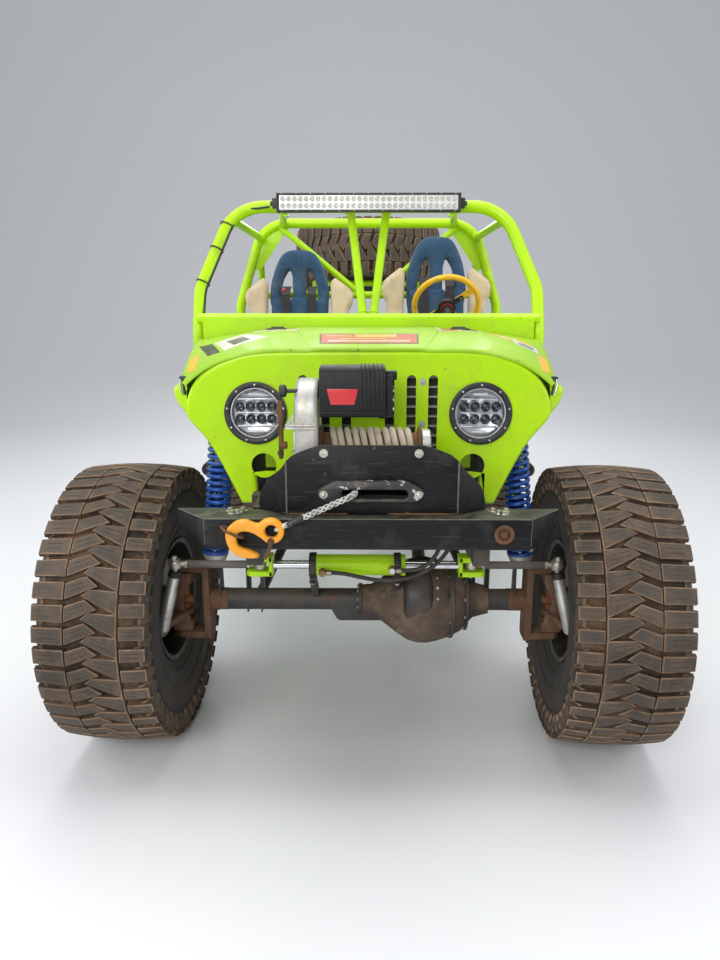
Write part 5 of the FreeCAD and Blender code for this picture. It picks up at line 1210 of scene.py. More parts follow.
bumper = Piece()
BUMPER_BACK, BUMPER_TOP = behind(-0.4), 0.964
BUMPER_END_X, BUMPER_FOLD_X = 0.5755, 0.473
rows = []
for x, at, low in [(-BUMPER_END_X, -0.4004, 0.912), (-BUMPER_FOLD_X, -0.512, 0.867),
                   (BUMPER_FOLD_X, -0.512, 0.867), (BUMPER_END_X, -0.4004, 0.912)]:
    y = behind(at)
    back = min(y + 0.012, BUMPER_BACK - 0.0002)
    rows.append([(x, BUMPER_BACK, BUMPER_TOP), (x, y, BUMPER_TOP), (x, y, low + 0.012), (x, back, low),
                 (x, BUMPER_BACK, low)])
bumper.add(thick_sheet(rows, 0.006, (0, BUMPER_BACK + 0.1, 0.915)), black_steel, bevel=0.0016)
for side in (-1, 1):
    for x, at in ((0.385, -0.455), (0.41, -0.435), (0.372, -0.432), (0.4, -0.462)):
        bumper.add(bolt((side * x, behind(at), 0.9645), (0, 0, 1), 0.014, 0.011), zinc)
    bumper.add(box(side * 0.33, side * 0.37, behind(-0.5), behind(-0.402), 0.88, 0.955), black_steel, 0.001)
# A pale strip along the top front edge and down each fold: worn paint and painted highlight.
edge = [(-BUMPER_END_X, -0.4012), (-BUMPER_FOLD_X, -0.5128), (BUMPER_FOLD_X, -0.5128),
        (BUMPER_END_X, -0.4012)]
bumper.add(swept([(x, behind(at), 0.9632) for x, at in edge], 0.0013, 8), edge_wear_and_highlight)
for x in (-BUMPER_FOLD_X, BUMPER_FOLD_X):
    bumper.add(swept([(x, behind(-0.5124), 0.962), (x, behind(-0.5124), 0.885)], 0.0011, 8), edge_wear_and_highlight)
bumper.done("bumper_plate", "root", "black_paint", ["front_bumper"], smooth=30)

# Guard: black plate folded back at both sides, bolted to the winch tray. It stands on the bumper in front
# of the drum, with a window for the rope.
guard = Piece()
GUARD_X, GUARD_Y, GUARD_HALF = 0.013, behind(-0.47), 0.25
TRAY_TOP = 0.97
corner = [tuple(point) for point in eased([(GUARD_HALF, 1.124), (0.232, 1.14), (0.21, 1.151), (0.184, 1.161),
                                           (0.148, 1.1715)], 4)]
guard_face = [(GUARD_HALF, BUMPER_TOP)] + corner + [(-x, z) for x, z in reversed(corner)]
guard_face += [(-GUARD_HALF, BUMPER_TOP)]
guard_face = [(x + GUARD_X, z) for x, z in guard_face]
window = [(-0.08, 1.014), (0.12, 1.014), (0.12, 1.05), (-0.08, 1.05)]
guard.add(plate(guard_face, [window], 0.006, 0.001), black_steel, move=facing_front(GUARD_Y + 0.003))
for side in (-1, 1):
    rows = []
    for t, top in [(0, 1.123), (0.15, 1.104), (0.35, 1.085), (0.55, 1.067), (0.8, 1.042), (0.93, 1.018),
                   (1, 0.985)]:
        x, y = GUARD_X + side * between(GUARD_HALF, 0.34, t), behind(between(-0.47, -0.41, t))
        rows.append([(x, y, BUMPER_TOP), (x, y, 0.975), (x, y, top)])
    guard.add(thick_sheet(rows, 0.006, (0, behind(0.2), 1.0)), black_steel, bevel=0.001)
    fold_x = GUARD_X + side * GUARD_HALF
    # A pale strip down the fold: worn paint and painted highlight.
    guard.add(swept([(fold_x, behind(-0.4695), 0.966), (fold_x, behind(-0.4695), 1.12)], 0.0028, 10),
              edge_wear_and_highlight)
    guard.add(bolt((side * 0.137 + 0.01, GUARD_Y, 1.148), (0, -1, 0), 0.0135, 0.008), zinc)
    guard.add(swept([(side * 0.06, behind(-0.4705), 0.967), (GUARD_X + side * 0.245, behind(-0.4705), 0.967)],
                    0.003, 8), iron_rust)
guard.add(box(-0.347, 0.347, behind(-0.41), behind(-0.2), BUMPER_TOP, TRAY_TOP), black_steel, 0.001)
guard.add(box(-GUARD_HALF, GUARD_HALF, GUARD_Y, behind(-0.41), BUMPER_TOP, TRAY_TOP), black_steel, 0.001)
guard.add(box(-0.14, 0.14, behind(-0.262), behind(-0.258), TRAY_TOP, 1.092), black_steel, 0.001)
for z in (1.0095, 1.0505):
    guard.add(box(-0.083, 0.123, behind(-0.466), behind(-0.434), z, z + 0.004), black_steel, 0.0008)
for x, at in ((0.2985, -0.2235), (0.265, -0.2255)):
    start = (x, behind(at), 0.938)
    guard.add(turned([(0, 0), (0, 0.0115), (0.009, 0.013), (0.026, 0.013), (0.026, 0)], start, (0, 0, 1), 6),
              zinc)
guard.done("winch_guard", "root", "black_paint", ["winch_plate"], smooth=35)

# Fairlead: a thick black alloy slot with rounded lips, worn pale where the rope rubs, on two bolts.
worn_alloy = finish_of("worn_alloy", (0.03, 0.03, 0.032), 0.38, metal=0.2, vary=0.2, grain=80, bump=0.12,
                       chips=((0.5, 0.49, 0.46), 0.42, 24, 0.35), dirt=((0.2, 0.16, 0.11), 0.3, 20, 0.8))
lead_plate = Piece()
nose = [(0.16, 1.024), (0.163, 1.036), (0.152, 1.05), (0.118, 1.068), (0.106, 1.071), (-0.09, 1.071),
        (-0.102, 1.068), (-0.136, 1.05), (-0.147, 1.036), (-0.144, 1.024), (-0.132, 1.0125), (-0.112, 1.007),
        (0.128, 1.007), (0.148, 1.0125)]
mouth = [(0.116 - 0.013 + 0.013 * math.cos(a), 1.032 + 0.013 * math.sin(a))
         for a in [math.pi * (k / 10 - 0.5) for k in range(11)]]
mouth += [(0.04 - x, 2.064 - z) for x, z in mouth]
lead_plate.add(plate(nose, [mouth], 0.0245, 0.005), worn_alloy, move=facing_front(behind(-0.4825)))
for x in (-0.127, 0.146):
    lead_plate.add(bolt((x, behind(-0.4952), 1.032), (0, -1, 0), 0.0125, 0.008), zinc)
lead_plate.done("fairlead_alloy", "root", "black_paint", ["fairlead"], smooth=50)

# Winch: the gear housing is a silver casting with a bolted flange, and the drum turns between it and a
# plain stand. Above the drum sits the motor's black plastic cover with ribs at one end.
cast_silver = finish_of("cast_silver", (0.52, 0.51, 0.48), 0.46, metal=0.55, vary=0.14, grain=170, bump=0.35,
                        dirt=((0.3, 0.25, 0.18), 0.38, 12, 0.85), chips=((0.26, 0.24, 0.2), 0.25, 34, 0.6))
housing = Piece()
DRUM_Y, DRUM_Z = behind(-0.33), 1.15
GEAR_R, GEAR_LOW, GEAR_TOP = 0.1, 0.9705, 1.25


def gear_ring(grow):
    """The gear housing's side view as (y, z), round at the top."""
    radius = GEAR_R + grow
    ring = [(DRUM_Y - GEAR_R - grow, GEAR_LOW)]
    ring += [(DRUM_Y - radius * math.cos(math.pi * k / 16), GEAR_TOP + radius * math.sin(math.pi * k / 16))
             for k in range(17)]
    return ring + [(DRUM_Y + GEAR_R + grow, GEAR_LOW)]


def across(x, ring):
    """A side view set at this x."""
    return [(x, y, z) for y, z in ring]


drum_side = [(-0.216, -0.018), (-0.212, -0.006), (-0.203, 0.0), (-0.162, 0.0), (-0.158, 0.0),
             (-0.147, -0.004)]
housing.add(skin([across(x, gear_ring(grow)) for x, grow in drum_side], ends=True), cast_silver,
            bevel=0.002)
for z in (1.211, 1.219):
    housing.add(box(-0.2395, -0.1475, behind(-0.4395), behind(-0.2205), z, z + 0.0068), cast_silver, 0.002)
for at in (-0.436, -0.4, -0.36, -0.3, -0.26, -0.224):
    housing.add(bolt((-0.216, behind(at), 1.15), (-1, 0, 0), 0.01, 0.005, washer=False), zinc)
for x in (-0.232, -0.155):
    housing.add(bolt((x, behind(-0.4355), 1.2258), (0, 0, 1), 0.01, 0.007), zinc)
for y in (-0.415, -0.385, -0.275, -0.245):
    housing.add(box(-0.218, -0.204, behind(y) - 0.003, behind(y) + 0.003, 0.985, 1.205), cast_silver, 0.0012)
stand = [(0.1, 0.9705), (0.1, 1.06), (0.045, 1.135), (-0.045, 1.135), (-0.1, 1.06), (-0.1, 0.9705)]
housing.add(skin([[(x, DRUM_Y - dy, z) for dy, z in stand] for x in (0.161, 0.186)], ends=True),
            cast_silver, bevel=0.003)
housing.add(turned([(0, 0), (0, 0.038), (0.004, 0.0445), (0.026, 0.0445), (0.0295, 0.038), (0.0295, 0.016),
                    (0.027, 0.0)], (0.1607, DRUM_Y, DRUM_Z), (1, 0, 0), 40), cast_silver)
for dy in (-0.082, 0.082):
    housing.add(swept([(-0.15, DRUM_Y + dy, 1.12), (0.163, DRUM_Y + dy, 1.12)], 0.0088, 16), zinc)
lever = [(0.0, 0.0), (0.022, 0.004), (0.03, 0.06), (0.026, 0.13), (0.014, 0.172), (0.0, 0.168), (0.004, 0.09)]
housing.add(prism([(-0.262, behind(-0.42) + y, 1.12 + z) for y, z in lever], (0.012, 0, 0)), iron_rust, 0.001)
housing.add(turned([(0, 0), (0, 0.012), (0.024, 0.011), (0.024, 0)], (-0.262, behind(-0.409), 1.16),
                   (1, 0, 0), 18), iron_rust)
for z in (1.135, 1.255):
    housing.add(bolt((-0.2625, behind(-0.404), z), (-1, 0, 0), 0.011, 0.005), iron_rust)
knob = turned([(0, 0), (0, 0.006), (0.03, 0.006), (0.032, 0.014), (0.036, 0.0185), (0.05, 0.0185),
               (0.053, 0.015), (0.053, 0)], (-0.206, behind(-0.395), 1.318), (-1, 0, 0), 24)
housing.add(knob, black_plastic)
housing.done("winch_castings", "root", "cast_metal", ["winch_housing"], smooth=38)

cover = Piece()
cover_black = finish_of("cover_black", (0.0095, 0.01, 0.0115), 0.46, vary=0.15, specular=0.3, grain=320,
                        bump=0.5, dirt=((0.11, 0.1, 0.08), 0.24, 11, 0.8))
COVER_FOOT = 1.262


def cover_ring(grow, x):
    """The motor cover's side view at this x."""
    ring = [(-0.44 - grow, COVER_FOOT), (-0.44 - grow, 1.372), (-0.434 - grow * 0.5, 1.384),
            (-0.424, 1.3885 + grow), (-0.316, 1.3885 + grow), (-0.305, 1.384), (-0.3, 1.374), (-0.3, 1.293),
            (-0.411, 1.2925), (-0.4115, 1.2455), (-0.432, 1.2455)]
    return [(x, behind(at), z) for at, z in ring]


cover.add(skin([cover_ring(0, x) for x in (-0.14, -0.136, -0.03, 0.047, 0.051)], ends=True), cover_black,
          bevel=0.004)
for index in range(6):
    x = -0.0235 + index * 0.0122
    cover.add(skin([[(px, behind(at), z) for at, z in
                     [(-0.4432, 1.266), (-0.4432, 1.372), (-0.436, 1.387), (-0.424, 1.3925), (-0.32, 1.3925),
                      (-0.32, 1.38), (-0.42, 1.38), (-0.432, 1.366), (-0.432, 1.266)]]
                    for px in (x, x + 0.0062)], ends=True), cover_black, bevel=0.0018)
cover.add(box(-0.1405, 0.0515, behind(-0.4425), behind(-0.43), 1.2585, 1.264), cover_black, 0.002)
badge = [(-0.1175, 1.3275), (-0.115, 1.329), (-0.031, 1.329), (-0.0285, 1.3275), (-0.0385, 1.286),
         (-0.041, 1.284), (-0.105, 1.284), (-0.1075, 1.286)]
badge_red = finish_of("badge_red", (0.56, 0.022, 0.024), 0.34, coat=0.4, vary=0.08, grain=60, bump=0.03)
cover.add(plate(badge, [], 0.0024, 0.0008), badge_red, move=facing_front(behind(-0.4405)))
cover.add(box(0.0515, 0.072, behind(-0.42), behind(-0.32), 1.25, 1.368), cover_black, 0.003)
cover.add(box(0.051, 0.084, behind(-0.4), behind(-0.36), 1.35, 1.376), cover_black, 0.004)
for z in (COVER_FOOT, 1.29, 1.318):
    cover.add(bolt((0.072, behind(-0.38), z), (1, 0, 0), 0.009, 0.005), zinc)
cover.add(box(-0.1475, -0.138, behind(-0.36), behind(-0.3), 1.2935, 1.333), cover_black, 0.002)
for points in ([(-0.06, -0.37, COVER_FOOT), (-0.05, -0.375, 1.232), (-0.01, -0.38, 1.222),
                (0.03, -0.375, 1.232), (0.036, -0.37, COVER_FOOT)],
               [(0.01, -0.36, COVER_FOOT), (0.026, -0.37, 1.215), (0.058, -0.375, 1.214),
                (0.062, -0.36, COVER_FOOT)]):
    cover.add(swept(eased([(x, behind(at), z + 0.03) for x, at, z in points], 6), 0.0055, 12), black_plastic)
cover.done("winch_cover", "root", "lamp_black", ["winch_box"], smooth=40)

# Rope: braided synthetic line, dusty beige on the drum and pale grey where it runs out through the
# fairlead. It is hooked tight to the bumper, and its end is spliced round the hook's eye with a dark
# sleeve.
rope_drum = finish_of("rope_drum", (0.46, 0.4, 0.31), 0.86, vary=0.25, grain=420, bump=0.9,
                      dirt=((0.2, 0.155, 0.1), 0.48, 22, 0.95))
rope_pale = finish_of("rope_pale", (0.6, 0.6, 0.57), 0.8, vary=0.18, grain=420, bump=0.8,
                      dirt=((0.28, 0.25, 0.2), 0.35, 26, 0.95))
rope_grey = finish_of("rope_grey", (0.16, 0.16, 0.155), 0.8, vary=0.25, grain=420, bump=0.8,
                      dirt=((0.1, 0.09, 0.07), 0.35, 26, 0.95))
drum = Piece()
drum.add(turned([(0.0, 0.0), (0.0, 0.055), (0.004, 0.055), (0.01, 0.05), (0.012, 0.034), (0.296, 0.034),
                 (0.298, 0.05), (0.303, 0.055), (0.307, 0.055), (0.307, 0.0)], (-0.147, DRUM_Y, DRUM_Z),
                (1, 0, 0), 48), iron_rust)
drum.done("winch_reel", "root", "steel", ["winch_drum"], smooth=35)
draw = random.Random(11)
line = []
turns = 11
for step in range(turns * 24 + 1):
    angle = 2 * math.pi * step / 24
    x = -0.108 + 0.25 * step / (turns * 24) - 0.006 * math.sin(angle) + 0.0012 * math.sin(angle / 2.3)
    radius = 0.0415 + 0.001 * math.sin(3 * angle / turns) + draw.uniform(-0.0002, 0.0002)
    line.append((min(max(x, -0.1255), 0.1385), DRUM_Y + radius * math.cos(angle),
                 1.15 + radius * math.sin(angle)))
rope = Piece()
rope.add(swept(line, 0.0098, 12), rope_drum)
run = rounded([(-0.035, DRUM_Y - 0.044, 1.15), (-0.035, behind(-0.425), 1.036),
               (-0.038, behind(-0.515), 1.036), (-0.232, behind(-0.538), 0.953)], 0.028, 8)
spaced = []
for first, second in zip(run, run[1:]):
    steps = max(int((second - first).length / 0.004), 1)
    spaced += [first.lerp(second, k / steps) for k in range(steps)]
spaced.append(run[-1])
rope.add(swept(spaced, 0.007, 12), rope_grey)
lengths = [0.0]
for first, second in zip(spaced, spaced[1:]):
    lengths.append(lengths[-1] + (second - first).length)
for strand in range(12):
    way = 1 if strand % 2 else -1
    path = []
    for index, point in enumerate(spaced):
        heading = (spaced[min(index + 1, len(spaced) - 1)] - spaced[max(index - 1, 0)]).normalized()
        up = heading.cross(Vector((0.3, 0.2, 0.93))).normalized()
        turn = way * lengths[index] * 2 * math.pi / 0.055 + strand * math.pi / 3
        reach = 0.007 + 0.0009 * math.cos(lengths[index] * 2 * math.pi / 0.0092 + strand * 2.1)
        path.append(point + (up * math.cos(turn) + heading.cross(up) * math.sin(turn)) * reach)
    rope.add(swept(path, 0.00215, 6), rope_grey if strand in (3, 8) else rope_pale)
away = (spaced[-1] - spaced[-12]).normalized()
sleeve_end = spaced[-1]
rope.add(swept([sleeve_end - away * 0.054, sleeve_end - away * 0.05, sleeve_end - away * 0.006, sleeve_end],
               0.0095, 18, radii=[0.0088, 0.01, 0.0094, 0.008]), black_plastic)
rope.add(swept([sleeve_end, sleeve_end + away * 0.004, sleeve_end + away * 0.03, sleeve_end + away * 0.036],
               0.0075, 18, radii=[0.0068, 0.0082, 0.008, 0.005]), zinc)
rope.done("winch_line", "root", "rope", ["winch_rope"], smooth=60)

# Hook: a thick forged plate with an eye, painted orange-yellow and worn, held to the bumper by the rope's
# pull. A rusty link hangs in its bowl and a rusty latch closes its mouth.
hook_orange = finish_of("hook_orange", (0.84, 0.34, 0.008), 0.36, coat=0.3, vary=0.1, grain=50, bump=0.1,
                        dirt=((0.45, 0.2, 0.04), 0.32, 22, 0.7), chips=((0.22, 0.11, 0.05), 0.16, 45, 0.7))
hook = Piece()
HOOK_Y = behind(-0.538)
profile = [(-0.391, 0.953), (-0.377, 0.964), (-0.362, 0.969), (-0.345, 0.97), (-0.332, 0.965), (-0.32, 0.96),
           (-0.309, 0.96), (-0.3, 0.967), (-0.288, 0.973), (-0.272, 0.975), (-0.257, 0.97), (-0.243, 0.957),
           (-0.238, 0.941), (-0.239, 0.925), (-0.247, 0.911), (-0.259, 0.902), (-0.275, 0.899),
           (-0.288, 0.902), (-0.299, 0.911), (-0.312, 0.921), (-0.325, 0.929), (-0.339, 0.934),
           (-0.354, 0.935), (-0.367, 0.931), (-0.374, 0.92), (-0.374, 0.906), (-0.369, 0.893),
           (-0.356, 0.885), (-0.34, 0.88), (-0.325, 0.873), (-0.313, 0.866), (-0.312, 0.859), (-0.32, 0.855),
           (-0.341, 0.8545), (-0.361, 0.857), (-0.378, 0.864), (-0.391, 0.876), (-0.4, 0.892), (-0.405, 0.91),
           (-0.406, 0.926), (-0.401, 0.942)]
shape = [tuple(point) for point in eased(profile + profile[:1], 3)]
hook.add(plate(shape[:-1], [ring_of(-0.274, 0.936, 0.0185, 32)], 0.026, 0.0075), hook_orange,
         move=facing_front(HOOK_Y))
link = [Vector((x, HOOK_Y + dy, z)) for x, dy, z in
        [(-0.418, 0.0, 0.947), (-0.405, -0.017, 0.941), (-0.385, -0.019, 0.932), (-0.364, -0.014, 0.921),
         (-0.357, 0.0, 0.917), (-0.364, 0.014, 0.921), (-0.385, 0.019, 0.932), (-0.405, 0.017, 0.941)]]
hook.add(swept(eased(link + link[:1], 4)[:-1], 0.0042, 10, closed=True), iron_rust)
latch = [(-0.274, HOOK_Y - 0.015, 0.908), (-0.279, HOOK_Y - 0.0165, 0.89), (-0.286, HOOK_Y - 0.014, 0.872),
         (-0.294, HOOK_Y - 0.011, 0.857)]
hook.add(swept(eased(latch, 5), 0.006, 12), iron_rust)
hook.add(bolt((-0.275, HOOK_Y - 0.013, 0.908), (0, -1, 0), 0.011, 0.005), iron_rust)
hook.done("forged_hook", "root", "orange_hook", ["tow_hook"], smooth=60)

ring = Piece()
RING_Y = behind(-0.512) - 0.0073
ring.add(swept([Vector((0.393 + 0.0222 * math.cos(2 * math.pi * k / 48), RING_Y,
                        0.92 + 0.0222 * math.sin(2 * math.pi * k / 48))) for k in range(48)], 0.007, 16,
               closed=True), iron_rust)
ring.add(turned([(0, 0.0), (0, 0.012), (0.006, 0.0135), (0.01, 0.009), (0.01, 0)],
                (0.393, behind(-0.5122), 0.92), (0, -1, 0), 20), iron_rust)
ring.done("tow_eye", "root", "iron", ["tow_rings"], smooth=60)

# Headlamps: black alloy rings held by nine screws. Behind a clear domed lens sit two rows of small
# projector lamps in a chromed bowl, with a white daytime bar above and below them.
chrome = finish_of("chrome", (0.72, 0.73, 0.75), 0.14, metal=1.0, vary=0.06, grain=40, bump=0.02,
                   dirt=((0.3, 0.27, 0.22), 0.22, 16, 0.6))
dark_chrome = finish_of("dark_chrome", (0.6, 0.61, 0.63), 0.36, metal=0.9, vary=0.25, grain=50, bump=0.05)
lamp_white = finish_of("lamp_white", (0.8, 0.79, 0.7), 0.35, vary=0.05, grain=60, bump=0.02)
dark_glass = finish_of("dark_glass", (0.03, 0.034, 0.042), 0.05, coat=1.0, vary=0.2, grain=40, bump=0.0)


def clear_cover(name):
    """Clear polycarbonate, a little hazy."""
    material = bpy.data.materials.new(name)
    nodes, links = node_tree(material)
    place = nodes.new("ShaderNodeTexCoord")
    haze = nodes.new("ShaderNodeTexNoise")
    haze.inputs["Scale"].default_value = 30
    links.new(place.outputs["Object"], haze.inputs["Vector"])
    spread = nodes.new("ShaderNodeMapRange")
    spread.inputs["To Min"].default_value = 0.02
    spread.inputs["To Max"].default_value = 0.12
    links.new(haze.outputs["Fac"], spread.inputs["Value"])
    shell = nodes.new("ShaderNodeBsdfPrincipled")
    shell.inputs["Base Color"].default_value = (0.93, 0.95, 0.97, 1)
    shell.inputs["Transmission Weight"].default_value = 1
    shell.inputs["IOR"].default_value = 1.12
    links.new(spread.outputs[0], shell.inputs["Roughness"])
    out = nodes.new("ShaderNodeOutputMaterial")
    links.new(shell.outputs[0], out.inputs["Surface"])
    return material


lens_clear = clear_cover("lens_clear")
rings = Piece()
lamps = Piece()
covers = Piece()
for side in (-1, 1):
    middle = Vector((side * 0.365, PANEL_Y, 1.219))
    rings.add(turned([(0.0005, 0.0828), (0.0005, 0.101), (0.0075, 0.1022), (0.0112, 0.099), (0.0118, 0.096),
                      (0.0118, 0.087), (0.0095, 0.084), (0.005, 0.0828)], middle, (0, -1, 0), 72,
                     closed=True), black_plastic)
    for index in range(9):
        turn = 2 * math.pi * (index + 0.25) / 9
        spot = middle + Vector((0.0925 * math.cos(turn), -0.0115, 0.0925 * math.sin(turn)))
        rings.add(bolt(spot, (0, -1, 0), 0.0062, 0.0022, washer=False), zinc)
    lamps.add(turned([(0.0035, 0.082), (0.0035, 0.0785), (-0.018, 0.074), (-0.026, 0.06), (-0.026, 0.0)],
                     middle, (0, -1, 0), 64), dark_chrome)
    lamps.add(turned([(-0.068, 0.0), (-0.068, 0.045), (-0.04, 0.08), (-0.002, 0.0818), (0.0035, 0.0818)],
                     middle, (0, -1, 0), 48), black_plastic)
    for z in (0.0205, -0.0205):
        for index in range(4):
            x = (index - 1.5) * 0.0345
            spot = middle + Vector((x, 0.02, z))
            lamps.add(turned([(0.0, 0.0168), (0.012, 0.0172), (0.0135, 0.016), (0.01, 0.0135),
                              (0.004, 0.0115)], spot, (0, -1, 0), 28), chrome)
            lamps.add(turned([(0.003, 0.0118), (0.0075, 0.0105), (0.0105, 0.007), (0.0118, 0.0)], spot,
                             (0, -1, 0), 24), dark_glass)
    for z in (-0.061, 0.061):
        lamps.add(box(middle.x - 0.024, middle.x + 0.024, PANEL_Y + 0.004, PANEL_Y + 0.012,
                      middle.z + z - 0.0036, middle.z + z + 0.0036), lamp_white, 0.0015)
    for z in (-0.0445, 0.0, 0.0445):
        lamps.add(box(middle.x - 0.062, middle.x + 0.062, PANEL_Y + 0.01, PANEL_Y + 0.02,
                      middle.z + z - 0.002, middle.z + z + 0.002), dark_chrome, 0.001)
    covers.add(turned([(0.004, 0.0822), (0.0042, 0.08), (0.0052, 0.06), (0.0058, 0.03), (0.006, 0.0)], middle,
                      (0, -1, 0), 64), lens_clear)
rings.done("lamp_rings", "root", "lamp_black", ["headlamp_rims"])
lamps.done("lamp_units", "root", "lens", ["lamp_lenses"], smooth=35)
covers.done("lamp_covers", "root", "lens")

# Lamp bar: a finned black extrusion with two rows of thirty diodes, each in its own silver cup on a bright
# plate. Its end brackets are bolted on, and two green lugs carry it on the front hoop.
bright_plate = finish_of("bright_plate", (0.8, 0.81, 0.82), 0.35, metal=0.25, vary=0.06, grain=60, bump=0.02)
bar = Piece()
BAR_BACK, BAR_Z, BAR_HALF = behind(0.702), 1.965, 0.377
face_y = BAR_BACK - 0.0745
section = [(0.0, 0.03), (0.01, 0.033), (0.012, 0.04), (0.017, 0.04), (0.019, 0.034), (0.026, 0.035),
           (0.028, 0.041), (0.033, 0.041), (0.035, 0.036), (0.042, 0.0425), (0.0738, 0.0425),
           (0.0745, 0.0415), (0.0745, 0.0345), (0.066, 0.0335)]
section = [(depth, rise * 0.84) for depth, rise in section]
ring_points = section + [(depth, -rise) for depth, rise in reversed(section)]
bar.add(skin([[(x, BAR_BACK - depth, BAR_Z + rise) for depth, rise in ring_points]
              for x in (-BAR_HALF + 0.007, BAR_HALF - 0.007)], ends=True), black_plastic)
bar.add(box(-BAR_HALF + 0.012, BAR_HALF - 0.012, face_y + 0.0078, face_y + 0.0098, BAR_Z - 0.0278,
            BAR_Z + 0.0278), bright_plate)
cup_silver = finish_of("cup_silver", (0.83, 0.84, 0.85), 0.22, metal=0.85, vary=0.08, grain=60, bump=0.03)
diode = finish_of("diode", (0.58, 0.57, 0.5), 0.3, coat=0.6, vary=0.1, grain=80, bump=0.0)
cup = turned([(0.0, 0.0044), (0.0015, 0.0054), (0.0052, 0.0082), (0.007, 0.0092), (0.0074, 0.0096)],
             (0, 0, 0), (0, -1, 0), 20)
cup_rim = turned([(0.0074, 0.0096), (0.008, 0.0099), (0.0078, 0.0091)], (0, 0, 0), (0, -1, 0), 20)
for row in (-1, 1):
    for index in range(30):
        spot = Matrix.Translation(((index - 14.5) * 0.0242, face_y + 0.0085, BAR_Z + row * 0.0132))
        bar.add(cup.copy(), cup_silver, move=spot)
        bar.add(cup_rim.copy(), dark_chrome, move=spot)
        bar.add(turned([(-0.0005, 0.0046), (0.0016, 0.0042), (0.003, 0.0026), (0.0034, 0)], (0, 0, 0),
                       (0, -1, 0), 12), diode, move=spot)
for side in (-1, 1):
    bar.add(box(side * (BAR_HALF - 0.0075), side * BAR_HALF, face_y, BAR_BACK - 0.006,
                BAR_Z - 0.0365, BAR_Z + 0.0365), black_plastic, 0.0014)
    for z in (-0.028, 0.028):
        bar.add(bolt((side * BAR_HALF, BAR_BACK - 0.06, BAR_Z + z), (side, 0, 0), 0.0065, 0.003,
                     washer=False), zinc)
    for index in range(13):
        x = (index - 6) * 0.059
        bar.add(bolt((x, face_y - 0.0001, BAR_Z + side * 0.0322), (0, -1, 0), 0.0042, 0.0016, washer=False),
                zinc)
    bar.add(box(side * BAR_HALF, side * (BAR_HALF + 0.02), BAR_BACK - 0.046, BAR_BACK - 0.012, BAR_Z - 0.02,
                BAR_Z + 0.02), black_plastic, 0.003)
    bar.add(turned([(0, 0), (0, 0.01), (0.008, 0.01), (0.01, 0.008), (0.01, 0)],
                   (side * (BAR_HALF + 0.0195), BAR_BACK - 0.029, BAR_Z), (side, 0, 0), 20), black_plastic)
    foot = [(0.0, -0.01), (0.0, 0.012), (0.05, 0.012), (0.066, 0.002), (0.066, -0.014), (0.05, -0.012)]
    bar.add(prism([(side * 0.332, BAR_BACK - 0.002 + dy, BAR_Z + dz) for dy, dz in foot],
                  (side * 0.022, 0, 0)), lime_tube, 0.0015)
    bar.add(box(side * 0.332, side * 0.354, BAR_BACK - 0.045, BAR_BACK + 0.004, BAR_Z - 0.052, BAR_Z - 0.042),
            lime_tube, 0.0012)
    bar.add(bolt((side * 0.343, BAR_BACK - 0.028, BAR_Z - 0.052), (0, 0, -1), 0.011, 0.006), zinc)
bar.done("lamp_bar", "root", "lamp_black", ["light_bar"], smooth=35)

# Radiator: flat silver tubes across the core behind the slots, with dark fins between them and a tank at
# each side.
core = Piece()
fin_dark = finish_of("fin_dark", (0.03, 0.028, 0.026), 0.6, metal=0.3, vary=0.3, grain=300, bump=0.5,
                     dirt=((0.16, 0.12, 0.08), 0.45, 18, 0.9))
core.add(box(-0.236, 0.236, behind(-0.106), behind(-0.066), 0.99, 1.38), fin_dark)
for index in range(12):
    z = 1.006 + index * 0.0325
    core.add(skin([[(x, behind(-0.119) + dy, z + dz) for dy,
                    dz in [(0.0, -0.0026), (0.0, 0.0026), (0.004, 0.0042), (0.05, 0.0042), (0.054, 0.0),
                           (0.05, -0.0042), (0.004, -0.0042)]] for x in (-0.238, 0.238)], ends=True),
             cast_silver)
for side in (-1, 1):
    core.add(box(side * 0.236, side * 0.27, behind(-0.12), behind(-0.06), 0.985, 1.385), cast_silver, 0.008)
core.done("radiator_core", "root", "cast_metal", ["radiator"], smooth=40)

# Steering ram: a lime cylinder held by two black clamps across the front of the axle. Brass-coloured
# fittings join the hoses to its ports, and its bright rod pushes a lime fork at each end.
RAM_Y, RAM_Z, RAM_X = behind(-0.15), 0.69, -0.035
brass = finish_of("brass", (0.4, 0.25, 0.13), 0.5, metal=0.7, vary=0.3, grain=90, bump=0.3,
                  dirt=((0.16, 0.09, 0.05), 0.5, 24, 0.85))
ram = Piece()
ram.add(turned([(0, 0.016), (0, 0.034), (0.003, 0.0375), (0.024, 0.0375), (0.026, 0.036), (0.304, 0.036),
                (0.306, 0.0375), (0.327, 0.0375), (0.33, 0.034), (0.33, 0.016)],
               (RAM_X - 0.165, RAM_Y, RAM_Z), (1, 0, 0), 48), lime_tube)
for x, z in ((-0.153, 0.68), (0.083, 0.69)):
    ram.add(turned([(0, 0.0), (0, 0.013), (0.014, 0.013), (0.016, 0.011), (0.016, 0.0)],
                   (x, RAM_Y - 0.034, z), (0, -1, 0), 6), brass)
    ram.add(turned([(0, 0.0), (0, 0.0105), (0.012, 0.0125), (0.015, 0.01), (0.015, 0)], (x, RAM_Y - 0.049, z),
                   (0, -1, 0), 18), brass if x < 0 else zinc)
ram.done("steering_cylinder", "root", "green_paint", ["steering_ram"], smooth=35)

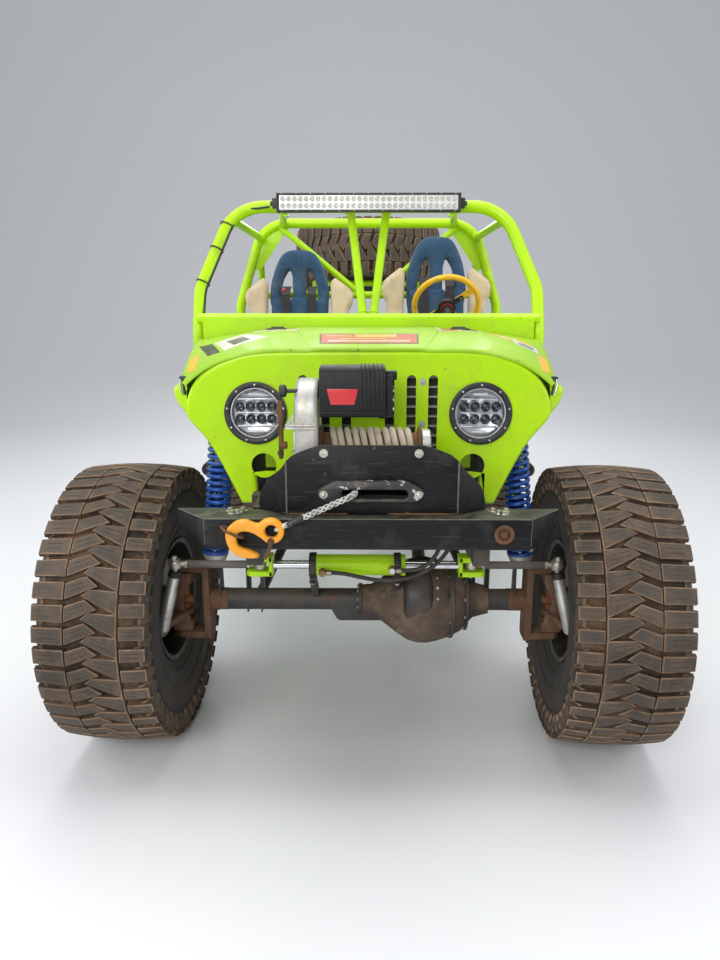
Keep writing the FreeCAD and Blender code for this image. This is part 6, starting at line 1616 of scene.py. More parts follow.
rod = Piece()
pins = {side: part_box("tie_rod_" + name) for side, name in ((-1, "right"), (1, "left"))}
rod_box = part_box("steering_rod")
joint_steel = finish_of("joint_steel", (0.5, 0.47, 0.4), 0.4, metal=0.85, vary=0.2, grain=90, bump=0.2,
                        dirt=((0.24, 0.15, 0.09), 0.42, 26, 0.85))
rod.add(swept([(rod_box[0][0] + 0.084, RAM_Y, RAM_Z), (rod_box[1][0] - 0.084, RAM_Y, RAM_Z)], 0.0148, 24),
        chrome)
for side, tip in ((-1, rod_box[0][0]), (1, rod_box[1][0])):
    for rise in (-1, 1):
        z0, z1 = RAM_Z + rise * 0.0175, RAM_Z + rise * 0.0345
        prong = [(tip, 0.018), (tip - side * 0.01, 0.0275), (tip - side * 0.088, 0.0275),
                 (tip - side * 0.088, -0.0275), (tip - side * 0.01, -0.0275), (tip, -0.018)]
        rod.add(prism([(x, RAM_Y + dy, z0) for x, dy in prong], (0, 0, z1 - z0)), lime_tube, 0.0015)
    rod.add(box(tip - side * 0.0895, tip - side * 0.0765, RAM_Y - 0.0275, RAM_Y + 0.0275, RAM_Z - 0.0347,
                RAM_Z + 0.0347), lime_tube, 0.0015)
for side in (-1, 1):
    for rise in (-1, 1):
        rod.add(bolt((side * 0.363 - 0.0065, RAM_Y, RAM_Z + rise * 0.0345), (0, 0, rise), 0.015, 0.011),
                joint_steel)
rod.done("steering_shaft", "steering_rod", "chrome", ["steering_rod"], smooth=35)

# Tie rods: grey tube with a threaded ball joint at each end and lock nuts behind the joints.
grey_tube = finish_of("grey_tube", (0.105, 0.1, 0.094), 0.62, metal=0.35, vary=0.3, grain=110, bump=0.35,
                      dirt=((0.26, 0.21, 0.15), 0.55, 12, 0.9), chips=((0.25, 0.11, 0.05), 0.25, 26, 0.85))
for name, side in (("right", -1), ("left", 1)):
    low, high = pins[side]
    inner_x = (high[0] if side < 0 else low[0]) + side * 0.023
    outer_x = (low[0] if side < 0 else high[0]) - side * 0.023
    centre_in = Vector((inner_x, (low[1] + high[1]) / 2, RAM_Z))
    centre_out = Vector((outer_x, (low[1] + high[1]) / 2, RAM_Z))
    tie = Piece()
    way = (centre_out - centre_in).normalized()
    tie.add(swept([centre_in + way * 0.044, centre_in + way * 0.046, centre_out - way * 0.046,
                   centre_out - way * 0.044], 0.0135, 24, radii=[0.0125, 0.0135, 0.0135, 0.0125]), grey_tube)
    for spot, back in ((centre_in, way), (centre_out, -way)):
        tie.add(turned([(-0.0148, 0.0108), (-0.0148, 0.0185), (-0.008, 0.0226), (0.008, 0.0226),
                        (0.0148, 0.0185), (0.0148, 0.0108)], spot, (0, 0, 1), 32, closed=True), joint_steel)
        tie.add(swept([spot + back * 0.0205, spot + back * 0.05], 0.0098, 16), joint_steel)
        tie.add(turned([(0, 0), (0, 0.0135), (0.009, 0.0135), (0.009, 0)], spot + back * 0.034, back, 6),
                joint_steel)
    for rise in (-1, 1):
        tie.add(turned([(0, 0.0), (0, 0.0115), (0.0018, 0.0115), (0.0022, 0.0)],
                       centre_in + Vector((0, 0, rise * 0.0146)), (0, 0, rise), 18), zinc)
    tie.done("tie_tube_" + name, "tie_rod_" + name, "steel", ["tie_rod_" + name], smooth=35)

# Springs and dampers: a bright body and rod inside a blue coil. Each coil is wound from round wire and sits
# between two collars, the lower one on a silver cup.
spring_blue = finish_of("spring_blue", (0.006, 0.072, 0.36), 0.36, coat=0.2, vary=0.15, grain=80, bump=0.1,
                        dirt=((0.2, 0.17, 0.12), 0.34, 16, 0.85), chips=((0.3, 0.26, 0.2), 0.14, 44, 0.7))
coils, bodies = Piece(), Piece()
WIRE_R, COIL_R, COIL_PITCH = 0.0078, 0.0395, 0.0245
COIL_END, END_TURN = 0.0082, 0.08
for axle_at, lean in ((0.0, 0.0), (WHEELBASE, -0.07)):
    for side in (-1, 1):
        foot = Vector((side * 0.56, behind(axle_at), 0.64))
        top = Vector((side * 0.5, behind(axle_at + lean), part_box("dampers")[1][2]))
        along = (top - foot).normalized()
        length = (top - foot).length
        low, high = foot + along * 0.052, foot + along * length * 0.86
        bodies.add(swept([foot, foot + along * length * 0.42], 0.0228, 24), chrome)
        bodies.add(swept([foot + along * length * 0.42, top], 0.012, 20), chrome)
        bodies.add(turned([(-0.044, 0.0), (-0.044, 0.03), (-0.034, 0.04), (-0.018, 0.0455), (-0.011, 0.0465),
                           (-0.011, 0.0)], low, along, 36), cast_silver)
        bodies.add(swept([foot + along * length * 0.6, top - along * 0.03], 0.0205, 24), bolt_steel)
        for spot, way in ((low, -1), (high, 1)):
            bodies.add(turned([(0, 0.0), (0, 0.0455), (0.002, 0.0478), (0.008, 0.0478), (0.01, 0.0455),
                               (0.01, 0)], spot, along * way, 36), spring_blue)
        first = along.orthogonal().normalized()
        second = along.cross(first)
        span = (high - low).length
        turns = span / COIL_PITCH
        path = []
        for step in range(int(turns * 22) + 1):
            t = step / (turns * 22)
            if t <= END_TURN:
                wound = END_TURN * (t / END_TURN) ** 1.6
            elif t < 1 - END_TURN:
                wound = t
            else:
                wound = 1 - END_TURN * ((1 - t) / END_TURN) ** 1.6
            climb = COIL_END + (span - 2 * COIL_END) * wound
            angle = 2 * math.pi * turns * t
            path.append(low + along * climb + (first * math.cos(angle) + second * math.sin(angle)) * COIL_R)
        coils.add(swept(path, WIRE_R, 12), spring_blue)
bodies.done("damper_bodies", "root", "damper", ["dampers"], smooth=40)
coils.done("coil_springs", "root", "spring_blue", ["springs"], smooth=60)

# Axles: a muddy casting with bolted flanges and two black covers stands off the centre line, with a tube to
# each side that is welded to the steering yokes in front and to the brake flanges at the back.
axle_black = finish_of("axle_black", (0.03, 0.029, 0.028), 0.52, vary=0.3, grain=70, bump=0.4,
                       dirt=((0.115, 0.08, 0.052), 0.46, 9, 0.92),
                       chips=((0.155, 0.062, 0.028), 0.26, 20, 0.9), dust_up=((0.165, 0.12, 0.082), 0.6))
frame_black = finish_of("frame_black", (0.026, 0.026, 0.026), 0.48, vary=0.3, grain=60, bump=0.25,
                        dirt=((0.135, 0.1, 0.066), 0.44, 6, 0.92), chips=((0.13, 0.06, 0.03), 0.16, 26, 0.9),
                        dust_up=((0.185, 0.14, 0.095), 0.7))
axle_rust = finish_of("axle_rust", (0.12, 0.058, 0.032), 0.85, vary=0.45, grain=110, bump=0.7,
                      dirt=((0.225, 0.15, 0.095), 0.5, 14, 0.95), chips=((0.035, 0.03, 0.028), 0.3, 16, 0.7))
muddy_cast = finish_of("muddy_cast", (0.088, 0.06, 0.042), 0.86, vary=0.4, grain=120, bump=0.7,
                       dirt=((0.225, 0.165, 0.11), 0.55, 11, 0.95),
                       chips=((0.04, 0.034, 0.03), 0.34, 13, 0.7))
TUBE_R = 0.04
DIFF_X = 0.2
DIFF_SHAPE = [(-0.031, 0.0), (-0.031, 0.05), (-0.01, 0.054), (0.014, 0.056), (0.04, 0.07), (0.066, 0.091),
              (0.11, 0.124), (0.146, 0.147), (0.18, 0.157), (0.215, 0.158), (0.25, 0.151), (0.303, 0.134),
              (0.34, 0.114), (0.362, 0.09), (0.385, 0.066), (0.42, 0.056), (0.44, 0.052), (0.44, 0.0)]


def axle_middle(axle, axle_y, nose):
    """The housing with its covers. nose is the side that the pinion points to, along Y."""
    middle = Vector((0, axle_y, AXLE_Z))
    axle.add(turned(DIFF_SHAPE, middle, (1, 0, 0), 56), muddy_cast)
    for x, radius, thick in ((-0.033, 0.058, 0.014), (0.296, 0.141, 0.013), (0.352, 0.112, 0.01)):
        axle.add(turned([(0, radius - 0.02), (0, radius), (thick, radius), (thick, radius - 0.02)],
                        middle + Vector((x, 0, 0)), (1, 0, 0), 48, closed=True), axle_black, 0.002)
        for index in range(10):
            turn = 2 * math.pi * (index + 0.4) / 10
            spot = middle + Vector((x, (radius - 0.008) * math.cos(turn), (radius - 0.008) * math.sin(turn)))
            axle.add(bolt(spot, (-1, 0, 0), 0.01, 0.006, washer=False), bolt_steel)
    for x, half, ahead, rise, radius in ((0.18, 0.0525, 0.06, 0.04, 0.1),
                                         (0.268, 0.025, 0.078, 0.045, 0.055)):
        axle.add(turned([(-half, 0.0), (-half, radius * 0.8), (-half * 0.86, radius * 0.93),
                         (-half * 0.6, radius), (half * 0.6, radius), (half * 0.86, radius * 0.93),
                         (half, radius * 0.8), (half, 0.0)], middle + Vector((x, -nose * ahead, rise)),
                        (1, 0, 0), 44), axle_black)
    for index in range(7):
        turn = math.radians(-70 + 28 * index)
        axle.add(bolt(middle + Vector((0.246, -nose * (0.06 + 0.074 * math.cos(turn)),
                                       0.04 + 0.082 * math.sin(turn))), (0, -nose, 0), 0.011, 0.01,
                      washer=False), bolt_steel)
    for x, z, size in ((0.062, 0.055, 0.02), (0.098, 0.082, 0.024), (0.33, 0.082, 0.022),
                       (0.12, -0.092, 0.018)):
        axle.add(turned([(0, size), (0.01, size * 0.9), (0.016, size * 0.55), (0.018, 0)],
                        middle + Vector((x, -nose * (0.062 if z > 0 else 0.1), z * 0.8)), (0, -nose, 0), 14),
                 muddy_cast, 0.001)
    middle = Vector((DIFF_X, axle_y, AXLE_Z))
    axle.add(turned([(0.1, 0.084), (0.125, 0.068), (0.155, 0.058), (0.172, 0.055), (0.175, 0.05),
                     (0.175, 0.0)], middle, (0, nose, 0), 40), muddy_cast)
    for index in range(4):
        turn = math.pi / 4 + math.pi / 2 * index
        rib = [(0.128, 0.056), (0.128, 0.094), (0.15, 0.07), (0.168, 0.056)]
        axle.add(prism([middle + Vector((math.cos(turn) * radius - math.sin(turn) * 0.005, nose * along,
                                         math.sin(turn) * radius + math.cos(turn) * 0.005)) for along,
                        radius in rib], (math.sin(turn) * 0.01, 0, -math.cos(turn) * 0.01)), muddy_cast)


def link_bracket(axle, x, axle_y, facing, low, high):
    """Two plates behind the tube, one each side of the links' bushes."""
    for off in (-0.0285, 0.0235):
        outline = [(0.0, low), (0.08, low), (0.092, low + 0.014), (0.092, high - 0.03), (0.076, high),
                   (0.0, high)]
        axle.add(prism([(x + off, axle_y + facing * dy, z) for dy, z in outline], (0.005, 0, 0)), axle_black,
                 0.0012)
    for rise in (low + 0.024, high - 0.024):
        for way, off in ((-1, -0.0285), (1, 0.0285)):
            axle.add(bolt((x + off, axle_y + facing * 0.062, rise), (way, 0, 0), 0.02, 0.01), joint_steel)


def axle_tube(axle, side, axle_y, reach):
    """The tube from the housing out to reach."""
    inner = 0.42 if side > 0 else -0.01
    axle.add(swept([(inner, axle_y, AXLE_Z), (side * reach, axle_y, AXLE_Z)], TUBE_R - 0.0005, 40),
             axle_black)


def spring_pad(axle, x, axle_y):
    """The damper's foot on the tube: a small top plate on two upright ones."""
    for off in (-0.0235, 0.0185):
        outline = [(-0.034, 0.508), (0.034, 0.508), (0.026, 0.634), (-0.026, 0.634)]
        axle.add(prism([(x + off, axle_y + dy, z) for dy, z in outline], (0.005, 0, 0)), axle_black, 0.001)
    axle.add(box(x - 0.033, x + 0.033, axle_y - 0.033, axle_y + 0.033, 0.632, 0.639), axle_rust, 0.002)


front = Piece()
front_y = behind(0)
for side in (-1, 1):
    axle_tube(front, side, front_y, 0.592)
    front.add(swept([(side * 0.515, front_y, AXLE_Z), (side * 0.6, front_y, AXLE_Z)], TUBE_R + 0.0008, 40),
              axle_rust)
    front.add(weld((side * 0.58, front_y, AXLE_Z), (1, 0, 0), TUBE_R + 0.002, 0.006), axle_rust)
    yoke = [(-0.045, 0.36), (-0.034, 0.35), (0.034, 0.35), (0.045, 0.36), (0.045, 0.632), (0.036, 0.64),
            (-0.036, 0.64), (-0.045, 0.632)]
    front.add(prism([(side * 0.578, front_y + dy, z) for dy, z in yoke], (side * 0.024, 0, 0)), axle_rust,
              0.003)
    for low, high in ((0.358, 0.384), (0.616, 0.642)):
        arm = [(0.59, -0.044), (0.69, -0.036), (0.708, -0.02), (0.712, 0.0), (0.708, 0.02), (0.69, 0.036),
               (0.59, 0.044)]
        front.add(prism([(side * x, front_y + dy, low) for x, dy in arm], (0, 0, high - low)), axle_rust,
                  0.003)
        for dy in (-0.014, 0.014):
            front.add(bolt((side * 0.663, front_y + dy, high if low > 0.5 else low),
                           (0, 0, 1 if low > 0.5 else -1), 0.011, 0.006, washer=False), bolt_steel)
    spring_pad(front, side * 0.56, front_y)
    link_bracket(front, side * 0.42, front_y, 1, 0.444, 0.612)
axle_middle(front, front_y, 1)
skid = [(-0.135, 0.478), (-0.112, 0.436), (-0.1, 0.43), (0.06, 0.43), (0.06, 0.5), (-0.135, 0.5)]
front.add(prism([(x, front_y - 0.038, z) for x, z in skid], (0, 0.076, 0)), frame_black, 0.003)
for x in (-0.188, 0.102):
    saddle = [(-0.1815, 0.64), (-0.1815, 0.652), (-0.172, 0.66), (-0.128, 0.66), (-0.1185, 0.652),
              (-0.1185, 0.634), (-0.03, 0.56), (-0.03, 0.52), (-0.06, 0.545), (-0.168, 0.63)]
    front.add(prism([(x - 0.011, behind(dy), z) for dy, z in saddle], (0.022, 0, 0)), axle_black, 0.0015)
    front.add(turned([(-0.012, 0.0368), (-0.012, 0.0425), (0.012, 0.0425), (0.012, 0.0368)],
                     (x, RAM_Y, RAM_Z), (1, 0, 0), 40, closed=True), black_plastic, 0.001)
    for dy in (-0.03, 0.03):
        front.add(bolt((x, RAM_Y + dy, 0.636), (0, 0, -1), 0.012, 0.008), bolt_steel)
front.done("front_axle_housing", "root", "axle_paint", ["front_axle"], smooth=35)

rear = Piece()
rear_y = behind(WHEELBASE)
for side in (-1, 1):
    axle_tube(rear, side, rear_y, 0.7)
    rear.add(turned([(0.69, 0.0), (0.69, 0.112), (0.705, 0.112), (0.705, 0.064), (0.752, 0.064),
                     (0.752, 0.144), (0.766, 0.144), (0.766, 0.065), (0.858, 0.064), (0.858, 0.0)],
                    (0, rear_y, AXLE_Z), (side, 0, 0), 56), axle_rust, 0.001)
    spring_pad(rear, side * 0.56, rear_y)
    link_bracket(rear, side * 0.42, rear_y, -1, 0.444, 0.612)
axle_middle(rear, rear_y, -1)
rear.done("rear_axle_housing", "root", "axle_paint", ["rear_axle"], smooth=35)

# Suspension links: black tubes with a threaded joint and a lock nut at each end, between the axles and the
# brackets of the frame.
run = Piece()
BELLY_CROSS_Z = 0.72
for start_y, facing, cross, upper in ((front_y, 1, 1.1, 0.65), (rear_y, -1, 1.62, 2.09)):
    for side in (-1, 1):
        for a, b in (((side * 0.42, start_y + facing * 0.062, 0.468),
                      (side * 0.25, behind(cross), BELLY_CROSS_Z)),
                     ((side * 0.42, start_y + facing * 0.062, 0.588), (side * 0.35, behind(upper), 0.745))):
            a, b = Vector(a), Vector(b)
            way = (b - a).normalized()
            run.add(swept([a + way * 0.055, b - way * 0.055], 0.0192, 28), axle_black)
            for spot, back in ((a, way), (b, -way)):
                run.add(swept([spot, spot + back * 0.07], 0.013, 20), joint_steel)
                run.add(turned([(0, 0), (0, 0.018), (0.014, 0.018), (0.014, 0)], spot + back * 0.042, back,
                               6), joint_steel)
run.done("suspension_links", "root", "steel", ["links"], smooth=35)

# Steering knuckles: cast uprights between the yoke's arms, with the wheel hub and a brake disc outside. A
# silver post stands on each arm and carries the tie rod, and the shaft's rusty joint turns inside.
post_silver = finish_of("post_silver", (0.62, 0.61, 0.58), 0.34, metal=0.75, vary=0.1, grain=60, bump=0.08,
                        dirt=((0.3, 0.22, 0.14), 0.38, 20, 0.85))
joint_rust = finish_of("joint_rust", (0.235, 0.082, 0.026), 0.75, metal=0.2, vary=0.4, grain=130, bump=0.5,
                       dirt=((0.11, 0.06, 0.035), 0.5, 24, 0.9))
disc_steel = finish_of("disc_steel", (0.3, 0.27, 0.24), 0.42, metal=0.85, vary=0.15, grain=60, bump=0.1,
                       lines=((0.14, 0.08, 0.05), 0.35, (1, 9, 9)), dirt=((0.2, 0.1, 0.05), 0.4, 14, 0.85))
REST_STEER = math.radians(-2.5)
KINGPIN_X = 0.68
for name, side in (("left", 1), ("right", -1)):
    kingpin = Vector((side * KINGPIN_X, front_y, 0))
    turn_in = (Matrix.Translation(kingpin) @ Matrix.Rotation(REST_STEER, 4, "Z")
               @ Matrix.Translation(-kingpin) @ Matrix.Diagonal((side, 1, 1, 1)))
    casting = Piece()
    for low, high in ((0.388, 0.425), (0.575, 0.612)):
        cap = [(0.643, -0.04), (0.655, -0.0415), (0.712, -0.0415), (0.7175, -0.034), (0.7175, 0.034),
               (0.712, 0.0415), (0.655, 0.0415), (0.643, 0.04)]
        casting.add(prism([(x, front_y + dy, low) for x, dy in cap], (0, 0, high - low)), axle_rust, 0.004,
                    move=turn_in)
    for y0, y1 in ((-0.0415, -0.026), (0.026, 0.0415)):
        cheek = [(0.65, 0.42), (0.717, 0.42), (0.717, 0.58), (0.65, 0.58), (0.65, 0.56), (0.668, 0.535),
                 (0.674, 0.5), (0.668, 0.465), (0.65, 0.44)]
        casting.add(prism([(x, front_y + y0, z) for x, z in cheek], (0, y1 - y0, 0)), axle_rust, 0.003,
                    move=turn_in)
    casting.add(turned([(0.704, 0.0), (0.704, 0.047), (0.74, 0.0475), (0.75, 0.042), (0.772, 0.042),
                        (0.78, 0.0475), (0.857, 0.0475), (0.858, 0.03), (0.858, 0.0)], (0, front_y, AXLE_Z),
                       (1, 0, 0), 48), axle_rust, 0.001, move=turn_in)
    casting.add(turned([(0.752, 0.044), (0.752, 0.143), (0.7535, 0.1445), (0.7645, 0.1445), (0.766, 0.143),
                        (0.766, 0.044)], (0, front_y, AXLE_Z), (1, 0, 0), 72, closed=True), disc_steel,
                move=turn_in)
    casting.add(swept([(0.644, front_y, AXLE_Z), (0.704, front_y, AXLE_Z)], 0.0165, 20), joint_rust,
                move=turn_in)
    casting.add(swept([(KINGPIN_X, front_y, 0.426), (KINGPIN_X, front_y, 0.574)], 0.013, 16), joint_rust,
                move=turn_in)
    for z in (0.47, 0.53):
        casting.add(turned([(-0.013, 0.0), (-0.013, 0.021), (0.013, 0.021), (0.013, 0.0)],
                           (KINGPIN_X, front_y, z), (0, 0, 1), 24), joint_rust, 0.002, move=turn_in)
    arm = [(0.646, 0), (0.716, 0), (0.741, -0.142), (0.733, -0.15), (0.707, -0.15), (0.699, -0.142)]
    casting.add(prism([(x, front_y + y, 0.4405) for x, y in arm], (0, 0, 0.025)), axle_rust, 0.004,
                move=turn_in)
    foot, top = Vector((0.72, front_y - 0.15, 0.441)), Vector((0.66, front_y - 0.15, 0.665))
    stem = (top - foot).normalized()
    casting.add(swept([foot, foot + stem * 0.006, foot + stem * 0.15, foot + stem * 0.16, top - stem * 0.022],
                      0.022, 32, radii=[0.019, 0.0222, 0.0222, 0.0195, 0.0195]), post_silver, move=turn_in)
    casting.add(turned([(-0.02, 0.0198), (-0.02, 0.0222), (-0.014, 0.0224), (-0.01, 0.0205), (-0.006, 0.0222),
                        (-0.001, 0.021), (0.001, 0.012)], top, stem, 32), black_plastic, move=turn_in)
    casting.add(swept([top - stem * 0.01, (0.66, front_y - 0.15, 0.672), (0.66, front_y - 0.15, 0.708)],
                      0.0098, 16), bolt_steel, move=turn_in)
    casting.add(bolt((0.66, front_y - 0.15, 0.7065), (0, 0, 1), 0.0185, 0.013, washer=True), joint_steel,
                move=turn_in)
    casting.done("knuckle_casting_" + name, "knuckle_" + name, "iron", ["knuckle_" + name], smooth=35)

# Seats: two bucket seats in navy cloth, with cream side wings and two slots for the harness. Each pad is
# a sewn cover over foam, on a shell with a box base.
navy_cloth = finish_of("navy_cloth", (0.016, 0.062, 0.135), 0.86, vary=0.16, grain=900, bump=0.35, sheen=0.25,
                       dirt=((0.1, 0.12, 0.14), 0.34, 7, 0.95))
cream_cloth = finish_of("cream_cloth", (0.6, 0.475, 0.315), 0.84, vary=0.1, grain=900, bump=0.3, sheen=0.2,
                        dirt=((0.27, 0.19, 0.12), 0.34, 9, 0.95), chips=((0.16, 0.1, 0.06), 0.1, 30, 0.9))
webbing = finish_of("webbing", (0.016, 0.016, 0.018), 0.75, vary=0.15, grain=700, bump=0.5, sheen=0.1,
                    dust_up=((0.12, 0.1, 0.08), 0.35))
buckle_red = finish_of("buckle_red", (0.42, 0.012, 0.03), 0.35, coat=0.4, vary=0.1)
CUSHION_Z = 1.12
CLOTH_FRAMES, CLOTH_PRESSURE = 20, 4
SEAM_HALF, SEAM_DEPTH = 0.008, 0.0035
SEAT_BACK_Y = behind(1.47)
SEAT_FRONT_Y = behind(0.98)


def stuffed(name, part, cap, finish, node, seams=(), voxel=0.0065):
    """A sewn pad: the closed form is blown up as cloth by at most cap, and its seams are drawn in afterwards.
    seams are lists of points on the front face."""
    thing = Piece().add(part, finish).done(name, "root", "seat", [node])

    def take(kind, **settings):
        change = thing.modifiers.new("step", kind)
        for key, value in settings.items():
            setattr(change, key, value)
        return change

    def keep():
        graph = bpy.context.evaluated_depsgraph_get()
        shape = bpy.data.meshes.new_from_object(thing.evaluated_get(graph))
        thing.modifiers.clear()
        thing.data = shape

    take("REMESH", mode="VOXEL", voxel_size=voxel, use_smooth_shade=True)
    keep()
    before = [vertex.co.copy() for vertex in thing.data.vertices]
    cloth = take("CLOTH")
    cloth.settings.use_pressure = True
    cloth.settings.uniform_pressure_force = CLOTH_PRESSURE
    cloth.settings.effector_weights.gravity = 0
    cloth.collision_settings.use_collision = False
    cloth.point_cache.frame_start = 1
    cloth.point_cache.frame_end = CLOTH_FRAMES
    for moment in range(1, CLOTH_FRAMES + 1):
        scene.frame_set(moment)
    keep()
    scene.frame_set(1)
    for vertex, start in zip(thing.data.vertices, before):
        shift = vertex.co - start
        if shift.length > cap:
            vertex.co = start + shift * (cap / shift.length)
    take("SMOOTH", iterations=3, factor=0.5)
    take("SUBSURF", levels=1)
    keep()
    for vertex in thing.data.vertices:
        near = min((distance_to(seam, vertex.co) for seam in seams), default=1)
        if near < SEAM_HALF:
            vertex.co -= vertex.normal * SEAM_DEPTH * (1 - near / SEAM_HALF) ** 1.5
    for face in thing.data.polygons:
        face.use_smooth = True
    if not thing.data.materials:
        thing.data.materials.append(finish)
    return thing


def distance_to(seam, point):
    """From a point to the nearest spot of a seam."""
    best = 1.0
    for start, end in zip(seam, seam[1:]):
        way = end - start
        share = max(0.0, min(1.0, (point - start).dot(way) / way.length_squared))
        best = min(best, (point - start - way * share).length)
    return best


def seat_height(top, share):
    """The height at a share of the backrest."""
    return CUSHION_Z + (top - CUSHION_Z) * share


for name, seat_x, top in (("left", 0.359, 1.933), ("right", -0.366, 1.864)):
    node = "seat_" + name
    lean = (Matrix.Translation((seat_x, SEAT_BACK_Y - 0.1, CUSHION_Z))
            @ Matrix.Rotation(math.radians(-8), 4, "X") @ Matrix.Translation((0, 0, -CUSHION_Z)))
    half = [(0.14, 0.03), (0.158, 0.25), (0.16, 0.45), (0.153, 0.7), (0.138, 0.8), (0.118, 0.885),
            (0.088, 0.955), (0.05, 0.984), (0.0, 0.988)]
    outline = [(x, seat_height(top, share)) for x, share in half]
    outline += [(-x, z) for x, z in reversed(outline[:-1])]
    opening = [(0.032, 0.655), (0.07, 0.64), (0.106, 0.655), (0.105, 0.72), (0.088, 0.8), (0.06, 0.85),
               (0.044, 0.845), (0.032, 0.8)]
    holes = [eased([(way * x, seat_height(top, share)) for x, share in opening], 3) for way in (1, -1)]
    middle = lean @ facing_front(0.05)
    seams = [[lean @ Vector((x, 0.004, z)) for x, z in ((-0.03, seat_height(top, 0.62)),
                                                        (0.0, seat_height(top, 0.6)),
                                                        (0.03, seat_height(top, 0.62)))],
             [lean @ Vector((x, 0.004, seat_height(top, 0.3))) for x in (-0.15, -0.05, 0.05, 0.15)],
             [lean @ Vector((0.012, 0.004, seat_height(top, share))) for share in (0.86, 0.9, 0.94, 0.98)],
             [lean @ Vector((-0.012, 0.004, seat_height(top, share))) for share in (0.86, 0.9, 0.94, 0.98)]]
    back = plate(eased(outline, 4), holes, 0.078, 0.01)
    back.transform(middle)
    stuffed("seat_back_" + name, back, 0.012, navy_cloth, node, seams)
    for way in (-1, 1):
        wing = [(0.162, 0.3), (0.205, 0.285), (0.25, 0.345), (0.266, 0.45), (0.272, 0.548), (0.286, 0.592),
                (0.292, 0.648), (0.276, 0.704), (0.215, 0.755), (0.183, 0.782), (0.162, 0.745)]
        side_pad = plate(eased([(way * x, seat_height(top, share)) for x, share in wing], 3), (), 0.055,
                         0.008)
        side_pad.transform(lean @ facing_front(0.034))
        stuffed("seat_wing_" + name + ("_a" if way < 0 else "_b"), side_pad, 0.01, cream_cloth, node,
                voxel=0.006)
    cushion = box(seat_x - 0.132, seat_x + 0.132, SEAT_FRONT_Y + 0.012, SEAT_BACK_Y - 0.106, 0.985, 1.108)
    bmesh.ops.subdivide_edges(cushion, edges=cushion.edges, cuts=3, use_grid_fill=True)
    stuffed("seat_cushion_" + name, cushion, 0.01, navy_cloth, node, voxel=0.009)
    for way in (-1, 1):
        roll = box(seat_x + way * 0.145, seat_x + way * 0.192, SEAT_FRONT_Y + 0.01, SEAT_BACK_Y - 0.012,
                   0.985, 1.168)
        bmesh.ops.subdivide_edges(roll, edges=roll.edges, cuts=3, use_grid_fill=True)
        stuffed("seat_bolster_" + name + ("_a" if way < 0 else "_b"), roll, 0.008, cream_cloth, node,
                voxel=0.009)
    base = Piece()
    base.add(box(seat_x - 0.198, seat_x + 0.198, SEAT_FRONT_Y + 0.004, SEAT_BACK_Y - 0.004, 0.962, 0.99),
             black_plastic, 0.01)
    foot_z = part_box(node)[0][2]
    base.add(box(seat_x - 0.158, seat_x + 0.158, SEAT_FRONT_Y + 0.044, SEAT_BACK_Y - 0.044, foot_z + 0.001,
                 0.963), black_steel, 0.006)
    back_plate = [(-0.12, CUSHION_Z - 0.1), (0.12, CUSHION_Z - 0.1), (0.132, seat_height(top, 0.55)),
                  (-0.132, seat_height(top, 0.55))]
    base.add(prism([lean @ Vector((x, 0.092, z)) for x, z in back_plate],
                   lean.to_3x3() @ Vector((0, 0.007, 0))), black_plastic, 0.003)
    base.done("seat_base_" + name, "root", "seat", [node])
    belts = Piece()
    for way in (-1, 1):
        spine = [Vector((way * 0.068, 0.115, seat_height(top, 0.74))),
                 Vector((way * 0.068, 0.085, seat_height(top, 0.735))),
                 Vector((way * 0.068, 0.03, seat_height(top, 0.71))),
                 Vector((way * 0.068, -0.012, seat_height(top, 0.66))),
                 Vector((way * 0.066, -0.016, seat_height(top, 0.45))),
                 Vector((way * 0.055, -0.018, seat_height(top, 0.2))),
                 Vector((way * 0.03, -0.04, seat_height(top, 0.055)))]
        rows = []
        for index, point in enumerate(spine):
            ahead = spine[min(index + 1, len(spine) - 1)] - spine[max(index - 1, 0)]
            out = Vector((1, 0, 0)).cross(ahead).normalized() * 0.0014
            rows.append([lean @ (point + Vector((dx, 0, 0)) + out * up) for dx,
                         up in ((-0.023, 1), (0.023, 1), (0.023, -1), (-0.023, -1))])
        belts.add(skin(rows, ends=True), webbing)
        belts.add(box(-0.026, 0.026, -0.004, 0.004, -0.02, 0.02), chrome, 0.002,
                  move=lean @ Matrix.Translation((way * 0.067, -0.02, seat_height(top, 0.42))))
    if name == "right":
        belts.add(turned([(0, 0.0), (0.001, 0.009), (0.006, 0.0125), (0.014, 0.0135), (0.022, 0.0115),
                          (0.026, 0.006), (0.027, 0.0)],
                         lean @ Vector((-0.082, 0.026, seat_height(top, 0.695))), (0, -1, 0), 24), buckle_red)
    belts.done("harness_" + name, "root", "seat")

# Steering wheel: a yellow rim with three drilled spokes on a black hub, on a black column. The wheel stands
# partly turned, so only one spoke shows above the scuttle.
wheel_yellow = finish_of("wheel_yellow", (0.86, 0.46, 0.008), 0.42, coat=0.2, vary=0.08, grain=200, bump=0.1,
                         dirt=((0.2, 0.13, 0.05), 0.26, 18, 0.8))
WHEEL_CENTRE = Vector((0.382, behind(1.14), 1.556))
COLUMN = Vector((0, math.cos(math.radians(35)), math.sin(math.radians(35))))
RIM_UP = Vector((0, -math.sin(math.radians(35)), math.cos(math.radians(35))))
flat = Matrix((Vector((1, 0, 0)), RIM_UP, COLUMN)).transposed().to_4x4()
flat.translation = WHEEL_CENTRE
steer = Piece()
RIM_R = 0.156
grip = [(RIM_R * math.cos(2 * math.pi * k / 72), RIM_R * math.sin(2 * math.pi * k / 72), 0)
        for k in range(72)]
steer.add(swept([flat @ Vector(point) for point in grip], 0.0138, 24, closed=True), wheel_yellow)
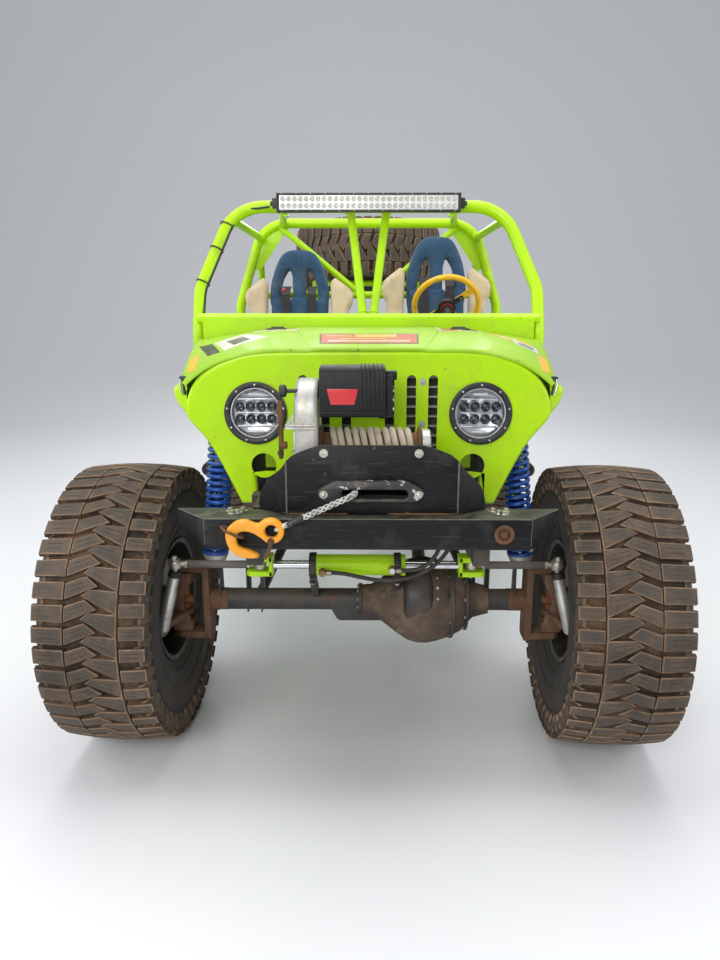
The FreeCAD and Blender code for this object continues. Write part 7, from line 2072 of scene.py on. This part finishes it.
for degrees in (38, 218, 308):
    turn = flat @ Matrix.Rotation(math.radians(degrees), 4, "Z") @ Matrix.Scale(0.918, 4)
    blade = [(0.062, -0.015), (0.1, -0.014), (0.135, -0.017), (0.162, -0.03), (0.166, -0.018), (0.168, 0.0),
             (0.166, 0.018), (0.162, 0.03), (0.135, 0.017), (0.1, 0.014), (0.062, 0.015)]
    steer.add(plate(blade, [ring_of(0.13, 0, 0.008, 20)], 0.005), wheel_yellow,
              move=turn @ Matrix.Translation((0, 0, -0.01)))
    arm = [(0.0, -0.02), (0.04, -0.017), (0.098, -0.012), (0.104, 0.0), (0.098, 0.012), (0.04, 0.017),
           (0.0, 0.02)]
    steer.add(plate(arm, [], 0.006), black_plastic, move=turn @ Matrix.Translation((0, 0, -0.0165)))
    steer.add(bolt(turn @ Vector((0.088, 0, -0.0195)), -COLUMN, 0.01, 0.004, washer=False), zinc)
steer.add(turned([(-0.04, 0.0), (-0.04, 0.024), (-0.036, 0.026), (-0.028, 0.026), (-0.026, 0.043),
                  (-0.01, 0.0448), (-0.004, 0.043), (-0.001, 0.036), (-0.001, 0.0)], WHEEL_CENTRE, COLUMN,
                 40), black_plastic)
steer.add(turned([(-0.036, 0.0262), (-0.036, 0.03), (-0.03, 0.03), (-0.03, 0.0262)], WHEEL_CENTRE, COLUMN, 32,
                 closed=True), buckle_red)
steer.done("wheel_and_hub", "steering_wheel", "wheel_rim", ["steering_wheel"], smooth=35)

# Steering column: a black tube in a split clamp under the dash.
column_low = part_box("steering_column")[0]
column = Piece()
long_way = (WHEEL_CENTRE.y - column_low[1]) / COLUMN.y
column.add(swept([WHEEL_CENTRE - COLUMN * (long_way - 0.012), WHEEL_CENTRE - COLUMN * 0.12,
                  WHEEL_CENTRE - COLUMN * 0.116, WHEEL_CENTRE - COLUMN * 0.041], 0.019, 28,
                 radii=[0.016, 0.016, 0.0196, 0.0196]), black_plastic)
column.done("column_tube", "root", "black_paint", [], smooth=35)

# Body, frame and running gear behind: the folded tub and scuttle are painted lime, the frame and fittings
# black. They are welded sheet and tube, with oil and dried mud on the parts near the ground.
lime_dusty = finish_of("lime_dusty", LIME, 0.4, coat=0.15, vary=0.1, grain=40, bump=0.08, specular=0.35,
                       dirt=((0.3, 0.26, 0.13), 0.36, 5, 0.85), chips=((0.09, 0.08, 0.05), 0.12, 36, 0.8),
                       dust_up=((0.27, 0.22, 0.14), 0.8))
engine_dirty = finish_of("engine_dirty", (0.05, 0.047, 0.044), 0.55, metal=0.3, vary=0.35, grain=80, bump=0.5,
                         dirt=((0.14, 0.1, 0.07), 0.5, 8, 0.9), dust_up=((0.2, 0.16, 0.11), 0.6))
alloy_dirty = finish_of("alloy_dirty", (0.34, 0.33, 0.31), 0.52, metal=0.6, vary=0.25, grain=140, bump=0.4,
                        dirt=((0.17, 0.13, 0.09), 0.55, 9, 0.9), dust_up=((0.24, 0.19, 0.13), 0.6))
shaft_grey = finish_of("shaft_grey", (0.12, 0.11, 0.1), 0.55, metal=0.5, vary=0.3, grain=90, bump=0.3,
                       dirt=((0.2, 0.15, 0.1), 0.55, 12, 0.9), chips=((0.22, 0.09, 0.035), 0.3, 20, 0.85))
tank_alloy = finish_of("tank_alloy", (0.5, 0.5, 0.5), 0.36, metal=0.85, vary=0.12, grain=160, bump=0.12,
                       dirt=((0.26, 0.21, 0.15), 0.36, 6, 0.85), dust_up=((0.32, 0.27, 0.2), 0.6))
for node, finish in (("chassis_frame", frame_black), ("sill_rails", frame_black), ("body_tub", lime_dusty),
                     ("scuttle", lime_body), ("engine", engine_dirty), ("gearbox", alloy_dirty),
                     ("propshafts", shaft_grey), ("fuel_tank", tank_alloy),
                     ("steering_column", black_plastic)):
    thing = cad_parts[node]
    for place in thing.material_slots:
        place.link = "OBJECT"
        place.material = finish
